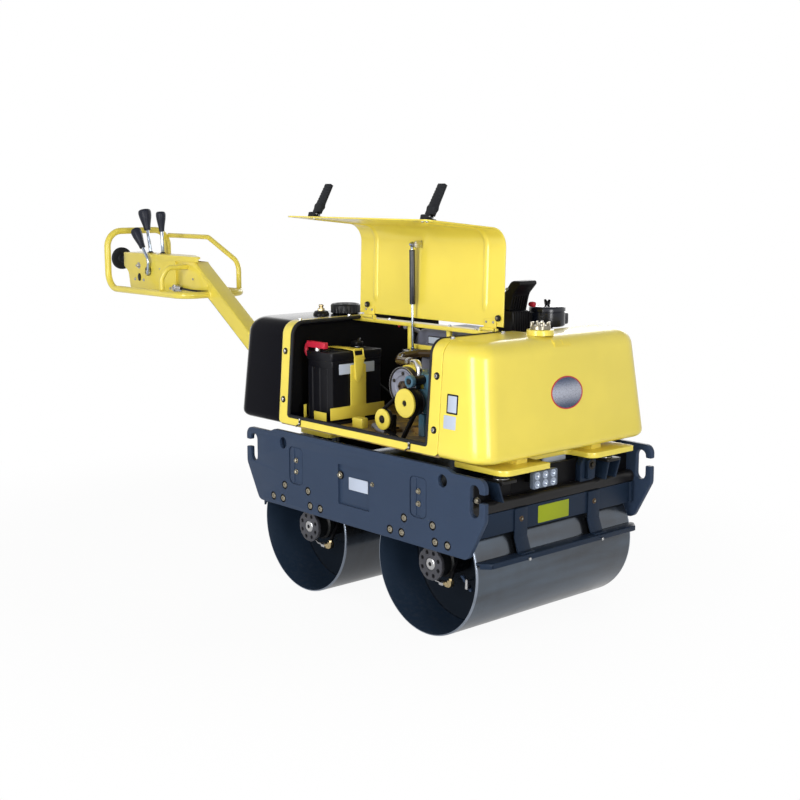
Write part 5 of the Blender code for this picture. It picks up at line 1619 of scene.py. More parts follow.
# ---------------------------------------------------------------- lower frame
@dataclass
class SidePlate:
    """An outer plate with hook slots, lift holes, carrier bolts, two covers and a hatch."""

    out: float = 0.355
    thick: float = 0.015
    axle: float = 0.275
    carrier_bolts: tuple[tuple[float, float], ...] = ((-0.058, 0.329), (0.058, 0.329), (-0.068, 0.285),
        (0.068, 0.285), (-0.117, 0.285), (0.117, 0.285))

    def outline(self) -> Array:
        """The plate's edge, with a hook slot open at each end.

        Returns:
            Its points (x, z).
        """
        slot = 0.0174
        half = [(0.468, 0.26, 0.025), (0.531, 0.375, 0.03), (0.531, 0.424, 0.004), (0.51, 0.424, 0.004),
            (0.51, 0.381, slot), (0.475, 0.381, slot), (0.475, 0.469, slot), (0.51, 0.469, slot),
            (0.51, 0.447, 0.004), (0.531, 0.447, 0.004), (0.531, 0.487, 0.025), (0.41, 0.487, 0.03),
            (0.385, 0.4975, 0.03)]
        rows = np.array(half + [(-x, z, r) for x, z, r in reversed(half)])
        return fillet(rows[:, :2], rows[:, 2], 6)

    def dress(self) -> None:
        """Build the plate for both sides; the blank data plate is on the right one only."""
        for side, flip in (("right", False), ("left", True)):
            for piece, nodes in self.pieces(side):
                if flip:
                    piece.shapes = [mirrored(shape) for shape in piece.shapes]
                piece.make(*nodes, slot="frame_blue" if piece.finish is PLASTIC else "")

    def pieces(self, side: str) -> list[tuple[Piece, tuple[str, ...]]]:
        """The plate, its covers and its bolts, on the right side.

        Args:
            side: Which side it is for.

        Returns:
            Each piece with the nodes that it stands for.
        """
        back, face = -self.out + self.thick, -self.out
        bores = [(sign * self.axle + x, z) for sign in (-1, 1) for x, z in self.carrier_bolts]
        covers = [pill((x - 0.034, 0.34), (x + 0.034, 0.4565), 0.018, 8) for x in (-self.axle, self.axle)]
        hatch = pill((-0.072, 0.318), (0.07, 0.437), 0.004, 4)
        pockets = [(ring(x, z, 0.0134, 28), 0.005) for x, z in bores]
        pockets += [(loop, 0.0038) for loop in covers] + [(hatch, 0.0072)]
        holes = [ring(x, 0.46, 0.0175, 36) for x in (-0.34, 0.371)]
        plate = Piece("plate_" + side, SLATE)
        plate.add(slab(XZ, [self.outline(), *holes], back, face, 0.0016, pockets, 3))
        # Painted shade: a dark disc of the shaded slate sits behind the rear lift hole so that the hole reads
        # dark.
        plate.add(
            slab(XZ, [ring(-0.34, 0.46, 0.026, 28)], back + 0.001, back + 0.0035, 0.0005),
            finish=SLATE_SHADED
        )
        lid = Piece("plate_covers_" + side, SLATE)
        bolts = Piece("plate_bolts_" + side, ZINC_YELLOW, sharp=25.0)
        for x in (-self.axle, self.axle):
            loop = pill((x - 0.0312, 0.3428), (x + 0.0312, 0.4537), 0.0152, 8)
            grooves = [(pill((x - 0.0125, 0.346), (x + 0.009, 0.4505), 0.0008, 2), 0.0014)]
            lid.add(
                slab(XZ, [loop], face + 0.0036, face + 0.0014, 0.001, grooves),
                slab(XZ, [pill((x - 0.0125, 0.3465), (x - 0.0085, 0.45), 0.0008, 2)], face + 0.003,
                    face + 0.0009, 0.0005)
            )
            for z in (0.415, 0.38):
                bolts.add(
                    lathe([(0.0082, 0.0), (0.0082, 0.0016), (0.0074, 0.0024)], (x + 0.0015, face + 0.0016, z),
                        RIGHT, 24),
                    hex_bolt((x + 0.0015, face - 0.0004, z), RIGHT, 0.0105, 0.005)
                )
        ring_bolts = Piece("plate_bore_rings_" + side, PLASTIC, sharp=30.0)
        for k, (x, z) in enumerate(bores):
            at = (x, face + 0.005, z)
            ring_bolts.add(lathe([(0.007, 0.0), (0.0131, 0.0), (0.0131, 0.0044), (0.012, 0.0044),
                (0.0106, 0.001), (0.007, 0.001)], at, RIGHT, 28, True))
            bolts.add(lathe([(0.0088, 0.0), (0.0088, 0.0046), (0.0077, 0.006), (0.0038, 0.006),
                (0.0034, 0.0042), (0.0012, 0.0042)], at, RIGHT, 24, phase=0.1 * k))
        for (x, z), size in (((-0.0655, 0.404), 0.0125), ((0.084, 0.401), 0.009)):
            bolts.add(hex_bolt((x, face + (0.003 if x < 0 else -0.0002), z), RIGHT, size, 0.0048, size * 0.8))
        ring_bolts.add(lathe([(0.0105, 0.0), (0.0125, 0.0), (0.0125, 0.004), (0.0105, 0.004)],
            (-0.0655, face + 0.0068, 0.404), RIGHT, 28, True))
        if side == "right":
            bolts.add(hex_bolt((0.486, -0.337, 0.424), RIGHT, 0.0125, 0.006, 0.0095))
            ring_bolts.add(
                block((0.472, -0.3395, 0.418), (0.499, -0.3372, 0.43), 0.001, XZ),
                block((0.44, -0.3395, 0.36), (0.4725, -0.334, 0.48), 0.002, XZ)
            )
        made = [(plate, ("side_plate_" + side,)), (lid, ()), (ring_bolts, ()), (bolts, ())]
        if side == "right":
            data = Piece("data_plate_right", LABEL, sharp=30.0)
            data.add(slab(XZ, [pill((-0.028, 0.367), (0.058, 0.404), 0.0015, 3)], face + 0.0056,
                face + 0.0046, 0.0003))
            for x in (-0.0255, 0.0555):
                for z in (0.3695, 0.4015):
                    data.add(
                        lathe([(0.0012, 0.0), (0.0009, 0.0005), (0.0003, 0.0006)], (x, face + 0.0046, z),
                            RIGHT, 10),
                        finish=ZINC
                    )
            made.append((data, ()))
        return made


@dataclass
class EndFrame:
    """Cross plate, black beam, seats, rubber mounts and scraper at one end of the frame."""

    end: str
    sign: int
    seat: tuple[float, float]
    rib: tuple[float, float]
    mount: float
    wall_half: float
    face: float = 0.468
    plate_thick: float = 0.012
    low: float = 0.309
    high: float = 0.3715
    inner: float = 0.3396
    beam_back: float = 0.4
    beam_top: float = 0.403
    seat_top: float = 0.46
    feet: float = 0.48
    mount_y: float = 0.216
    drum_x: float = 0.275
    drum_radius: float = 0.2

    def x(self, value: float) -> float:
        """Turn a distance from mid wheelbase into an X at this end."""
        return self.sign * value

    def span(self, near: float, far: float) -> tuple[float, float]:
        """Two distances as an X range in rising order.

        Args:
            near: One distance.
            far: The other.

        Returns:
            The lower and the higher X.
        """
        low, high = sorted((self.sign * near, self.sign * far))
        return low, high

    def dress(self) -> None:
        """Build each part of this end."""
        self.cross_plate()
        self.beam()
        self.mounts()
        self.scraper()

    def cross_plate(self) -> None:
        """A flat plate between the side plates with a small weld pad at each end."""
        a, b = self.span(self.face - self.plate_thick, self.face)
        # Painted shade: the cross plate takes the darker, shaded copy of the slate paint.
        piece = Piece(self.end + "_cross_bar", SLATE_SHADED)
        piece.add(block((a, -self.inner, self.low), (b, self.inner, self.high), 0.0015, XZ))
        for y in (-1, 1):
            ends = sorted((y * 0.315, y * 0.327))
            pad = self.span(self.face - 0.002, self.face + 0.0065)
            piece.add(block((pad[0], ends[0], self.low + 0.001), (pad[1], ends[1], self.high + 0.001), 0.002,
                YZ))
        piece.make(self.end + "_cross_plate")
        if self.sign < 0:
            return
        Piece("cross_bar_label", LIME, sharp=30.0).add(
            slab(YZ, [pill((-0.08, 0.3145), (0.048, 0.3635), 0.002, 3)], self.face - 0.0002,
                self.face + 0.0009, 0.0003)
        ).make()

    def beam(self) -> None:
        """The black beam with a wall, slanted ribs and the seats of the rubber mounts."""
        sign = self.sign
        nose = np.array([(sign * self.beam_back, self.high + GAP), (sign * self.face, self.high + GAP),
            (sign * self.face, self.beam_top), (sign * self.beam_back, self.beam_top)])
        piece = Piece(self.end + "_black_beam", BEAM_BLACK, sharp=40.0)
        piece.add(slab(XZ, [fillet(nose, [0.001, 0.004, 0.015, 0.001], 8)], -self.inner, self.inner, 0.0))
        a, b = self.span(0.425, 0.44)
        # Painted shade: the recessed wall blocks take the darker black.
        piece.add(
            block((a, -self.wall_half, self.beam_top - 0.004), (b, self.wall_half, 0.468), 0.002, YZ),
            finish=WALL_BLACK_SHADED
        )
        if sign > 0:
            for near, out in ((-self.inner, -self.wall_half - GAP), (self.wall_half + GAP, self.inner)):
                piece.add(
                    block((a, near, self.beam_top - 0.004), (b, out, 0.466), 0.002, YZ),
                    finish=WALL_BLACK_SHADED
                )
            piece.add(block((0.406, 0.0, 0.452), (0.412, 0.096, 0.48), 0.001, YZ), finish=LABEL)
        # Painted shade: the seats and ribs take the darker, shaded copy of the slate paint.
        slate = Piece(self.end + "_seats", SLATE_SHADED)
        for side in (-1, 1):
            for top_y, low_y in ((0.203, 0.188), (0.253, 0.232))[0 if side > 0 else 1:]:
                rows = [(side * top_y, self.seat_top - 0.003), (side * (top_y + 0.006),
                    self.seat_top - 0.003), (side * (low_y + 0.006), self.beam_top - 0.002),
                    (side * low_y, self.beam_top - 0.002)]
                a, b = self.span(*self.rib)
                slate.add(slab(YZ, [fillet(rows, 0.0008, 2)], a, b, 0.0008))
            ys = sorted((side * 0.19, side * 0.246))
            a, b = self.span(*self.seat)
            piece.add(slab(XY, [fillet([(a, ys[0]), (b, ys[0]), (b, ys[1]), (a, ys[1])], 0.006, 4)],
                self.seat_top - 0.008, self.seat_top, 0.0008))
        if sign > 0:
            self.bracket(slate)
        slate.make()
        piece.make(self.end + "_beam")

    def bracket(self, slate: Piece) -> None:
        """A faceted bracket between beam and frame on the left, with a large bolt that faces forward.

        Args:
            slate: The piece that it joins.
        """
        rows = [(0.106, self.beam_top - 0.002), (0.162, self.beam_top - 0.002), (0.166, 0.47), (0.118, 0.47),
            (0.106, 0.45)]
        slate.add(
            slab(YZ, [fillet(rows, [0.001, 0.001, 0.003, 0.004, 0.006], 3)], 0.4405, 0.46, 0.0015),
            slab(YZ, [fillet([(0.124, 0.408), (0.154, 0.408), (0.158, 0.466), (0.124, 0.466)], 0.004, 3)],
                0.4585, 0.474, 0.0025)
        )
        bolt = Piece("bracket_bolt", GREASY, sharp=25.0)
        at = (0.4735, 0.14, 0.45)
        bolt.add(
            lathe([(0.014, 0.0), (0.014, 0.0016), (0.0134, 0.0022)], at, AHEAD, 32),
            hex_bolt((at[0] + 0.0018, *at[1:]), AHEAD, 0.015, 0.0062)
        )
        bolt.make()

    def mounts(self) -> None:
        """Waisted rubber mounts between two pressed washers, with a nut below.

        The radius shrinks by half a sine wave over the height, the most half way up.
        """
        low, high = self.seat_top + GAP, self.feet - GAP
        share = np.linspace(0.0, 1.0, 15)
        radius = 0.0235 - 0.003 * np.sin(share * math.pi)
        profile = np.stack([radius, low + 0.002 + (high - low - 0.004) * share], 1)
        for side, y in (("right", -self.mount_y), ("left", self.mount_y)):
            place = (self.x(self.mount), y, 0.0)
            piece = Piece(f"mount_{self.end}_{side}", RUBBER, sharp=40.0)
            piece.add(lathe(profile, place, UP, 40))
            for a, b in ((low, low + 0.0022), (high - 0.0022, high)):
                piece.add(
                    lathe([(0.0235, a), (0.024, a + 0.0006), (0.024, b - 0.0006), (0.0235, b)], place, UP,
                        40),
                    finish=ZINC
                )
            piece.make(f"rubber_mount_{self.end}_{side}")
            Piece(f"mount_nut_{self.end}_{side}", SOOT, sharp=25.0).add(
                hex_bolt((place[0], y, self.seat_top - 0.008), DOWN, 0.016, 0.009, 0.013)
            ).make(slot="zinc")

    def scraper(self) -> None:
        """The scraper bar with its chamfered front corners and folded lip, on two bent straps."""
        z, thick, out, chamfer, half = 0.243, 0.006, 0.51, 0.025, 0.325
        back = self.drum_x + math.sqrt((self.drum_radius + 0.0042) ** 2 - (z - 0.2) ** 2) - 0.0022
        rows = [(back, -half), (out - chamfer, -half), (out, -half + chamfer), (out, half - chamfer),
            (out - chamfer, half), (back, half)]
        plan = fillet([(self.x(x), y) for x, y in rows], [0.001, 0.003, 0.003, 0.003, 0.003, 0.001], 3)
        # Painted shade: the scraper and its straps take the darker, shaded copy of the slate paint.
        piece = Piece("scraper_bar_" + self.end, SLATE_SHADED)
        piece.add(slab(XY, [plan], z, z + thick, 0.0012))
        a, b = self.span(out - 0.0062, out - 0.0002)
        piece.add(block((a, -half + chamfer + 0.002, z - 0.0095), (b, half - chamfer - 0.002,
            z + thick - 0.001), 0.0015, XZ))
        for side in (-1, 1):
            edge = [(out - 0.0002, half - chamfer + 0.001), (out - chamfer, half - 0.0006),
                (out - chamfer - 0.004, half - 0.0055), (out - 0.0062, half - chamfer - 0.001)]
            piece.add(slab(XY, [fillet([(self.x(x), side * y) for x, y in edge], 0.0008, 2)], z - 0.0093,
                z + thick - 0.001, 0.0008))
        near, low = self.face + GAP, z + thick - 0.0004
        toe, tip, t = near + 0.014, out - 0.007, 0.005
        strap = [(near, self.high), (near, 0.29), (toe, low), (tip, low), (tip, low + t), (toe + t, low + t),
            (near + t, 0.29), (near + t, self.high)]
        loop = fillet([(self.x(x), zz) for x, zz in strap], [0.001, 0.012, 0.006, 0.001, 0.001, 0.003, 0.01,
            0.001], 5)
        bolts = Piece("scraper_bolts_" + self.end, ZINC_YELLOW, sharp=25.0)
        for y in (-0.153, 0.153):
            piece.add(slab(XZ, [loop], y - 0.025, y + 0.025, 0.001))
            at = (self.x(near + t - 0.0004), y + 0.001, 0.341)
            bolts.add(
                lathe([(0.0082, 0.0), (0.0082, 0.0008), (0.0076, 0.0012)], at, (self.sign, 0, 0), 24),
                finish=BRONZE
            )
            bolts.add(hex_bolt(at, (self.sign, 0, 0), 0.0062, 0.004), finish=ZINC_YELLOW)
            bolts.add(
                lathe([(0.0046, 0.0), (0.0046, 0.0045), (0.0036, 0.0055)],
                    (self.x(out + 0.0001), y - 0.006, z - 0.006), (self.sign, 0, 0), 16),
                finish=ZINC
            )
        piece.make("scraper_" + self.end)
        bolts.make()


@dataclass
class Drum:
    """A steel drum: worn outer face, bright rims, painted inside with two webs."""

    name: str
    body: Body
    x: float
    z: float = 0.2
    radius: float = 0.2
    half: float = 0.325
    shell: float = 0.012
    web: tuple[float, float] = (0.168, 0.18)
    bore: float = 0.0268
    edge: float = 0.006
    weld: float = 0.006
    lip: float = 0.0042
    steps: int = 160

    def dress(self) -> None:
        """Turn one closed profile and give its bands their finishes.

        Each outer edge is a quarter ellipse: the radius is short by half the edge x (1 - sin a) and
        the half width by the edge x (1 - cos a). The cuts say where along the profile a band starts.
        """
        r, h, inner, (w0, w1), b = self.radius, self.half, self.radius - self.shell, self.web, self.bore
        e, f, lip = self.edge, self.weld, self.lip
        turn = np.linspace(0.0, math.pi / 2, 6)
        bend = [(r - e * 0.5 * (1 - math.sin(t)), h - e * (1 - math.cos(t))) for t in turn]
        outer = bend + [(x, -y) for x, y in reversed(bend)]
        side = [(r - lip, -h), (r - lip - 0.0006, -h + 0.0006), (inner, -h + 0.03), (inner, -w1 - f),
            (inner - f * 0.3, -w1 - f * 0.3), (inner - f, -w1), (0.075, -w1), (0.07, -w1 - 0.004),
            (b + 0.002, -w1 - 0.004), (b, -w1 - 0.002)]
        half = side + [(b, -w0), (inner - f, -w0), (inner, -w0 + f)]
        rows = outer + half + [(x, -y) for x, y in reversed(half)]
        whole = lathe(rows, (self.x, 0.0, self.z), LEFT, self.steps, closed=True)
        count, n = len(rows), len(bend)
        # The webs' band takes the darker navy: painted shade deep in the drum.
        cuts = {0: DRUM_RIM, n - 1: DRUM_STEEL, n: DRUM_RIM, 2 * n: DRUM_INSIDE, 2 * n + 3: DRUM_WEB_SHADE,
            count - 5: DRUM_INSIDE}
        piece = Piece(self.name + "_shell", DRUM_STEEL, self.body, sharp=25.0)
        starts = sorted(cuts)
        for start, stop in zip(starts, starts[1:] + [count - 2]):
            piece.add((whole[0], [whole[1][0][start * self.steps:stop * self.steps]]), finish=cuts[start])
        piece.add((whole[0], [whole[1][0][(count - 2) * self.steps:]]), finish=DRUM_RIM)
        piece.make(self.name)


@dataclass
class Carrier:
    """The bracket inside a drum's end: bolted flange, arm, motor housing and hub disc."""

    end: str
    side: str
    x: float
    sign: int
    z: float = 0.2
    inner: float = 0.3396
    web: float = 0.18
    face: float = 0.31
    radius: float = 0.048

    @property
    def shift(self) -> float:
        """How much further forward the rear end's fittings sit."""
        return 0.0 if self.end == "front" else 0.02

    def dress(self) -> None:
        """Build the housing, the hub disc, its bolts and, on the right, the pipe fittings."""
        x, s = self.x, self.sign
        black = Piece(f"carrier_{self.end}_{self.side}", CARRIER_BLACK, sharp=40.0)
        flange = fillet([(x - 0.13, 0.268), (x + 0.13, 0.268), (x + 0.13, 0.303), (x + 0.085, 0.345),
            (x - 0.085, 0.345), (x - 0.13, 0.303)], [0.004, 0.004, 0.004, 0.012, 0.012, 0.004], 4)
        black.add(
            slab(XZ, [flange], s * (self.inner - 0.018), s * self.inner, 0.0012),
            slab(XZ, [fillet([(x - 0.055, 0.276), (x + 0.055, 0.276), (x + 0.055, 0.325), (x - 0.055, 0.325)],
                0.008, 4)], s * (self.web + 0.012), s * (self.inner - 0.016), 0.002),
            slab(XZ, [fillet([(x - 0.035, 0.232), (x + 0.035, 0.232), (x + 0.045, 0.28), (x - 0.045, 0.28)],
                0.004, 3)], s * (self.web + 0.012), s * (self.face - 0.026), 0.002)
        )
        r = self.radius
        black.add(lathe([(0.025, self.web - 0.022), (0.026, self.web + 0.008), (0.036, self.web + 0.01),
            (0.0425, self.web + 0.016), (0.0425, self.web + 0.062), (r - 0.001, self.web + 0.066),
            (r - 0.001, self.web + 0.08), (0.0405, self.web + 0.084), (0.0395, self.face - 0.012)],
            (x, 0.0, self.z), (0, s, 0), 48))
        black.make(f"drum_carrier_{self.end}_{self.side}")
        self.hub()
        if self.side == "right":
            self.pipes()

    def hub(self) -> None:
        """A scalloped grey disc with sunk bolts round a bright plug with a hexagon socket.

        The disc's radius dips by the cosine of eight times the angle, cut off below 0.4.
        """
        x, s, r = self.x, self.sign, self.radius
        steps = 96
        turn = np.arange(steps) / steps * TAU
        dip = 0.0022 * np.clip(np.cos(turn * 8), 0.4, 1.0) - 0.0009
        loop = np.stack([x + (r - 0.0006 - dip) * np.cos(turn), self.z + (r - 0.0006 - dip) * np.sin(turn)],
            1)
        places = spread((x, self.z), 0.0345, 8, 0.5)
        holes = [(ring(*place, 0.0064, 18), 0.005) for place in places]
        holes.append((ring(x, self.z, 0.0185, 40), 0.0022))
        Piece(f"hub_disc_{self.end}_{self.side}", HUB_GREY).add(
            slab(XZ, [loop], s * (self.face - 0.0125), s * (self.face - 0.0015), 0.0014, holes)
        ).make()
        heads = Piece(f"hub_bolts_{self.end}_{self.side}", PLASTIC, sharp=30.0)
        for u, v in places:
            heads.add(socket_bolt((u, s * (self.face - 0.0062), v), (0, s, 0), 0.0056, 0.0036))
        heads.make()
        Piece(f"hub_plug_{self.end}_{self.side}", ZINC, sharp=30.0).add(
            lathe([(0.0062, 0.0), (0.0062, 0.0032), (0.0138, 0.0032), (0.016, 0.0024), (0.0178, 0.0006),
                (0.0178, 0.0)], (x, s * (self.face - 0.0036), self.z), (0, s, 0), 36, closed=True)
        ).add(
            lathe([(0.0064, 0.0), (0.0064, 0.0014)], (x, s * (self.face - 0.0036), self.z), (0, s, 0), 6),
            finish=PLASTIC
        ).make()

    def pipes(self) -> None:
        """A plated nut and a brass elbow below the housing, the hose behind it and, at the front, an arm."""
        x, s = self.x, self.sign
        y = s * 0.285
        z = self.z - 0.051
        x += self.shift
        piece = Piece(f"motor_fittings_{self.end}_{self.side}", ZINC, sharp=30.0)
        path = fillet([(x - 0.018, y - s * 0.002, z + 0.008), (x - 0.004, y, z - 0.001),
            (x + 0.02, y, z - 0.002)], 0.02, 5, False)
        piece.add(
            tube(path, 0.0036, 14),
            lathe([(0.0058, 0.0), (0.0086, 0.002), (0.0086, 0.015), (0.0076, 0.018)],
                (x + 0.016, y, z - 0.002), AHEAD, 6)
        )
        piece.add(lathe([(0.006, 0.0), (0.006, 0.012)], (x + 0.033, y, z - 0.002), AHEAD, 20), finish=BRASS)
        elbow = fillet([(x + 0.043, y, z - 0.001), (x + 0.0585, y, z - 0.001), (x + 0.0585, y, z + 0.012)],
            0.004, 4, False)
        piece.add(
            sweep(pill((-0.008, -0.008), (0.008, 0.008), 0.0028, 3), elbow, LEFT),
            lathe([(0.0068, 0.0), (0.0068, 0.005), (0.006, 0.007)], (x + 0.0585, y, z + 0.011), UP, 6),
            finish=BRASS
        )
        piece.make()
        hose = Piece(f"motor_hose_{self.end}_{self.side}", HOSE, sharp=60.0)
        start = x + 0.0585
        line = fillet([(start, y, z + 0.016), (start - 0.004, y - s * 0.014, z + 0.034),
            (start - 0.024, y - s * 0.06, z + 0.07)], 0.02, 6, False)
        hose.add(tube(line, 0.0058, 12))
        hose.make()
        if self.end == "front":
            Piece("motor_arm_" + self.side, SLATE).add(
                slab(XZ, [fillet([(x + 0.064, 0.172), (x + 0.074, 0.172), (x + 0.112, 0.136),
                    (x + 0.104, 0.132)], 0.002, 3)], s * 0.246, s * 0.256, 0.001)
            ).add(
                lathe([(0.0065, 0.0), (0.0065, 0.026), (0.005, 0.028)], (x + 0.1, s * 0.262, 0.142), UP, 16),
                finish=ZINC
            ).make()


@dataclass
class UpperFrame:
    """Yellow foot plates over the rubber mounts and the two rails that carry the body."""

    low: float = 0.48
    thick: float = 0.016
    rails: tuple[float, float] = (-0.155, 0.155)

    def dress(self) -> None:
        """Build the plates and the rails."""
        top = self.low + self.thick
        near, far = 0.088, 0.271
        front = fillet([(0.329, -far), (0.52, -far), (0.52, -near), (0.42, -near), (0.42, near), (0.52, near),
            (0.52, far), (0.329, far)], [0.004, 0.03, 0.006, 0.02, 0.02, 0.03, 0.006, 0.004], 6)
        piece = Piece("foot_plates", YELLOW)
        piece.add(slab(XY, [front], self.low, top, 0.0018))
        rear = pill((-0.365, -far), (-0.215, far), 0.012, 4)
        piece.add(slab(XY, [rear], self.low, top, 0.0018))
        for y in self.rails:
            piece.add(slab(YZ, [pill((y - 0.021, self.low + 0.002), (y + 0.021, 0.516 - GAP), 0.003, 3)],
                -0.4, 0.475, 0.001))
        piece.make("upper_frame")


@dataclass
class WorkLamp:
    """A work lamp: dark housing and six reflector cells with a small source in each."""

    y: float = -0.086
    z: float = 0.447
    half: float = 0.0495
    height: float = 0.048
    back: float = 0.482
    thick: float = 0.018

    def dress(self) -> None:
        """Build housing, cells and bracket; each cell's dish is a quarter ellipse turned about its axis."""
        low, high = self.z - self.height / 2, self.z + self.height / 2
        front = self.back + self.thick
        cells = [(self.y + (k - 1) * 0.0322, self.z + (0.0118 if row else -0.0118)) for row in (0, 1)
            for k in range(3)]
        case = Piece("lamp_housing", LAMP_CASE)
        outline = pill((self.y - self.half, low), (self.y + self.half, high), 0.006, 5)
        pockets = [(ring(y, z, 0.0114, 32, 1.0), 0.006) for y, z in cells]
        case.add(slab(YZ, [outline], self.back + 0.004, front - 0.0008, 0.0016, pockets))
        back = pill((self.y - self.half + 0.001, low + 0.001), (self.y + self.half - 0.001, high - 0.001),
            0.006, 5)
        case.add(
            slab(YZ, [back], self.back, self.back + 0.0045, 0.0008),
            slab(YZ, [pill((self.y - 0.02, low + 0.008), (self.y + 0.02, high - 0.01), 0.003, 3)], 0.4404,
                self.back + 0.001, 0.0008),
            finish=PLASTIC
        )
        case.make("work_lamp")
        share = np.linspace(0.0, 1.0, 10)
        dish = np.stack([0.0113 - 0.0078 * share, 0.0056 * np.sqrt(np.clip(1 - share ** 2, 0, 1))], 1)
        mirror = Piece("lamp_reflectors", CHROME, sharp=50.0)
        glow = Piece("lamp_sources", LABEL, sharp=50.0)
        for y, z in cells:
            at = (front - 0.0066, y, z)
            rows = np.concatenate([dish, [(0.0035, -0.0004), (0.0113, -0.0004)]])
            mirror.add(lathe(rows, at, AHEAD, 32, closed=True))
            glow.add(lathe([(0.004, 0.0), (0.0044, 0.0022), (0.0036, 0.0044), (0.0016, 0.0056)], at, AHEAD,
                20))
        mirror.make()
        glow.make(slot="lens")


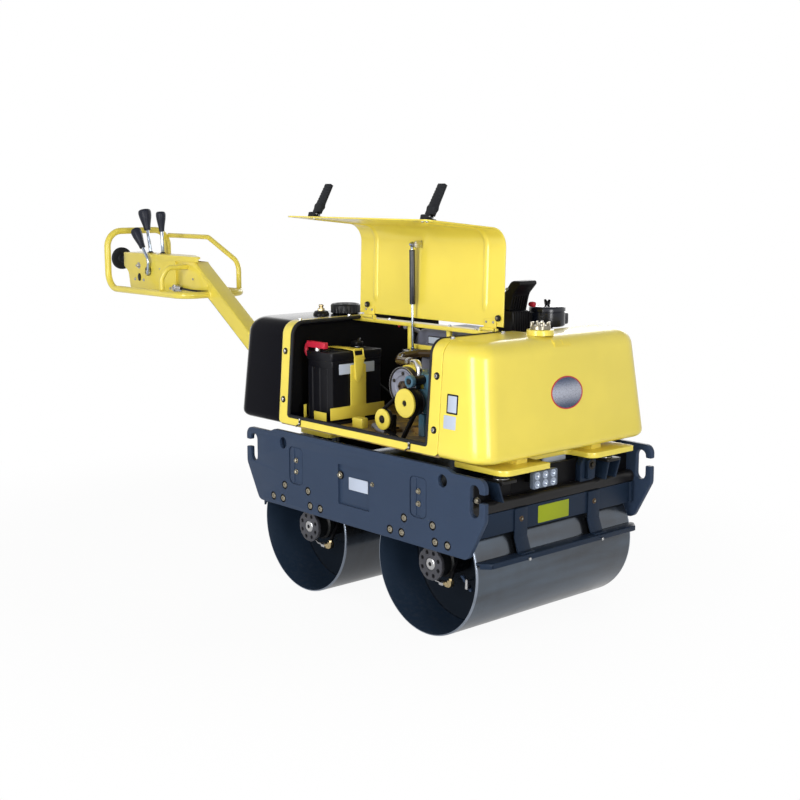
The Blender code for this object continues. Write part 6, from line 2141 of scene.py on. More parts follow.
# ---------------------------------------------------------------- engine bay
@dataclass
class Battery:
    """The battery with its ribbed case, and the yellow holder with strap, wire loop and lever."""

    low: tuple[float, float] = (-0.31, -0.28)
    high: tuple[float, float] = (-0.19, -0.084)
    top: float = 0.745
    floor: float = BAY_FLOOR

    def dress(self) -> None:
        """Build the battery with its lead, and the holder."""
        self.case()
        self.holder()

    def case(self) -> None:
        """The case's plan has three ribs on its near side, each exp(-(distance / half width)^4) high."""
        (x0, y0), (x1, y1), base = self.low, self.high, self.floor + 0.009
        share = np.linspace(0.0, 1.0, 161)
        rib = sum(np.exp(-((share - middle) / 0.022) ** 4) for middle in (0.17, 0.49, 0.82))
        near = np.stack([x0 + 0.004 + (x1 - x0 - 0.008) * share, y0 + 0.003 - 0.0028 * rib], 1)
        plan = np.concatenate([near, [(x1, y0 + 0.004), (x1, y1 - 0.004), (x1 - 0.004, y1), (x0 + 0.004, y1),
            (x0, y1 - 0.004), (x0, y0 + 0.004)]])
        piece = Piece("battery_case", PLASTIC)
        piece.add(
            slab(XY, [plan], base, self.top - 0.05, 0.0),
            slab(XY, [pill((x0 + 0.0015, y0 + 0.0022), (x1 - 0.0008, y1), 0.004, 4)], self.top - 0.0515,
                self.top - 0.024, 0.0012),
            slab(XY, [pill((x0 - 0.002, y0 - 0.002), (x1 + 0.002, y1 + 0.002), 0.006, 4)], self.top - 0.027,
                self.top - 0.001, 0.0022)
        )
        for k in range(6):
            at = (x0 + 0.06, y0 + 0.024 + k * 0.0296, self.top - 0.001)
            piece.add(lathe([(0.01, 0.0), (0.01, 0.0012), (0.0085, 0.002), (0.003, 0.002)], at, UP, 20))
        piece.make("battery")
        Piece("battery_plates", LABEL, sharp=30.0).add(
            slab(YZ, [pill((-0.2515, 0.6765), (-0.112, 0.708), 0.002, 3)], x1 - 0.0006, x1 + 0.0007, 0.0002)
        ).make()
        red = Piece("terminal_cover", RED, sharp=45.0)
        cover = fillet([(x0 - 0.012, -0.274), (x0 + 0.078, -0.274), (x0 + 0.078, -0.258),
            (x0 - 0.012, -0.258)], [0.006, 0.003, 0.003, 0.006], 6)
        red.add(slab(XY, [cover], self.top + 0.0075, self.top + 0.027, 0.003, steps=4))
        curl = fillet([(x0 - 0.004, -0.266, self.top + 0.018), (x0 - 0.022, -0.266, self.top + 0.016),
            (x0 - 0.02, -0.266, self.top - 0.012), (x0 - 0.008, -0.264, self.top - 0.024)], 0.014, 6, False)
        red.add(tube(curl, 0.0062, 14))
        red.make()
        Piece("battery_posts", ZINC, sharp=30.0).add(
            lathe([(0.0085, -0.001), (0.008, 0.006), (0.007, 0.01)], (x0 + 0.034, -0.266, self.top), UP, 24),
            lathe([(0.0085, -0.001), (0.0078, 0.011), (0.007, 0.012)], (x0 + 0.036, -0.112, self.top), UP, 24)
        ).make()
        black = Piece("battery_lead", HOSE, sharp=60.0)
        lead = fillet([(x0 + 0.036, -0.112, self.top + 0.01), (x0 + 0.02, -0.085, self.top + 0.022),
            (x0 - 0.02, -0.06, self.top), (x0 - 0.02, -0.02, 0.64), (x0 + 0.06, 0.04, 0.56)], 0.02, 6, False)
        black.add(
            tube(lead, 0.0048, 12),
            slab(XY, [pill((x0 + 0.022, -0.126), (x0 + 0.052, -0.096), 0.006, 4)], self.top + 0.002,
                self.top + 0.017, 0.003)
        )
        black.make()

    def holder(self) -> None:
        """A tray with a front band and an upright strap; a wire loop and lever pull the top strap."""
        (x0, y0), (x1, y1), floor = self.low, self.high, self.floor
        piece = Piece("battery_tray", YELLOW_INNER)
        piece.add(
            slab(XY, [pill((x0 - 0.012, y0 - 0.01), (x1 + 0.01, y1 + 0.01), 0.003, 3)], floor, floor + 0.0075,
                0.001),
            finish=SOOT
        )
        face = x1 + 0.0022
        band = fillet([(y0 - 0.009, 0.541), (y0 - 0.009, 0.5785), (-0.21, 0.5785), (-0.21, 0.7),
            (-0.206, 0.704), (-0.154, 0.704), (-0.15, 0.7), (-0.15, 0.5785), (-0.076, 0.5785),
            (-0.076, 0.541)], [0.001, 0.001, 0.003, 0.002, 0.003, 0.003, 0.002, 0.003, 0.001, 0.001], 3)
        piece.add(
            slab(YZ, [band], face, face + 0.0038, 0.0008),
            slab(YZ, [pill((-0.205, floor), (-0.155, 0.545), 0.002, 2)], face + 0.0001, face + 0.0036,
                0.0005),
            block((-0.262, y0 - 0.0135, floor + 0.001), (-0.203, y0 - 0.01, 0.563), 0.001, XZ),
            block((x0 - 0.015, y0 - 0.004, floor + 0.001), (x0 - 0.0115, y0 + 0.006, 0.574), 0.001, YZ),
            block((x0 + 0.06, y0 - 0.0135, floor), (x0 + 0.095, y0 - 0.009, floor + 0.006), 0.001, XZ)
        )
        middle = -0.186
        strap = np.array([(x0 - 0.0026, 0.56), (x0 - 0.0026, self.top + 0.0024),
            (x0 + 0.04, self.top + 0.0036), (x1 - 0.045, self.top + 0.005), (x1 + 0.01, self.top + 0.0022)])
        path = fillet(np.column_stack([strap[:, 0], np.full(5, middle), strap[:, 1]]),
            [0, 0.003, 0.01, 0.01, 0], 4, False)
        piece.add(sweep(pill((-0.015, -0.0014), (0.015, 0.0014), 0.0006, 2), path, (0.3, 0.0, 1.0)))
        lever = fillet([(-0.196, 0.66), (-0.19, 0.652), (-0.178, 0.652), (-0.166, 0.69), (-0.16, 0.722),
            (-0.164, 0.732), (-0.196, 0.732), (-0.2, 0.722)], [0.004, 0.004, 0.004, 0.004, 0.006, 0.004,
            0.004, 0.006], 4)
        piece.add(slab(YZ, [lever], face + 0.004, face + 0.0105, 0.0022, steps=3))
        piece.make("battery_holder")
        wire = Piece("holder_wire", YELLOW)
        loop = fillet([(face + 0.008, -0.197, 0.722), (x1 + 0.012, -0.204, self.top + 0.006),
            (x1 + 0.012, -0.168, self.top + 0.006), (face + 0.008, -0.162, 0.722)], 0.004, 5, False)
        wire.add(
            tube(loop, 0.0024, 10),
            bar((face + 0.0085, -0.2, 0.72), (face + 0.0085, -0.158, 0.72), 0.0026, 12),
            lathe([(0.0072, 0.0), (0.0072, 0.001), (0.0052, 0.0028), (0.002, 0.0034)],
                (face + 0.0038, -0.1665, 0.672), AHEAD, 24)
        )
        wire.make()


@dataclass
class BeltDrive:
    """Pump, flywheel, clutch and idler pulleys, and the belt round them."""

    face: float = -0.28
    thick: float = 0.022
    clutch: tuple[float, float, float] = (0.135, 0.633, 0.0415)
    idler: tuple[float, float, float] = (0.0375, 0.574, 0.031)
    flywheel: tuple[float, float, float] = (0.069, 0.668, 0.057)
    floor: float = BAY_FLOOR

    def dress(self) -> None:
        """Build the wheels, the pump and the belt."""
        self.wheels()
        self.pump()
        self.belts()

    def wheels(self) -> None:
        """Pressed discs with dark hubs; the flywheel has a guard, a bright-edged rim and a bronze hub."""
        f, t = self.face, self.thick
        for name, (x, z, r), hub in (("clutch_pulley", self.clutch, 0.0085),
                ("idler_pulley", self.idler, 0.012)):
            Piece(name + "_disc", YELLOW).add(
                lathe([(hub, 0.0015), (hub + 0.001, 0.0002), (r * 0.55, 0.0), (r - 0.003, 0.0006),
                    (r - 0.0008, 0.0012), (r, 0.0025), (r, 0.0062), (r - 0.0015, 0.007), (r - 0.008, 0.0074),
                    (r - 0.009, 0.011), (hub, 0.011)], (x, f, z), LEFT, 56, closed=True)
            ).make(name)
            dark = Piece(name + "_hub", GREASY)
            deep = t if name == "idler_pulley" else 0.046
            dark.add(
                lathe([(r - 0.01, 0.0075), (r - 0.0008, 0.0078), (r - 0.0045, 0.012), (r - 0.0008, 0.0165),
                    (r - 0.001, deep - 0.01), (r - 0.004, deep - 0.008), (r - 0.0015, deep - 0.006),
                    (r - 0.003, deep), (0.012, deep)], (x, f, z), LEFT, 64),
                finish=GREASY if name == "idler_pulley" else SOOT
            )
            dark.add(
                lathe([(hub - 0.0008, 0.0012), (hub - 0.0008, 0.01)], (x, f, z), LEFT, 32),
                hex_bolt((x, f + 0.0015, z), RIGHT, 0.0095 if hub < 0.01 else 0.013, 0.003, hub * 0.82)
            )
            if name == "idler_pulley":
                dark.add(
                    block((x - 0.01, f + t + 0.016, self.floor), (x + 0.01, f + t + 0.028, z + 0.01), 0.002,
                        XZ),
                    bar((x, f + t - 0.002, z), (x, f + t + 0.03, z), 0.009, 20)
                )
            else:
                dark.add(bar((x, f + t - 0.002, z), (x, -0.222, z), 0.0115, 24))
            dark.make(slot="grey")
        x, z, r = self.flywheel
        at = (x, f + 0.052, z)
        wheel = Piece("flywheel_disc", CASTING)
        wheel.add(
            lathe([(0.016, 0.004), (0.03, 0.004), (0.033, 0.0015), (0.044, 0.0015), (0.046, 0.004),
                (r - 0.0045, 0.004), (r - 0.0045, 0.02), (0.016, 0.02)], at, LEFT, 72, closed=True),
            lathe([(0.014, 0.018), (0.014, 0.222)], at, LEFT, 32)
        )
        for u, v in spread((x, z), 0.0385, 5, 0.2):
            wheel.add(
                lathe([(0.0055, 0.0), (0.0055, 0.003), (0.004, 0.0034)], (u, at[1] + 0.0022, v), RIGHT, 16),
                finish=GREASY
            )
        wheel.make("flywheel")
        Piece("flywheel_rim", GREASY).add(
            lathe([(r - 0.0046, 0.001), (r - 0.0035, 0.0), (r - 0.0008, 0.0), (r, 0.001), (r, 0.0205),
                (r - 0.001, 0.0215), (r - 0.0046, 0.0215)], at, LEFT, 96, closed=True)
        ).add(
            lathe([(r - 0.0009, 0.0004), (r + 0.0003, 0.0004), (r + 0.0003, 0.0022), (r - 0.0009, 0.0022)],
                at, LEFT, 96, True),
            finish=ZINC
        ).make()
        guard = Piece("flywheel_guard", YELLOW_INNER)
        arc = np.linspace(-0.25, 2.0, 26)
        band = np.concatenate([np.stack([x + (r + 0.004) * np.cos(arc), z + (r + 0.004) * np.sin(arc)], 1),
            np.stack([x + (r - 0.014) * np.cos(arc[::-1]), z + (r - 0.014) * np.sin(arc[::-1])], 1)])
        guard.add(slab(XZ, [band], at[1] + 0.0235, at[1] + 0.05, 0.001))
        guard.make()
        hub = Piece("flywheel_hub", BRONZE)
        hub.add(lathe([(0.0165, 0.006), (0.0165, -0.001), (0.015, -0.0028), (0.0085, -0.0028),
            (0.008, -0.001), (0.004, -0.001)], at, LEFT, 36))
        for u, v in spread((x, z), 0.012, 4):
            hub.add(hex_bolt((u, at[1] - 0.0026, v), RIGHT, 0.0052, 0.0022), finish=GREASY)
        hub.make()

    def pump(self) -> None:
        """A blue cast case with a flange, ports and feet, and the suction elbow with its hose and clamps."""
        blue = Piece("pump_case", PUMP, sharp=40.0)
        body = fillet([(0.105, 0.585), (0.195, 0.585), (0.195, 0.715), (0.105, 0.715)],
            [0.012, 0.012, 0.03, 0.03], 6)
        blue.add(slab(XZ, [body], -0.1, -0.16, 0.004, steps=3))
        inner = fillet([(0.112, 0.592), (0.19, 0.592), (0.19, 0.708), (0.112, 0.708)], 0.024, 6)
        blue.add(slab(XZ, [inner], -0.158, -0.2, 0.005, steps=3))
        flange = fillet([(0.098, 0.6), (0.15, 0.588), (0.2, 0.612), (0.197, 0.69), (0.15, 0.718),
            (0.1, 0.69)], 0.018, 5)
        blue.add(
            slab(XZ, [flange], -0.17, -0.18, 0.002, steps=3),
            lathe([(0.034, 0.0), (0.034, 0.014), (0.03, 0.02), (0.02, 0.026)], (0.135, -0.198, 0.633), RIGHT,
                40),
            lathe([(0.02, 0.0), (0.021, 0.028), (0.017, 0.031), (0.012, 0.031)], (0.128, -0.15, 0.69),
                (0.0, -0.55, 0.42), 28)
        )
        blue.add(bar((0.1275, -0.195, 0.6915), (0.1275, -0.242, 0.6915), 0.0135, 24), finish=SOOT)
        blue.add(
            lathe([(0.012, -0.001), (0.0175, 0.0), (0.018, 0.001), (0.018, 0.012), (0.0165, 0.014),
                (0.011, 0.014), (0.01, 0.011)], (0.1275, -0.242, 0.6915), RIGHT, 32),
            slab(XZ, [fillet([(0.07, 0.665), (0.12, 0.65), (0.128, 0.712), (0.075, 0.716)], 0.012, 4)], -0.15,
                -0.2, 0.003, steps=2)
        )
        for x in (0.112, 0.16):
            blue.add(block((x, -0.205, self.floor), (x + 0.024, -0.12, 0.592), 0.003, XZ))
        blue.make("pump")
        bolts = Piece("pump_bolts", GREASY, sharp=25.0)
        for x, z in ((0.106, 0.606), (0.15, 0.597), (0.19, 0.618), (0.188, 0.684), (0.15, 0.708),
                (0.108, 0.684)):
            bolts.add(hex_bolt((x, -0.1802, z), RIGHT, 0.01, 0.005, 0.0075))
        bolts.add(lathe([(0.0085, -0.002), (0.0085, 0.004), (0.0072, 0.005)], (0.1275, -0.2535, 0.6915),
            RIGHT, 6))
        bolts.make(slot="grey")
        pipes = Piece("suction_elbow", ALUMINIUM, sharp=50.0)
        path = fillet([(0.052, -0.1765, 0.7325), (0.112, -0.2, 0.7395), (0.112, -0.2, 0.695)], [0, 0.024, 0],
            10, False)
        pipes.add(
            tube(path, 0.0098, 28, hint=(0.4, 0.9, 0.1)),
            lathe([(0.0098, 0.0), (0.0115, 0.001), (0.0115, 0.005), (0.0098, 0.006)],
                path[-1] + np.array([0.0, 0.0, -0.002]), UP, 32)
        )
        pipes.add(
            lathe([(0.01, 0.0), (0.0126, 0.003), (0.0126, 0.017), (0.0112, 0.02)],
                path[-1] + np.array([0.004, 0.004, -0.0215]), UP, 6),
            finish=GREASY
        )
        pipes.add(
            lathe([(0.0078, 0.0), (0.0078, 0.009), (0.0066, 0.011)], path[-1]
                + np.array([-0.007, 0.0, -0.029]), UP, 6),
            finish=BRASS
        )
        pipes.add(
            bar(path[-1] - np.array([0.0, 0.0, 0.018]), path[-1] - np.array([0.0, 0.0, 0.08]), 0.0075, 20),
            finish=PUMP
        )
        pipes.make()
        hose = Piece("suction_hose", HOSE_BROWN, sharp=60.0)
        line = fillet([(0.056, -0.178, 0.733), (0.01, -0.163, 0.73), (-0.034, -0.15, 0.7265),
            (-0.058, -0.118, 0.735), (-0.044, -0.062, 0.74), (-0.004, -0.03, 0.74)], 0.026, 8, False)
        hose.add(tube(line, 0.012, 28))
        hose.make()
        clamp = Piece("hose_clamp", ZINC, sharp=30.0)
        for start in (0.048, 0.041):
            clamp.add(lathe([(0.0121, 0.0), (0.0134, 0.0005), (0.0134, 0.004), (0.0121, 0.0045)],
                (start, -0.1665 - start * 0.2, 0.7325), (-0.94, 0.32, -0.06), 32, True))
        clamp.make()

    def belts(self) -> None:
        """The belt round its wheels: common tangents and arcs, with a wedge profile carried on them."""
        wheels = [(x, z, r - 0.004) for x, z, r in (self.clutch, self.idler)] + [(0.1, 0.53, 0.012)]
        wedge = pill((-0.0036, -0.0072), (0.0036, 0.0072), 0.0012, 2)
        Piece("drive_belts", BELT, sharp=40.0).add(
            sweep(wedge, self.around(wheels, self.face + 0.0165), LEFT, closed=True)
        ).make()

    def around(self, wheels: Sequence[tuple[float, float, float]], y: float) -> Array:
        """A belt's path: arcs on the wheels between the outer tangents.

        Between two wheels the tangent's normal is turned from the centre line's own by
        asin((r1 - r2) / distance).

        Args:
            wheels: Each wheel's X, Z and radius.
            y: Where the belt runs.

        Returns:
            The closed path.
        """
        at = np.array(wheels)
        order = at if turning(at[:, :2]) > 0 else at[::-1]
        after = np.roll(order, -1, 0)
        gap = after[:, :2] - order[:, :2]
        reach = np.linalg.norm(gap, axis=1)
        angle = np.arctan2(gap[:, 1], gap[:, 0]) - math.pi / 2 + np.arcsin(
            (order[:, 2] - after[:, 2]) / reach)
        start = np.roll(angle, 1)
        sweep_by = np.mod(angle - start, TAU)
        share = np.linspace(0.0, 1.0, 15)
        turn = start[:, None] + sweep_by[:, None] * share
        rows = order[:, None, :2] + order[:, None, 2:] * np.stack([np.cos(turn), np.sin(turn)], -1)
        flat = rows.reshape(-1, 2)
        return np.column_stack([flat[:, 0], np.full(len(flat), y), flat[:, 1]])


@dataclass
class Engine:
    """Engine block with fins, cowling, muffler with guard, air cleaner and small red fittings."""

    low: tuple[float, float, float] = (-0.12, 0.0, 0.552)
    high: tuple[float, float, float] = (0.25, 0.25, 0.72)
    floor: float = BAY_FLOOR
    cleaner: tuple[float, float] = (0.216, 0.225)

    def dress(self) -> None:
        """Build each group."""
        self.block()
        self.cowl()
        self.guard()
        self.air_cleaner()
        self.floor_tray()

    def block(self) -> None:
        """The crankcase with stacked cooling fins on its near side and a cover with bolts."""
        (x0, y0, z0), (x1, y1, z1) = self.low, self.high
        piece = Piece("crankcase", CASTING)
        piece.add(block((x0 + 0.006, y0 + 0.012, z0), (x1, y1, z1 - 0.004), 0.008))
        for k in range(9):
            z = z0 + 0.02 + k * 0.0155
            piece.add(slab(XY, [pill((x0 + 0.12, y0), (x1 - 0.012, y0 + 0.06), 0.006, 3)], z, z + 0.0045,
                0.001))
        cover = ring(x0 + 0.07, (z0 + z1) / 2 - 0.01, 0.055, 40)
        piece.add(slab(XZ, [cover], y0 + 0.014, y0 + 0.0008, 0.004, steps=3))
        for y in (y0 + 0.02, y1 - 0.07):
            piece.add(block((x0, y, self.floor), (x1, y + 0.05, z0 + 0.006), 0.002))
        piece.make("engine_block")
        bolts = Piece("crankcase_bolts", GREASY, sharp=25.0)
        for u, v in spread((x0 + 0.07, (z0 + z1) / 2 - 0.01), 0.046, 6):
            bolts.add(hex_bolt((u, y0 + 0.0012, v), RIGHT, 0.009, 0.004))
        bolts.make(slot="grey")

    def cowl(self) -> None:
        """The moulded fan cowling, a blank plate with a dark rim, and a red tap lever on its stem."""
        z1 = self.high[2] + GAP
        piece = Piece("fan_cowl", COWL, sharp=40.0)
        outline = fillet([(-0.126, z1), (0.185, z1), (0.185, 0.808), (-0.126, 0.808)],
            [0.002, 0.002, 0.03, 0.045], 8)
        piece.add(slab(XZ, [outline], 0.19, -0.004, 0.012, steps=5))
        raised = fillet([(-0.06, z1 + 0.006), (0.05, z1 + 0.006), (0.064, 0.76), (0.03, 0.79), (-0.04, 0.79),
            (-0.074, 0.76)], 0.014, 5)
        piece.add(slab(XZ, [raised], 0.0, -0.0118, 0.005, steps=3))
        piece.make("engine_shroud")
        Piece("cowl_plate", LABEL, sharp=30.0).add(
            slab(XZ, [pill((-0.054, 0.764), (0.04, 0.789), 0.002, 3)], -0.0112, -0.0121, 0.0003),
            finish=PLASTIC
        ).add(slab(XZ, [pill((-0.051, 0.7665), (0.037, 0.7865), 0.0015, 3)], -0.0115, -0.0128, 0.0003)).make()
        red = Piece("fuel_tap", RED, sharp=45.0)
        path = fillet([(-0.128, -0.04, 0.816), (-0.144, -0.036, 0.824), (-0.166, -0.03, 0.812)], 0.008, 5,
            False)
        red.add(tube(path, 0.005, 12))
        red.add(
            bar((-0.128, -0.042, 0.814), (-0.128, -0.02, 0.814), 0.0085, 20, 0.002),
            bar((-0.128, -0.024, 0.812), (-0.104, 0.01, 0.79), 0.006, 16, 0.002),
            finish=CASTING
        )
        red.make()

    def guard(self) -> None:
        """Muffler with stamped ribs and the hooded guard with slots, its crown bent forward."""
        black = Piece("muffler", SOOT, sharp=40.0)
        black.add(block((0.085, 0.088, 0.8004), (0.203, 0.165, 0.876), 0.01))
        for k in range(7):
            y = 0.0955 + k * 0.0103
            black.add(block((0.2, y, 0.804), (0.2052, y + 0.006, 0.872), 0.002, YZ))
        front = 0.19
        foot = 0.874
        rows = [(front - 0.075, foot), (front, foot), (front + 0.007, foot + 0.03),
            (front + 0.013, foot + 0.051), (front + 0.041, 0.954), (front + 0.039, 0.964),
            (front + 0.004, 0.964), (front - 0.022, 0.93), (front - 0.055, foot + 0.02)]
        loop = fillet(rows, [0.002, 0.002, 0.03, 0.03, 0.004, 0.006, 0.022, 0.03, 0.02], 8)
        black.add(slab(XZ, [loop], 0.09, 0.163, 0.004, steps=3))
        for k in range(6):
            y = 0.0985 + k * 0.0103
            path = np.array([(front + 0.0015, y, foot + 0.004), (front + 0.0072, y, foot + 0.026),
                (front + 0.012, y, foot + 0.044)])
            black.add(sweep(pill((-0.0026, -0.002), (0.0026, 0.002), 0.001, 2), path, LEFT))
        black.make("muffler_guard")
        bits = Piece("guard_bolts", ZINC, sharp=25.0)
        for x, z in ((front - 0.046, foot + 0.034), (front - 0.012, 0.9385)):
            bits.add(hex_bolt((x, 0.0902, z), RIGHT, 0.007, 0.0034, 0.005))
        bits.make()
        Piece("guard_knob", RED, sharp=45.0).add(
            lathe([(0.006, 0.0), (0.0075, 0.004), (0.0085, 0.014), (0.0075, 0.019), (0.004, 0.02)],
                (0.212, 0.152, 0.893), AHEAD, 24)
        ).make()

    def air_cleaner(self) -> None:
        """A round two-part housing with a ribbed lid, a wing nut and a snorkel box."""
        x, y = self.cleaner
        Piece("cleaner_housing", GLOSS_BLACK, sharp=40.0).add(
            lathe([(0.018, 0.7204), (0.018, 0.823), (0.051, 0.824), (0.054, 0.827), (0.0545, 0.866),
                (0.0532, 0.8675), (0.0532, 0.869), (0.055, 0.87), (0.055, 0.879), (0.052, 0.883),
                (0.046, 0.8845), (0.04, 0.8835), (0.03, 0.886), (0.012, 0.888)], (x, y, 0.0), UP, 64),
            block((x - 0.03, y + 0.03, 0.826), (x + 0.03, y + 0.066, 0.862), 0.006)
        ).make("air_cleaner")
        nut = Piece("cleaner_nut", PLASTIC)
        nut.add(lathe([(0.009, 0.0), (0.009, 0.003), (0.006, 0.0045), (0.005, 0.009), (0.004, 0.0095)],
            (x, y, 0.8878), UP, 24))
        wing = fillet([(-0.011, 0.003), (-0.0125, 0.0145), (-0.006, 0.015), (0.0, 0.0085), (0.006, 0.015),
            (0.0125, 0.0145), (0.011, 0.003)], [0.001, 0.003, 0.003, 0.002, 0.003, 0.003, 0.001], 4)
        nut.add(slab(XZ, [wing + np.array([x, 0.8885])], y - 0.0016, y + 0.0016, 0.0008))
        nut.make()

    def floor_tray(self) -> None:
        """The bay's oily floor with small castings, a block and a hose on it."""
        piece = Piece("bay_floor", OILY)
        sheet, room = Bay.sheet, 0.0044
        half = SKIN.half - sheet - room
        piece.add(slab(XY, [pill((-0.3655, -half), (0.3445, half), 0.004, 3)], 0.516, 0.526, 0.001))
        for x, y, r, high in ((0.052, -0.15, 0.021, 0.013), (0.088, -0.176, 0.015, 0.02),
                (0.012, -0.196, 0.017, 0.009), (0.094, -0.12, 0.024, 0.01)):
            piece.add(
                lathe([(r, 0.0), (r, high - 0.003), (r - 0.003, high), (r * 0.45, high),
                    (r * 0.4, high - 0.004), (0.002, high - 0.004)], (x, y, 0.5258), UP, 28),
                finish=AMBER
            )
            piece.add(hex_bolt((x + r * 0.3, y - r * 0.3, 0.5256 + high), UP, 0.009, 0.005), finish=GREASY)
        piece.add(block((-0.13, -0.252, 0.5258), (-0.085, -0.226, 0.556), 0.003), finish=YELLOW_INNER)
        hose = fillet([(-0.075, -0.215, 0.532), (-0.052, -0.232, 0.54), (-0.02, -0.244, 0.533),
            (0.02, -0.25, 0.53)], 0.02, 6, False)
        piece.add(tube(hose, 0.0065, 14), finish=CASTING)
        piece.make("floor_tray")


@dataclass
class HingeFrame:
    """Rail on two posts, with the hinge lugs and pin, a cross bar and the strut's lower stud."""

    rail_y: tuple[float, float] = (-0.0525, -0.014)
    rail_top: float = 0.8286
    ends: tuple[float, float] = (-0.3656, 0.3446)
    posts: tuple[float, float] = (-0.11, 0.062)
    post: float = 0.015
    hinge: tuple[float, float] = Hood.hinge
    knuckles: tuple[float, float] = Hood.knuckles
    leaf: float = Hood.leaf
    strut: tuple[float, float, float] = (-0.068, -0.062, 0.742)

    def dress(self) -> None:
        """Build the frame and its bolts."""
        y0, y1 = self.rail_y
        middle, half = (y0 + y1) / 2, self.post / 2
        piece = Piece("hinge_rail", YELLOW)
        piece.add(slab(YZ, [pill((y0, self.rail_top - 0.012), (y1, self.rail_top), 0.0025, 3)], *self.ends,
            0.001))
        piece.add(
            block((self.posts[0] - 0.005, middle - 0.005, BAY_FLOOR), (self.posts[0] + 0.005, middle + 0.005,
                0.74), 0.001),
            finish=SOOT
        )
        for x, low in zip(self.posts, (0.7385, 0.7)):
            piece.add(slab(XY, [pill((x - half, middle - half), (x + half, middle + half), 0.004, 5)], low,
                self.rail_top - 0.002, 0.0006))
        x = self.posts[1]
        piece.add(
            block((x - half, middle, 0.7), (x + half, -0.0004, 0.715), 0.002),
            block((self.posts[0], middle - 0.006, 0.7485), (x, middle + 0.006, 0.763), 0.002, YZ)
        )
        y, z = self.hinge
        lug = fillet([(y - 0.005, self.rail_top - 0.004), (y + 0.005, self.rail_top - 0.004),
            (y + 0.005, z + 0.005), (y - 0.005, z + 0.005)], [0, 0, 0.0048, 0.0048], 6)
        beside = self.leaf / 2 + 0.003
        for x in self.knuckles:
            for start in (x - beside - 0.006, x + beside):
                piece.add(slab(YZ, [lug], start, start + 0.006, 0.0008))
            piece.add(bar((x - beside - 0.005, y, z), (x + beside + 0.005, y, z), 0.003, 20), finish=ZINC)
        sx, sy, sz = self.strut
        post = self.posts[0]
        piece.add(bar((post, middle, sz), (post, sy - 0.004, sz), 0.0048, 18, 0.001), finish=GREASY)
        piece.add(
            bar((post, sy, sz), (sx - 0.0046, sy, sz), 0.0045, 20),
            bar((sx - 0.0048, sy, sz), (sx + 0.0052, sy, sz), 0.0028, 16),
            hex_bolt((sx + 0.0046, sy, sz), AHEAD, 0.009, 0.004, 0.006),
            finish=ZINC
        )
        piece.make("hinge_frame")
        bolts = Piece("hinge_rail_bolts", ZINC, sharp=25.0)
        for x in (-0.205, -0.1, 0.065, 0.175, 0.325):
            bolts.add(hex_bolt((x, middle - 0.002, self.rail_top), UP, 0.008, 0.0035, 0.0065))
        bolts.make()


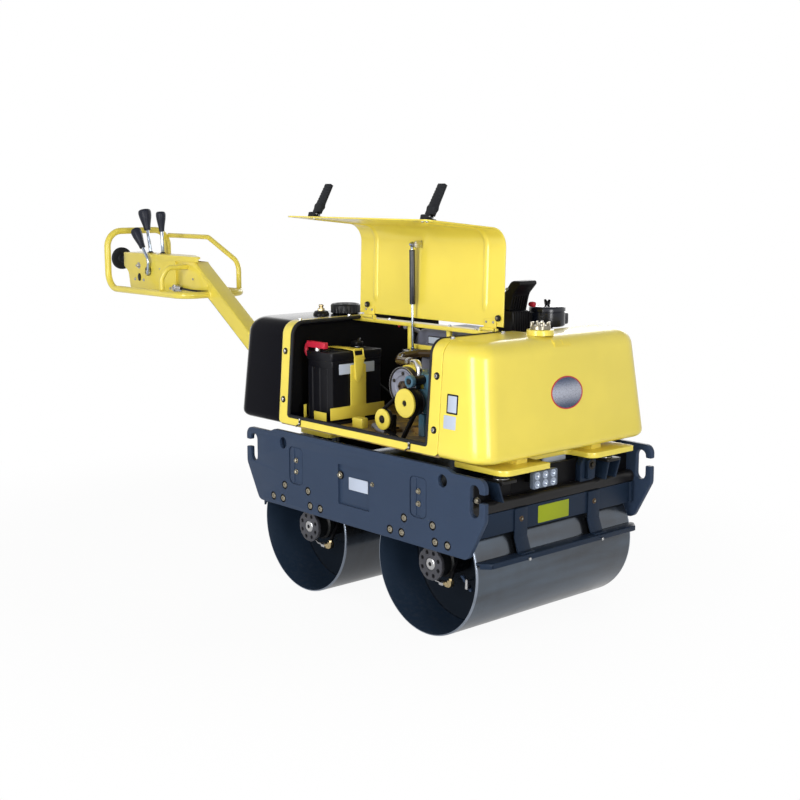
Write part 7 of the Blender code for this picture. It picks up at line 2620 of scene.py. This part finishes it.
# ---------------------------------------------------------------- tiller
@dataclass
class Tiller:
    """The folding tiller: square tube, handle loop, guards, console with levers, and stop pad."""

    pivot: tuple[float, float] = (-0.65, 0.468)
    angle: float = math.radians(34.6)
    size: float = 0.06
    length: float = 0.823
    tail: float = 0.03
    loop_half: float = 0.137
    loop_tube: float = 0.0125
    loop_x: tuple[float, float] = (-1.763, -1.22)
    loop_z: tuple[float, float] = (0.845, 1.066)
    bend: float = 0.062
    guard_high: float = 1.044
    guard_tube: float = 0.0095
    cheek: float = 0.006
    console_end: float = -1.815
    console_z: tuple[float, float] = (0.84, 0.98)
    pad_reach: float = -1.905
    pad_z: float = 0.951

    def dress(self) -> None:
        """Build each group on the tiller's body."""
        self.bar()
        self.loops()
        self.console()
        self.side_fittings()
        self.levers()
        self.right_lever()
        self.pad()

    def bar(self) -> None:
        """The square tube with rounded long edges and a pin hole, and the pivot's bushes."""
        along = np.array([-math.cos(self.angle), math.sin(self.angle)])
        across = np.array([math.sin(self.angle), math.cos(self.angle)])
        pivot, half = np.array(self.pivot), self.size / 2
        foot, head = pivot - along * self.tail, pivot + along * self.length
        outline = fillet([foot - across * half, foot + across * half, head + across * half,
            head - across * half], 0.0012, 2)
        Piece("tiller_bar", YELLOW, Body.TILLER, sharp=30.0).add(
            slab(XZ, [outline, ring(*self.pivot, 0.0128, 32)], half, -half, 0.0045, steps=4)
        ).make("tiller_tube")
        bush = Piece("pivot_bushes", ZINC, Body.TILLER, sharp=30.0)
        for side in (-1, 1):
            bush.add(lathe([(0.0123, 0.0), (0.019, 0.0), (0.019, 0.0008), (0.0123, 0.0008)],
                (pivot[0], side * half, pivot[1]), (0, side, 0), 32, True))
        bush.make()

    def loops(self) -> None:
        """Bent round tubes with weld rings: the handle loop, the guard at its left, the right brace."""
        (rear, front), (low, high), h = self.loop_x, self.loop_z, self.loop_half
        edge = self.size / 2 + GAP
        path = fillet([(front, -edge, low), (front, -h, low), (rear, -h, low), (rear, -h, high),
            (rear, h, high), (rear, h, low), (front, h, low), (front, edge, low)],
            [0] + [self.bend] * 6 + [0], 14, False)
        loop = Piece("handle_tube", YELLOW, Body.TILLER, sharp=50.0)
        loop.add(tube(path, self.loop_tube, 24, hint=(0.35, 0.21, 0.91)))
        for side in (-1, 1):
            loop.add(lathe([(0.0165, 0.0), (0.0145, 0.0025), (0.0128, 0.004)],
                (front, side * (edge - 0.0006), low), (0, side, 0), 24))
        loop.make("handle_loop")
        on_top, foot_y, r = low + self.loop_tube + GAP, h - 0.003, self.guard_tube
        path = fillet([(rear + self.loop_tube + GAP, h, self.guard_high), (-1.468, h, self.guard_high),
            (-1.262, foot_y, 0.955), (-1.262, foot_y, on_top)], [0, 0.05, 0.05, 0], 12, False)
        Piece("guard_tube", YELLOW, Body.TILLER, sharp=50.0).add(
            tube(path, r, 20, hint=(0.1, 0.95, 0.2)),
            lathe([(r + 0.003, 0.0), (r + 0.0015, 0.002), (r, 0.0035)], (-1.262, foot_y, on_top - 0.0002), UP,
                24)
        ).make("side_guard")
        inner_face = self.size / 2 + 0.0012
        path = fillet([(-1.37, -h, on_top), (-1.37, -h, 0.9), (-1.36, -h + 0.02, 0.9405),
            (-1.36, -inner_face, 0.9405)], [0, 0.03, 0.03, 0], 10, False)
        Piece("brace_tube", YELLOW, Body.TILLER, sharp=50.0).add(
            tube(path, r, 20, hint=(0.95, 0.1, 0.2)),
            lathe([(r + 0.003, 0.0), (r + 0.0015, 0.002), (r, 0.0035)], (-1.37, -h, on_top - 0.0002), UP, 24)
        ).make("loop_brace")

    def console(self) -> None:
        """Folded sheet: cheeks with webs, a lid with a collar for each lever, a tab, nose and bottom."""
        rear = self.console_end
        low, top = self.console_z
        inner = self.size / 2 + GAP
        wall = inner + self.cheek
        lid = top - 0.008
        split, tip = -1.4332, -1.28
        cheeks = [fillet([(rear, top), (rear, top - 0.055), (-1.782, 0.905), (-1.77, low), (split, low),
            (split, top - 0.0205), (end, top - 0.0205), (end, top)], [0.004, 0.012, 0.03, 0.012, 0.003, 0.003,
            bend, 0.003], 6) for end, bend in ((tip, 0.008), (-1.402, 0.003))]
        web = fillet([(split - 0.004, low + 0.001), (split - 0.004, top - 0.019), (-1.312, top - 0.0205),
            (-1.222, 0.874), (-1.245, low + 0.001)], [0.001, 0.001, 0.002, 0.002, 0.002], 3)
        piece = Piece("console_shell", YELLOW, Body.TILLER, sharp=30.0)
        for side in (-1, 1):
            piece.add(
                slab(XZ, [cheeks[0 if side < 0 else 1]], side * inner, side * wall, 0.0016, steps=3),
                slab(XZ, [web], side * (inner - 0.004), side * (inner + 0.0006), 0.0003)
            )
        for x, grip in ((-1.668, 0.021), (-1.579, 0.018)):
            piece.add(slab(XY, [ring(x, 0.0, grip, 32), ring(x, 0.0, 0.01, 24)], top - 0.0004, top + 0.0011,
                0.0005))
        plate = fillet([(rear + 0.001, -wall + 0.0005), (tip - 0.001, -wall + 0.0005), (tip + 0.0005, -0.024),
            (tip - 0.018, -0.014), (-1.398, wall - 0.0005), (rear + 0.001, wall - 0.0005)],
            [0.004, 0.004, 0.006, 0.012, 0.02, 0.004], 5)
        piece.add(slab(XY, [plate], lid, top - 0.0002, 0.0022, steps=3))
        tab = fillet([(-1.628, top - 0.004), (-1.628, 1.03), (-1.612, 1.037), (-1.596, 1.028),
            (-1.5786, 0.9927), (-1.5786, top - 0.004)], [0.001, 0.008, 0.012, 0.014, 0.004, 0.001], 5)
        piece.add(
            slab(XZ, [tab], 0.028, 0.032, 0.0012),
            slab(YZ, [pill((-inner, top - 0.054), (inner, top - 0.003), 0.002, 3)], rear + 0.0004,
                rear + 0.0058, 0.0012)
        )
        nose = fillet([(rear + 0.001, top - 0.052), (-1.782, 0.905), (-1.77, low + 0.001),
            (-1.764, low + 0.001), (-1.776, 0.907), (rear + 0.007, top - 0.05)],
            [0.001, 0.02, 0.001, 0.001, 0.02, 0.001], 4)
        piece.add(
            slab(XZ, [nose], -inner, inner, 0.0),
            block((-1.77, -inner, low + 0.0005), (-1.26, inner, low + 0.0062), 0.001)
        )
        piece.make("console")

    def side_fittings(self) -> None:
        """Bolts, screws, a black oval grommet, and the cable with its gland on the right cheek."""
        face = -(self.size / 2 + GAP + self.cheek)
        zinc = Piece("console_fittings", ZINC, Body.TILLER, sharp=25.0)
        axis = RIGHT
        zinc.add(
            lathe([(0.0125, 0.0), (0.0125, 0.0014), (0.0115, 0.002)], (-1.7, face, 0.9315), axis, 28),
            hex_bolt((-1.7, face - 0.0016, 0.9315), axis, 0.0125, 0.0065),
            lathe([(0.0048, 0.0), (0.0048, 0.0115), (0.004, 0.0125)], (-1.7, face, 0.9315), axis, 16)
        )
        for x, z, r in ((-1.7298, 0.8768, 0.0058), (-1.6655, 0.8762, 0.0058), (-1.4726, 0.8534, 0.0055),
                (-1.314, 0.897, 0.004), (-1.545, 0.925, 0.0032)):
            zinc.add(lathe([(r, 0.0), (r, 0.0015), (r * 0.8, 0.003), (r * 0.3, 0.0036)], (x, face, z), axis,
                20))
        out = face - 0.008
        zinc.add(
            lathe([(0.0125, 0.0), (0.0135, 0.001), (0.0135, 0.01), (0.0122, 0.0115)], (-1.434, out, 0.8585),
                AHEAD, 6),
            lathe([(0.0085, 0.0), (0.0098, 0.0008), (0.0085, 0.0018), (0.0098, 0.0028), (0.0085, 0.0038),
                (0.0098, 0.0048), (0.0085, 0.0058)], (-1.4228, out, 0.8585), AHEAD, 28),
            lathe([(0.013, 0.0), (0.013, 0.01), (0.0118, 0.0115)], (-1.417, out, 0.8585), AHEAD, 6,
                phase=0.4),
            lathe([(0.0108, 0.0), (0.0112, 0.002), (0.0112, 0.014), (0.0095, 0.018), (0.006, 0.02)],
                (-1.406, out, 0.8585), AHEAD, 32),
            slab(YZ, [pill((out - 0.012, 0.846), (face + 0.006, 0.872), 0.003, 4)], -1.42, -1.417, 0.0006)
        )
        zinc.make()
        Piece("console_grommet", PLASTIC, Body.TILLER).add(
            slab(XZ, [ring(-1.6975, 0.886, 0.0105, 36, 1.45)], face + 0.0004, face - 0.003, 0.0014),
            lathe([(0.0045, 0.0), (0.0062, 0.004), (0.0055, 0.009), (0.0044, 0.012)], (-1.388, out, 0.8585),
                AHEAD, 20)
        ).make()
        line = np.array([(-1.38, out, 0.8585), (-1.36, out, 0.8578), (-1.33, out - 0.001, 0.8565),
            (-1.3, out - 0.001, 0.8558), (-1.28, out, 0.8555), (-1.258, out + 0.002, 0.8556),
            (-1.236, out + 0.006, 0.8556), (-1.215, out + 0.0158, 0.8556)])
        smooth = fillet(line, 0.05, 5, False)
        Piece("brake_cable", HOSE, Body.TILLER, sharp=60.0).add(tube(smooth, 0.0038, 14)).make()

    def grip(self, start: Array, end: Array, thin: float, thick: float) -> Shape:
        """A flared grip: its radius grows from thin to thick by 3t^2 - 2t^3, and the end is domed.

        The dome's height follows a quarter turn's sine, and its radius shrinks with 1 - cosine.

        Args:
            start: Middle of its lower end.
            end: Its tip.
            thin: Radius at the start.
            thick: Radius at the end.

        Returns:
            The closed shape.
        """
        along = end - start
        length = float(np.linalg.norm(along))
        t = np.linspace(0.0, 1.0, 17)
        swell = t * t * (3 - 2 * t)
        radius = thin + (thick - thin) * swell
        line = np.stack([radius, length * 0.84 * t], 1)
        turn = np.linspace(0.0, math.pi / 2, 8)[1:]
        dome = np.stack([thick - 0.006 * (1 - np.cos(turn)) - 0.35 * thick * (1 - np.cos(turn)) ** 2,
            length * (0.84 + 0.16 * np.sin(turn))], 1)
        first = np.array([(thin * 0.8, 0.0), (thin * 0.97, length * 0.015)])
        line[0] = (thin, length * 0.04)
        return lathe(np.concatenate([first, line, dome]), start, along, 36)

    def levers(self) -> None:
        """Two upright levers: rubber boot on the lid, bright rod with a slight bow, flared grip."""
        top, lift = self.console_z[1] + GAP, np.array([0.0, 0.0, 0.008])
        for name, x, tip, thin, thick in (("lever_rear", -1.668, (-1.708, 1.149), 0.013, 0.0252),
                ("lever_front", -1.579, (-1.587, 1.143), 0.0105, 0.0188)):
            foot, end = np.array([x, 0.0, top]), np.array([tip[0], 0.0, tip[1]])
            neck = foot + lift + (end - foot - lift) * 0.5
            Piece(name + "_rod", CHROME, Body.TILLER, sharp=40.0).add(
                bar(foot + (neck - foot) * 0.05, neck + (end - neck) * 0.08, 0.0062, 24)
            ).make()
            grip = Piece(name + "_grip", GRIP, Body.TILLER, sharp=40.0)
            grip.add(self.grip(neck, end, thin, thick))
            t = np.linspace(0.0, 1.0, 12)
            fold = 0.012 - 0.005 * t + 0.0006 * np.sin(t * TAU * 2)
            grip.add(lathe(np.stack([fold, 0.0008 + 0.006 * t], 1), foot, UP, 36))
            grip.make(name)

    def right_lever(self) -> None:
        """The lever on the right cheek: round black boss, bright hub, cranked rod and flared grip."""
        face = -(self.size / 2 + self.cheek + 2 * GAP)
        boss = Piece("lever_right_boss", GRIP, Body.TILLER, sharp=40.0)
        boss.add(lathe([(0.018, 0.0), (0.018, 0.004), (0.0168, 0.0056), (0.012, 0.006)],
            (-1.629, face, 0.913), RIGHT, 36))
        start, end = np.array([-1.641, face - 0.015, 1.003]), np.array([-1.6875, face - 0.019, 1.074])
        boss.add(self.grip(start, end, 0.0115, 0.0208))
        boss.make("lever_right")
        rod = Piece("lever_right_rod", CHROME, Body.TILLER, sharp=40.0)
        path = fillet([(-1.61, face - 0.013, 0.914), (-1.604, face - 0.014, 0.957),
            (-1.644, face - 0.0152, 1.008)], 0.035, 10, False)
        rod.add(
            tube(path, 0.006, 20),
            lathe([(0.0085, 0.004), (0.0095, 0.005), (0.0095, 0.0175), (0.0085, 0.019), (0.004, 0.0192)],
                (-1.616, face, 0.909), RIGHT, 32)
        )
        rod.make()

    def pad(self) -> None:
        """The round stop pad: a rubber disc with concentric grooves on a short bolted stem."""
        nose = self.console_end - GAP
        reach = nose - self.pad_reach
        piece = Piece("stop_disc", RUBBER, Body.TILLER, sharp=40.0)
        rows = [(0.01, 0.0), (0.018, 0.0), (0.026, 0.0), (0.0275, -0.0015), (0.029, 0.0), (0.037, 0.0),
            (0.0415, -0.0016), (0.044, -0.006), (0.044, -0.0165), (0.0425, -0.0195), (0.04, -0.02),
            (0.022, -0.02), (0.02, -0.023), (0.0175, -0.024), (0.0165, -reach)]
        piece.add(lathe(rows, (self.pad_reach, 0.0, self.pad_z), BEHIND, 56))
        piece.make("stop_pad", slot="black")
        Piece("stop_ring", ZINC, Body.TILLER).add(
            lathe([(0.0172, 0.0), (0.0235, 0.0), (0.0235, 0.0025), (0.0172, 0.0025)],
                (nose - 0.003, 0.0, self.pad_z), BEHIND, 40, True)
        ).make()


@dataclass
class TillerBracket:
    """Slate cheeks behind the rear cross plate, with the pivot pin and the stop bar."""

    pivot: tuple[float, float] = Tiller.pivot
    face: float = -0.4684
    inner: float = 0.0315
    thick: float = 0.008
    boss: float = 0.034
    angle: float = Tiller.angle

    def dress(self) -> None:
        """Build cheeks, back plate, pin and stop."""
        px, pz = self.pivot
        b, inner = self.boss, self.inner
        outline = fillet([(self.face, 0.314), (self.face, 0.45), (self.face - 0.1, pz + b), (px - b, pz + b),
            (px - b, pz - b), (px, pz - b)], [0.002, 0.01, 0.02, b * 0.98, b * 0.98, 0.02], 10)
        # Painted shade: the cheeks take the darker, shaded copy of the slate paint.
        piece = Piece("tiller_cheeks", SLATE_SHADED)
        for side in (-1, 1):
            piece.add(slab(XZ, [outline], side * inner, side * (inner + self.thick), 0.0014, steps=3))
        piece.add(block((self.face - 0.01, -inner - 0.0035, 0.314), (self.face, inner + 0.0035, 0.3675),
            0.001))
        piece.make("tiller_bracket")
        pin = Piece("pivot_pin", ZINC, sharp=30.0)
        reach = inner + self.thick + 0.008
        pin.add(bar((px, -reach, pz), (px, reach, pz), 0.0118, 36, 0.0015))
        for side in (-1, 1):
            at = (px, side * (inner + self.thick), pz)
            pin.add(lathe([(0.0117, 0.0), (0.0195, 0.0), (0.0195, 0.0022), (0.0117, 0.0022)], at,
                (0, side, 0), 36, True))
        along = np.array([-math.cos(self.angle), math.sin(self.angle)])
        across = np.array([math.sin(self.angle), math.cos(self.angle)])
        stop = np.array(self.pivot) - along * 0.018 + across * (0.03 + 0.006 + GAP)
        pin.add(bar((stop[0], -inner - 0.004, stop[1]), (stop[0], inner + 0.004, stop[1]), 0.006, 24))
        pin.make()


@dataclass(frozen=True)
class SoftBox:
    """A tall soft lamp, turned to the machine's middle and hidden from the camera."""

    name: str
    azimuth: float
    away: float
    height: float
    wide: float
    tall: float
    power: float

    def light(self) -> None:
        """Put the lamp at its azimuth and distance from the machine."""
        turn = math.radians(self.azimuth)
        place = Vector((MID_X + 0.25 + self.away * math.cos(turn), self.away * math.sin(turn), self.height))
        data = bpy.data.lights.new(self.name, "AREA")
        data.shape, data.size, data.size_y, data.energy = "RECTANGLE", self.wide, self.tall, self.power
        lamp = bpy.data.objects.new(self.name, data)
        lamp.visible_camera = False
        lamp.location = place
        lamp.rotation_euler = (Vector((MID_X, 0.0, 0.55)) - place).to_track_quat("-Z", "Y").to_euler()
        bpy.context.scene.collection.objects.link(lamp)


@dataclass
class Studio:
    """White floor and backdrop, soft lamps and the camera."""

    floor_size: float = 60.0
    lens: float = 59.004
    camera: tuple[float, float, float] = (2.8545203 + MID_X, -2.72006347, 1.23997237)
    yaw: float = 138.2794
    pitch: float = -9.2821
    roll: float = -0.0845
    boxes: tuple[SoftBox, ...] = (SoftBox("side_box", azimuth=-84.0, away=4.5, height=1.6, wide=1.5, tall=2.8,
        power=128.0), SoftBox("front_box", azimuth=-20.0, away=4.5, height=1.35, wide=1.2, tall=2.3,
        power=82.0), SoftBox("far_box", azimuth=120.0, away=5.0, height=2.6, wide=2.4, tall=2.4, power=60.0))

    def build(self) -> None:
        """Make the floor, the lamps, the world and the camera."""
        self.floor()
        self.world()
        self.lamps()
        self.shoot()

    def white(self, name: str) -> bpy.types.Material:
        """Floor paint that reads as white to the camera and in mirrors but still takes the shadow.

        The camera's share mixes a pale floor with a white emitter, and the share rises to all of
        it with the distance from the machine, so that no horizon shows.

        Args:
            name: The material's name.

        Returns:
            The material.
        """
        graph = Graph(name)
        graph.finish(Base_Color=(0.9, 0.9, 0.9), Roughness=0.9)
        far = graph.node("ShaderNodeVectorMath", {"operation": "LENGTH"},
            {"Vector": graph.place})["Value"].step(0.9, 2.0)
        path = graph.node("ShaderNodeLightPath")
        seen = path["Is Camera Ray"].most(path["Is Glossy Ray"] * 0.5).most(path["Is Transmission Ray"])
        glow = graph.node("ShaderNodeEmission", None, {"Color": (1.0, 1.0, 1.0), "Strength": 1.0})
        mixed = graph.node("ShaderNodeMixShader", None, {"Fac": seen * (far * 0.06 + 0.94)})
        for source, target in ((graph.shader.outputs[0], mixed.made.inputs[1]),
                (glow.made.outputs[0], mixed.made.inputs[2]), (mixed.made.outputs[0],
                graph.output.inputs["Surface"])):
            graph.tree.links.new(source, target)
        return graph.owner

    def floor(self) -> None:
        """A plane under the drums."""
        half = self.floor_size / 2
        data = bpy.data.meshes.new("floor")
        data.from_pydata([(-half, -half, 0), (half, -half, 0), (half, half, 0), (-half, half, 0)], [],
            [(0, 1, 2, 3)])
        thing = bpy.data.objects.new("floor", data)
        thing.location.z = -0.0005
        bpy.context.scene.collection.objects.link(thing)
        data.materials.append(self.white("floor_white"))

    def world(self) -> None:
        """A pale even sky: white to the camera, and in mirrors white up to the ceiling's dark."""
        graph = Graph("studio", world=True)
        path = graph.node("ShaderNodeLightPath")
        up = graph.node("ShaderNodeSeparateXYZ", None, {"Vector": graph.node("ShaderNodeTexCoord")[
            "Generated"]})["Z"]
        dark = graph.node("ShaderNodeMapRange", {"interpolation_type": "SMOOTHSTEP"},
            {"Value": up, "From Min": 0.3, "From Max": 0.85, "To Min": 1.0, "To Max": 0.12})["Result"]
        mirror = path["Is Glossy Ray"].most(path["Is Transmission Ray"]) * dark
        level = graph.node("ShaderNodeMapRange", None, {"Value": path["Is Camera Ray"].most(mirror),
            "To Min": 0.34, "To Max": 1.0})["Result"]
        bpy.context.scene.world = graph.finish(Color=(1.0, 1.0, 1.0), Strength=level)

    def lamps(self) -> None:
        """Light a strong box on the near side, one at the front, and a weak one behind."""
        for box in self.boxes:
            box.light()

    def shoot(self) -> None:
        """Put the camera where the machine was seen from."""
        data = bpy.data.cameras.new("camera")
        data.lens = self.lens
        data.sensor_width = 36.0
        data.clip_end = 200.0
        camera = bpy.data.objects.new("camera", data)
        yaw, pitch = math.radians(self.yaw), math.radians(self.pitch)
        ahead = Vector((math.cos(pitch) * math.cos(yaw), math.cos(pitch) * math.sin(yaw), math.sin(pitch)))
        turn = ahead.to_track_quat("-Z", "Y").to_matrix().to_4x4()
        camera.matrix_world = Matrix.Translation(self.camera) @ turn @ Matrix.Rotation(
            math.radians(self.roll), 4, "Z")
        bpy.context.scene.collection.objects.link(camera)
        bpy.context.scene.camera = camera
        bpy.context.scene.view_settings.view_transform = "Standard"


def main() -> None:
    """Build and dress the whole machine."""
    logging.basicConfig(level=logging.INFO, format="%(message)s")
    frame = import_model()
    Studio().build()
    body = [FrontTank("front_tank", near=0.345, low_far=0.52, high_far=0.48, finish=YELLOW),
        RearTank("rear_tank", near=-0.366, low_far=0.598, high_far=0.576, finish=BLACK), Bay(), Hood(),
        Strut(), HingeFrame(), UpperFrame()]
    lower = [SidePlate(), EndFrame("front", 1, seat=(0.415, 0.492), rib=(0.436, 0.484), mount=0.455,
        wall_half=0.16), EndFrame("rear", -1, seat=(0.3, 0.432), rib=(0.402, 0.43), mount=0.332,
        wall_half=0.06), WorkLamp()]
    drums = [Drum("front_drum", Body.FRONT_DRUM, 0.275), Drum("rear_drum", Body.REAR_DRUM, -0.275)]
    carriers = [Carrier(end, side, x, sign) for end, x in (("front", 0.275), ("rear", -0.275))
        for side, sign in (("right", -1), ("left", 1))]
    rest = [Battery(), BeltDrive(), Engine(), Tiller(), TillerBracket()]
    for assembly in (*body, *lower, *drums, *carriers, *rest):
        LOG.info("building %s", type(assembly).__name__)
        assembly.dress()
    LOG.info("%d CAD nodes in the frame", len(frame["nodes"]))


if __name__ == "__main__":
    main()
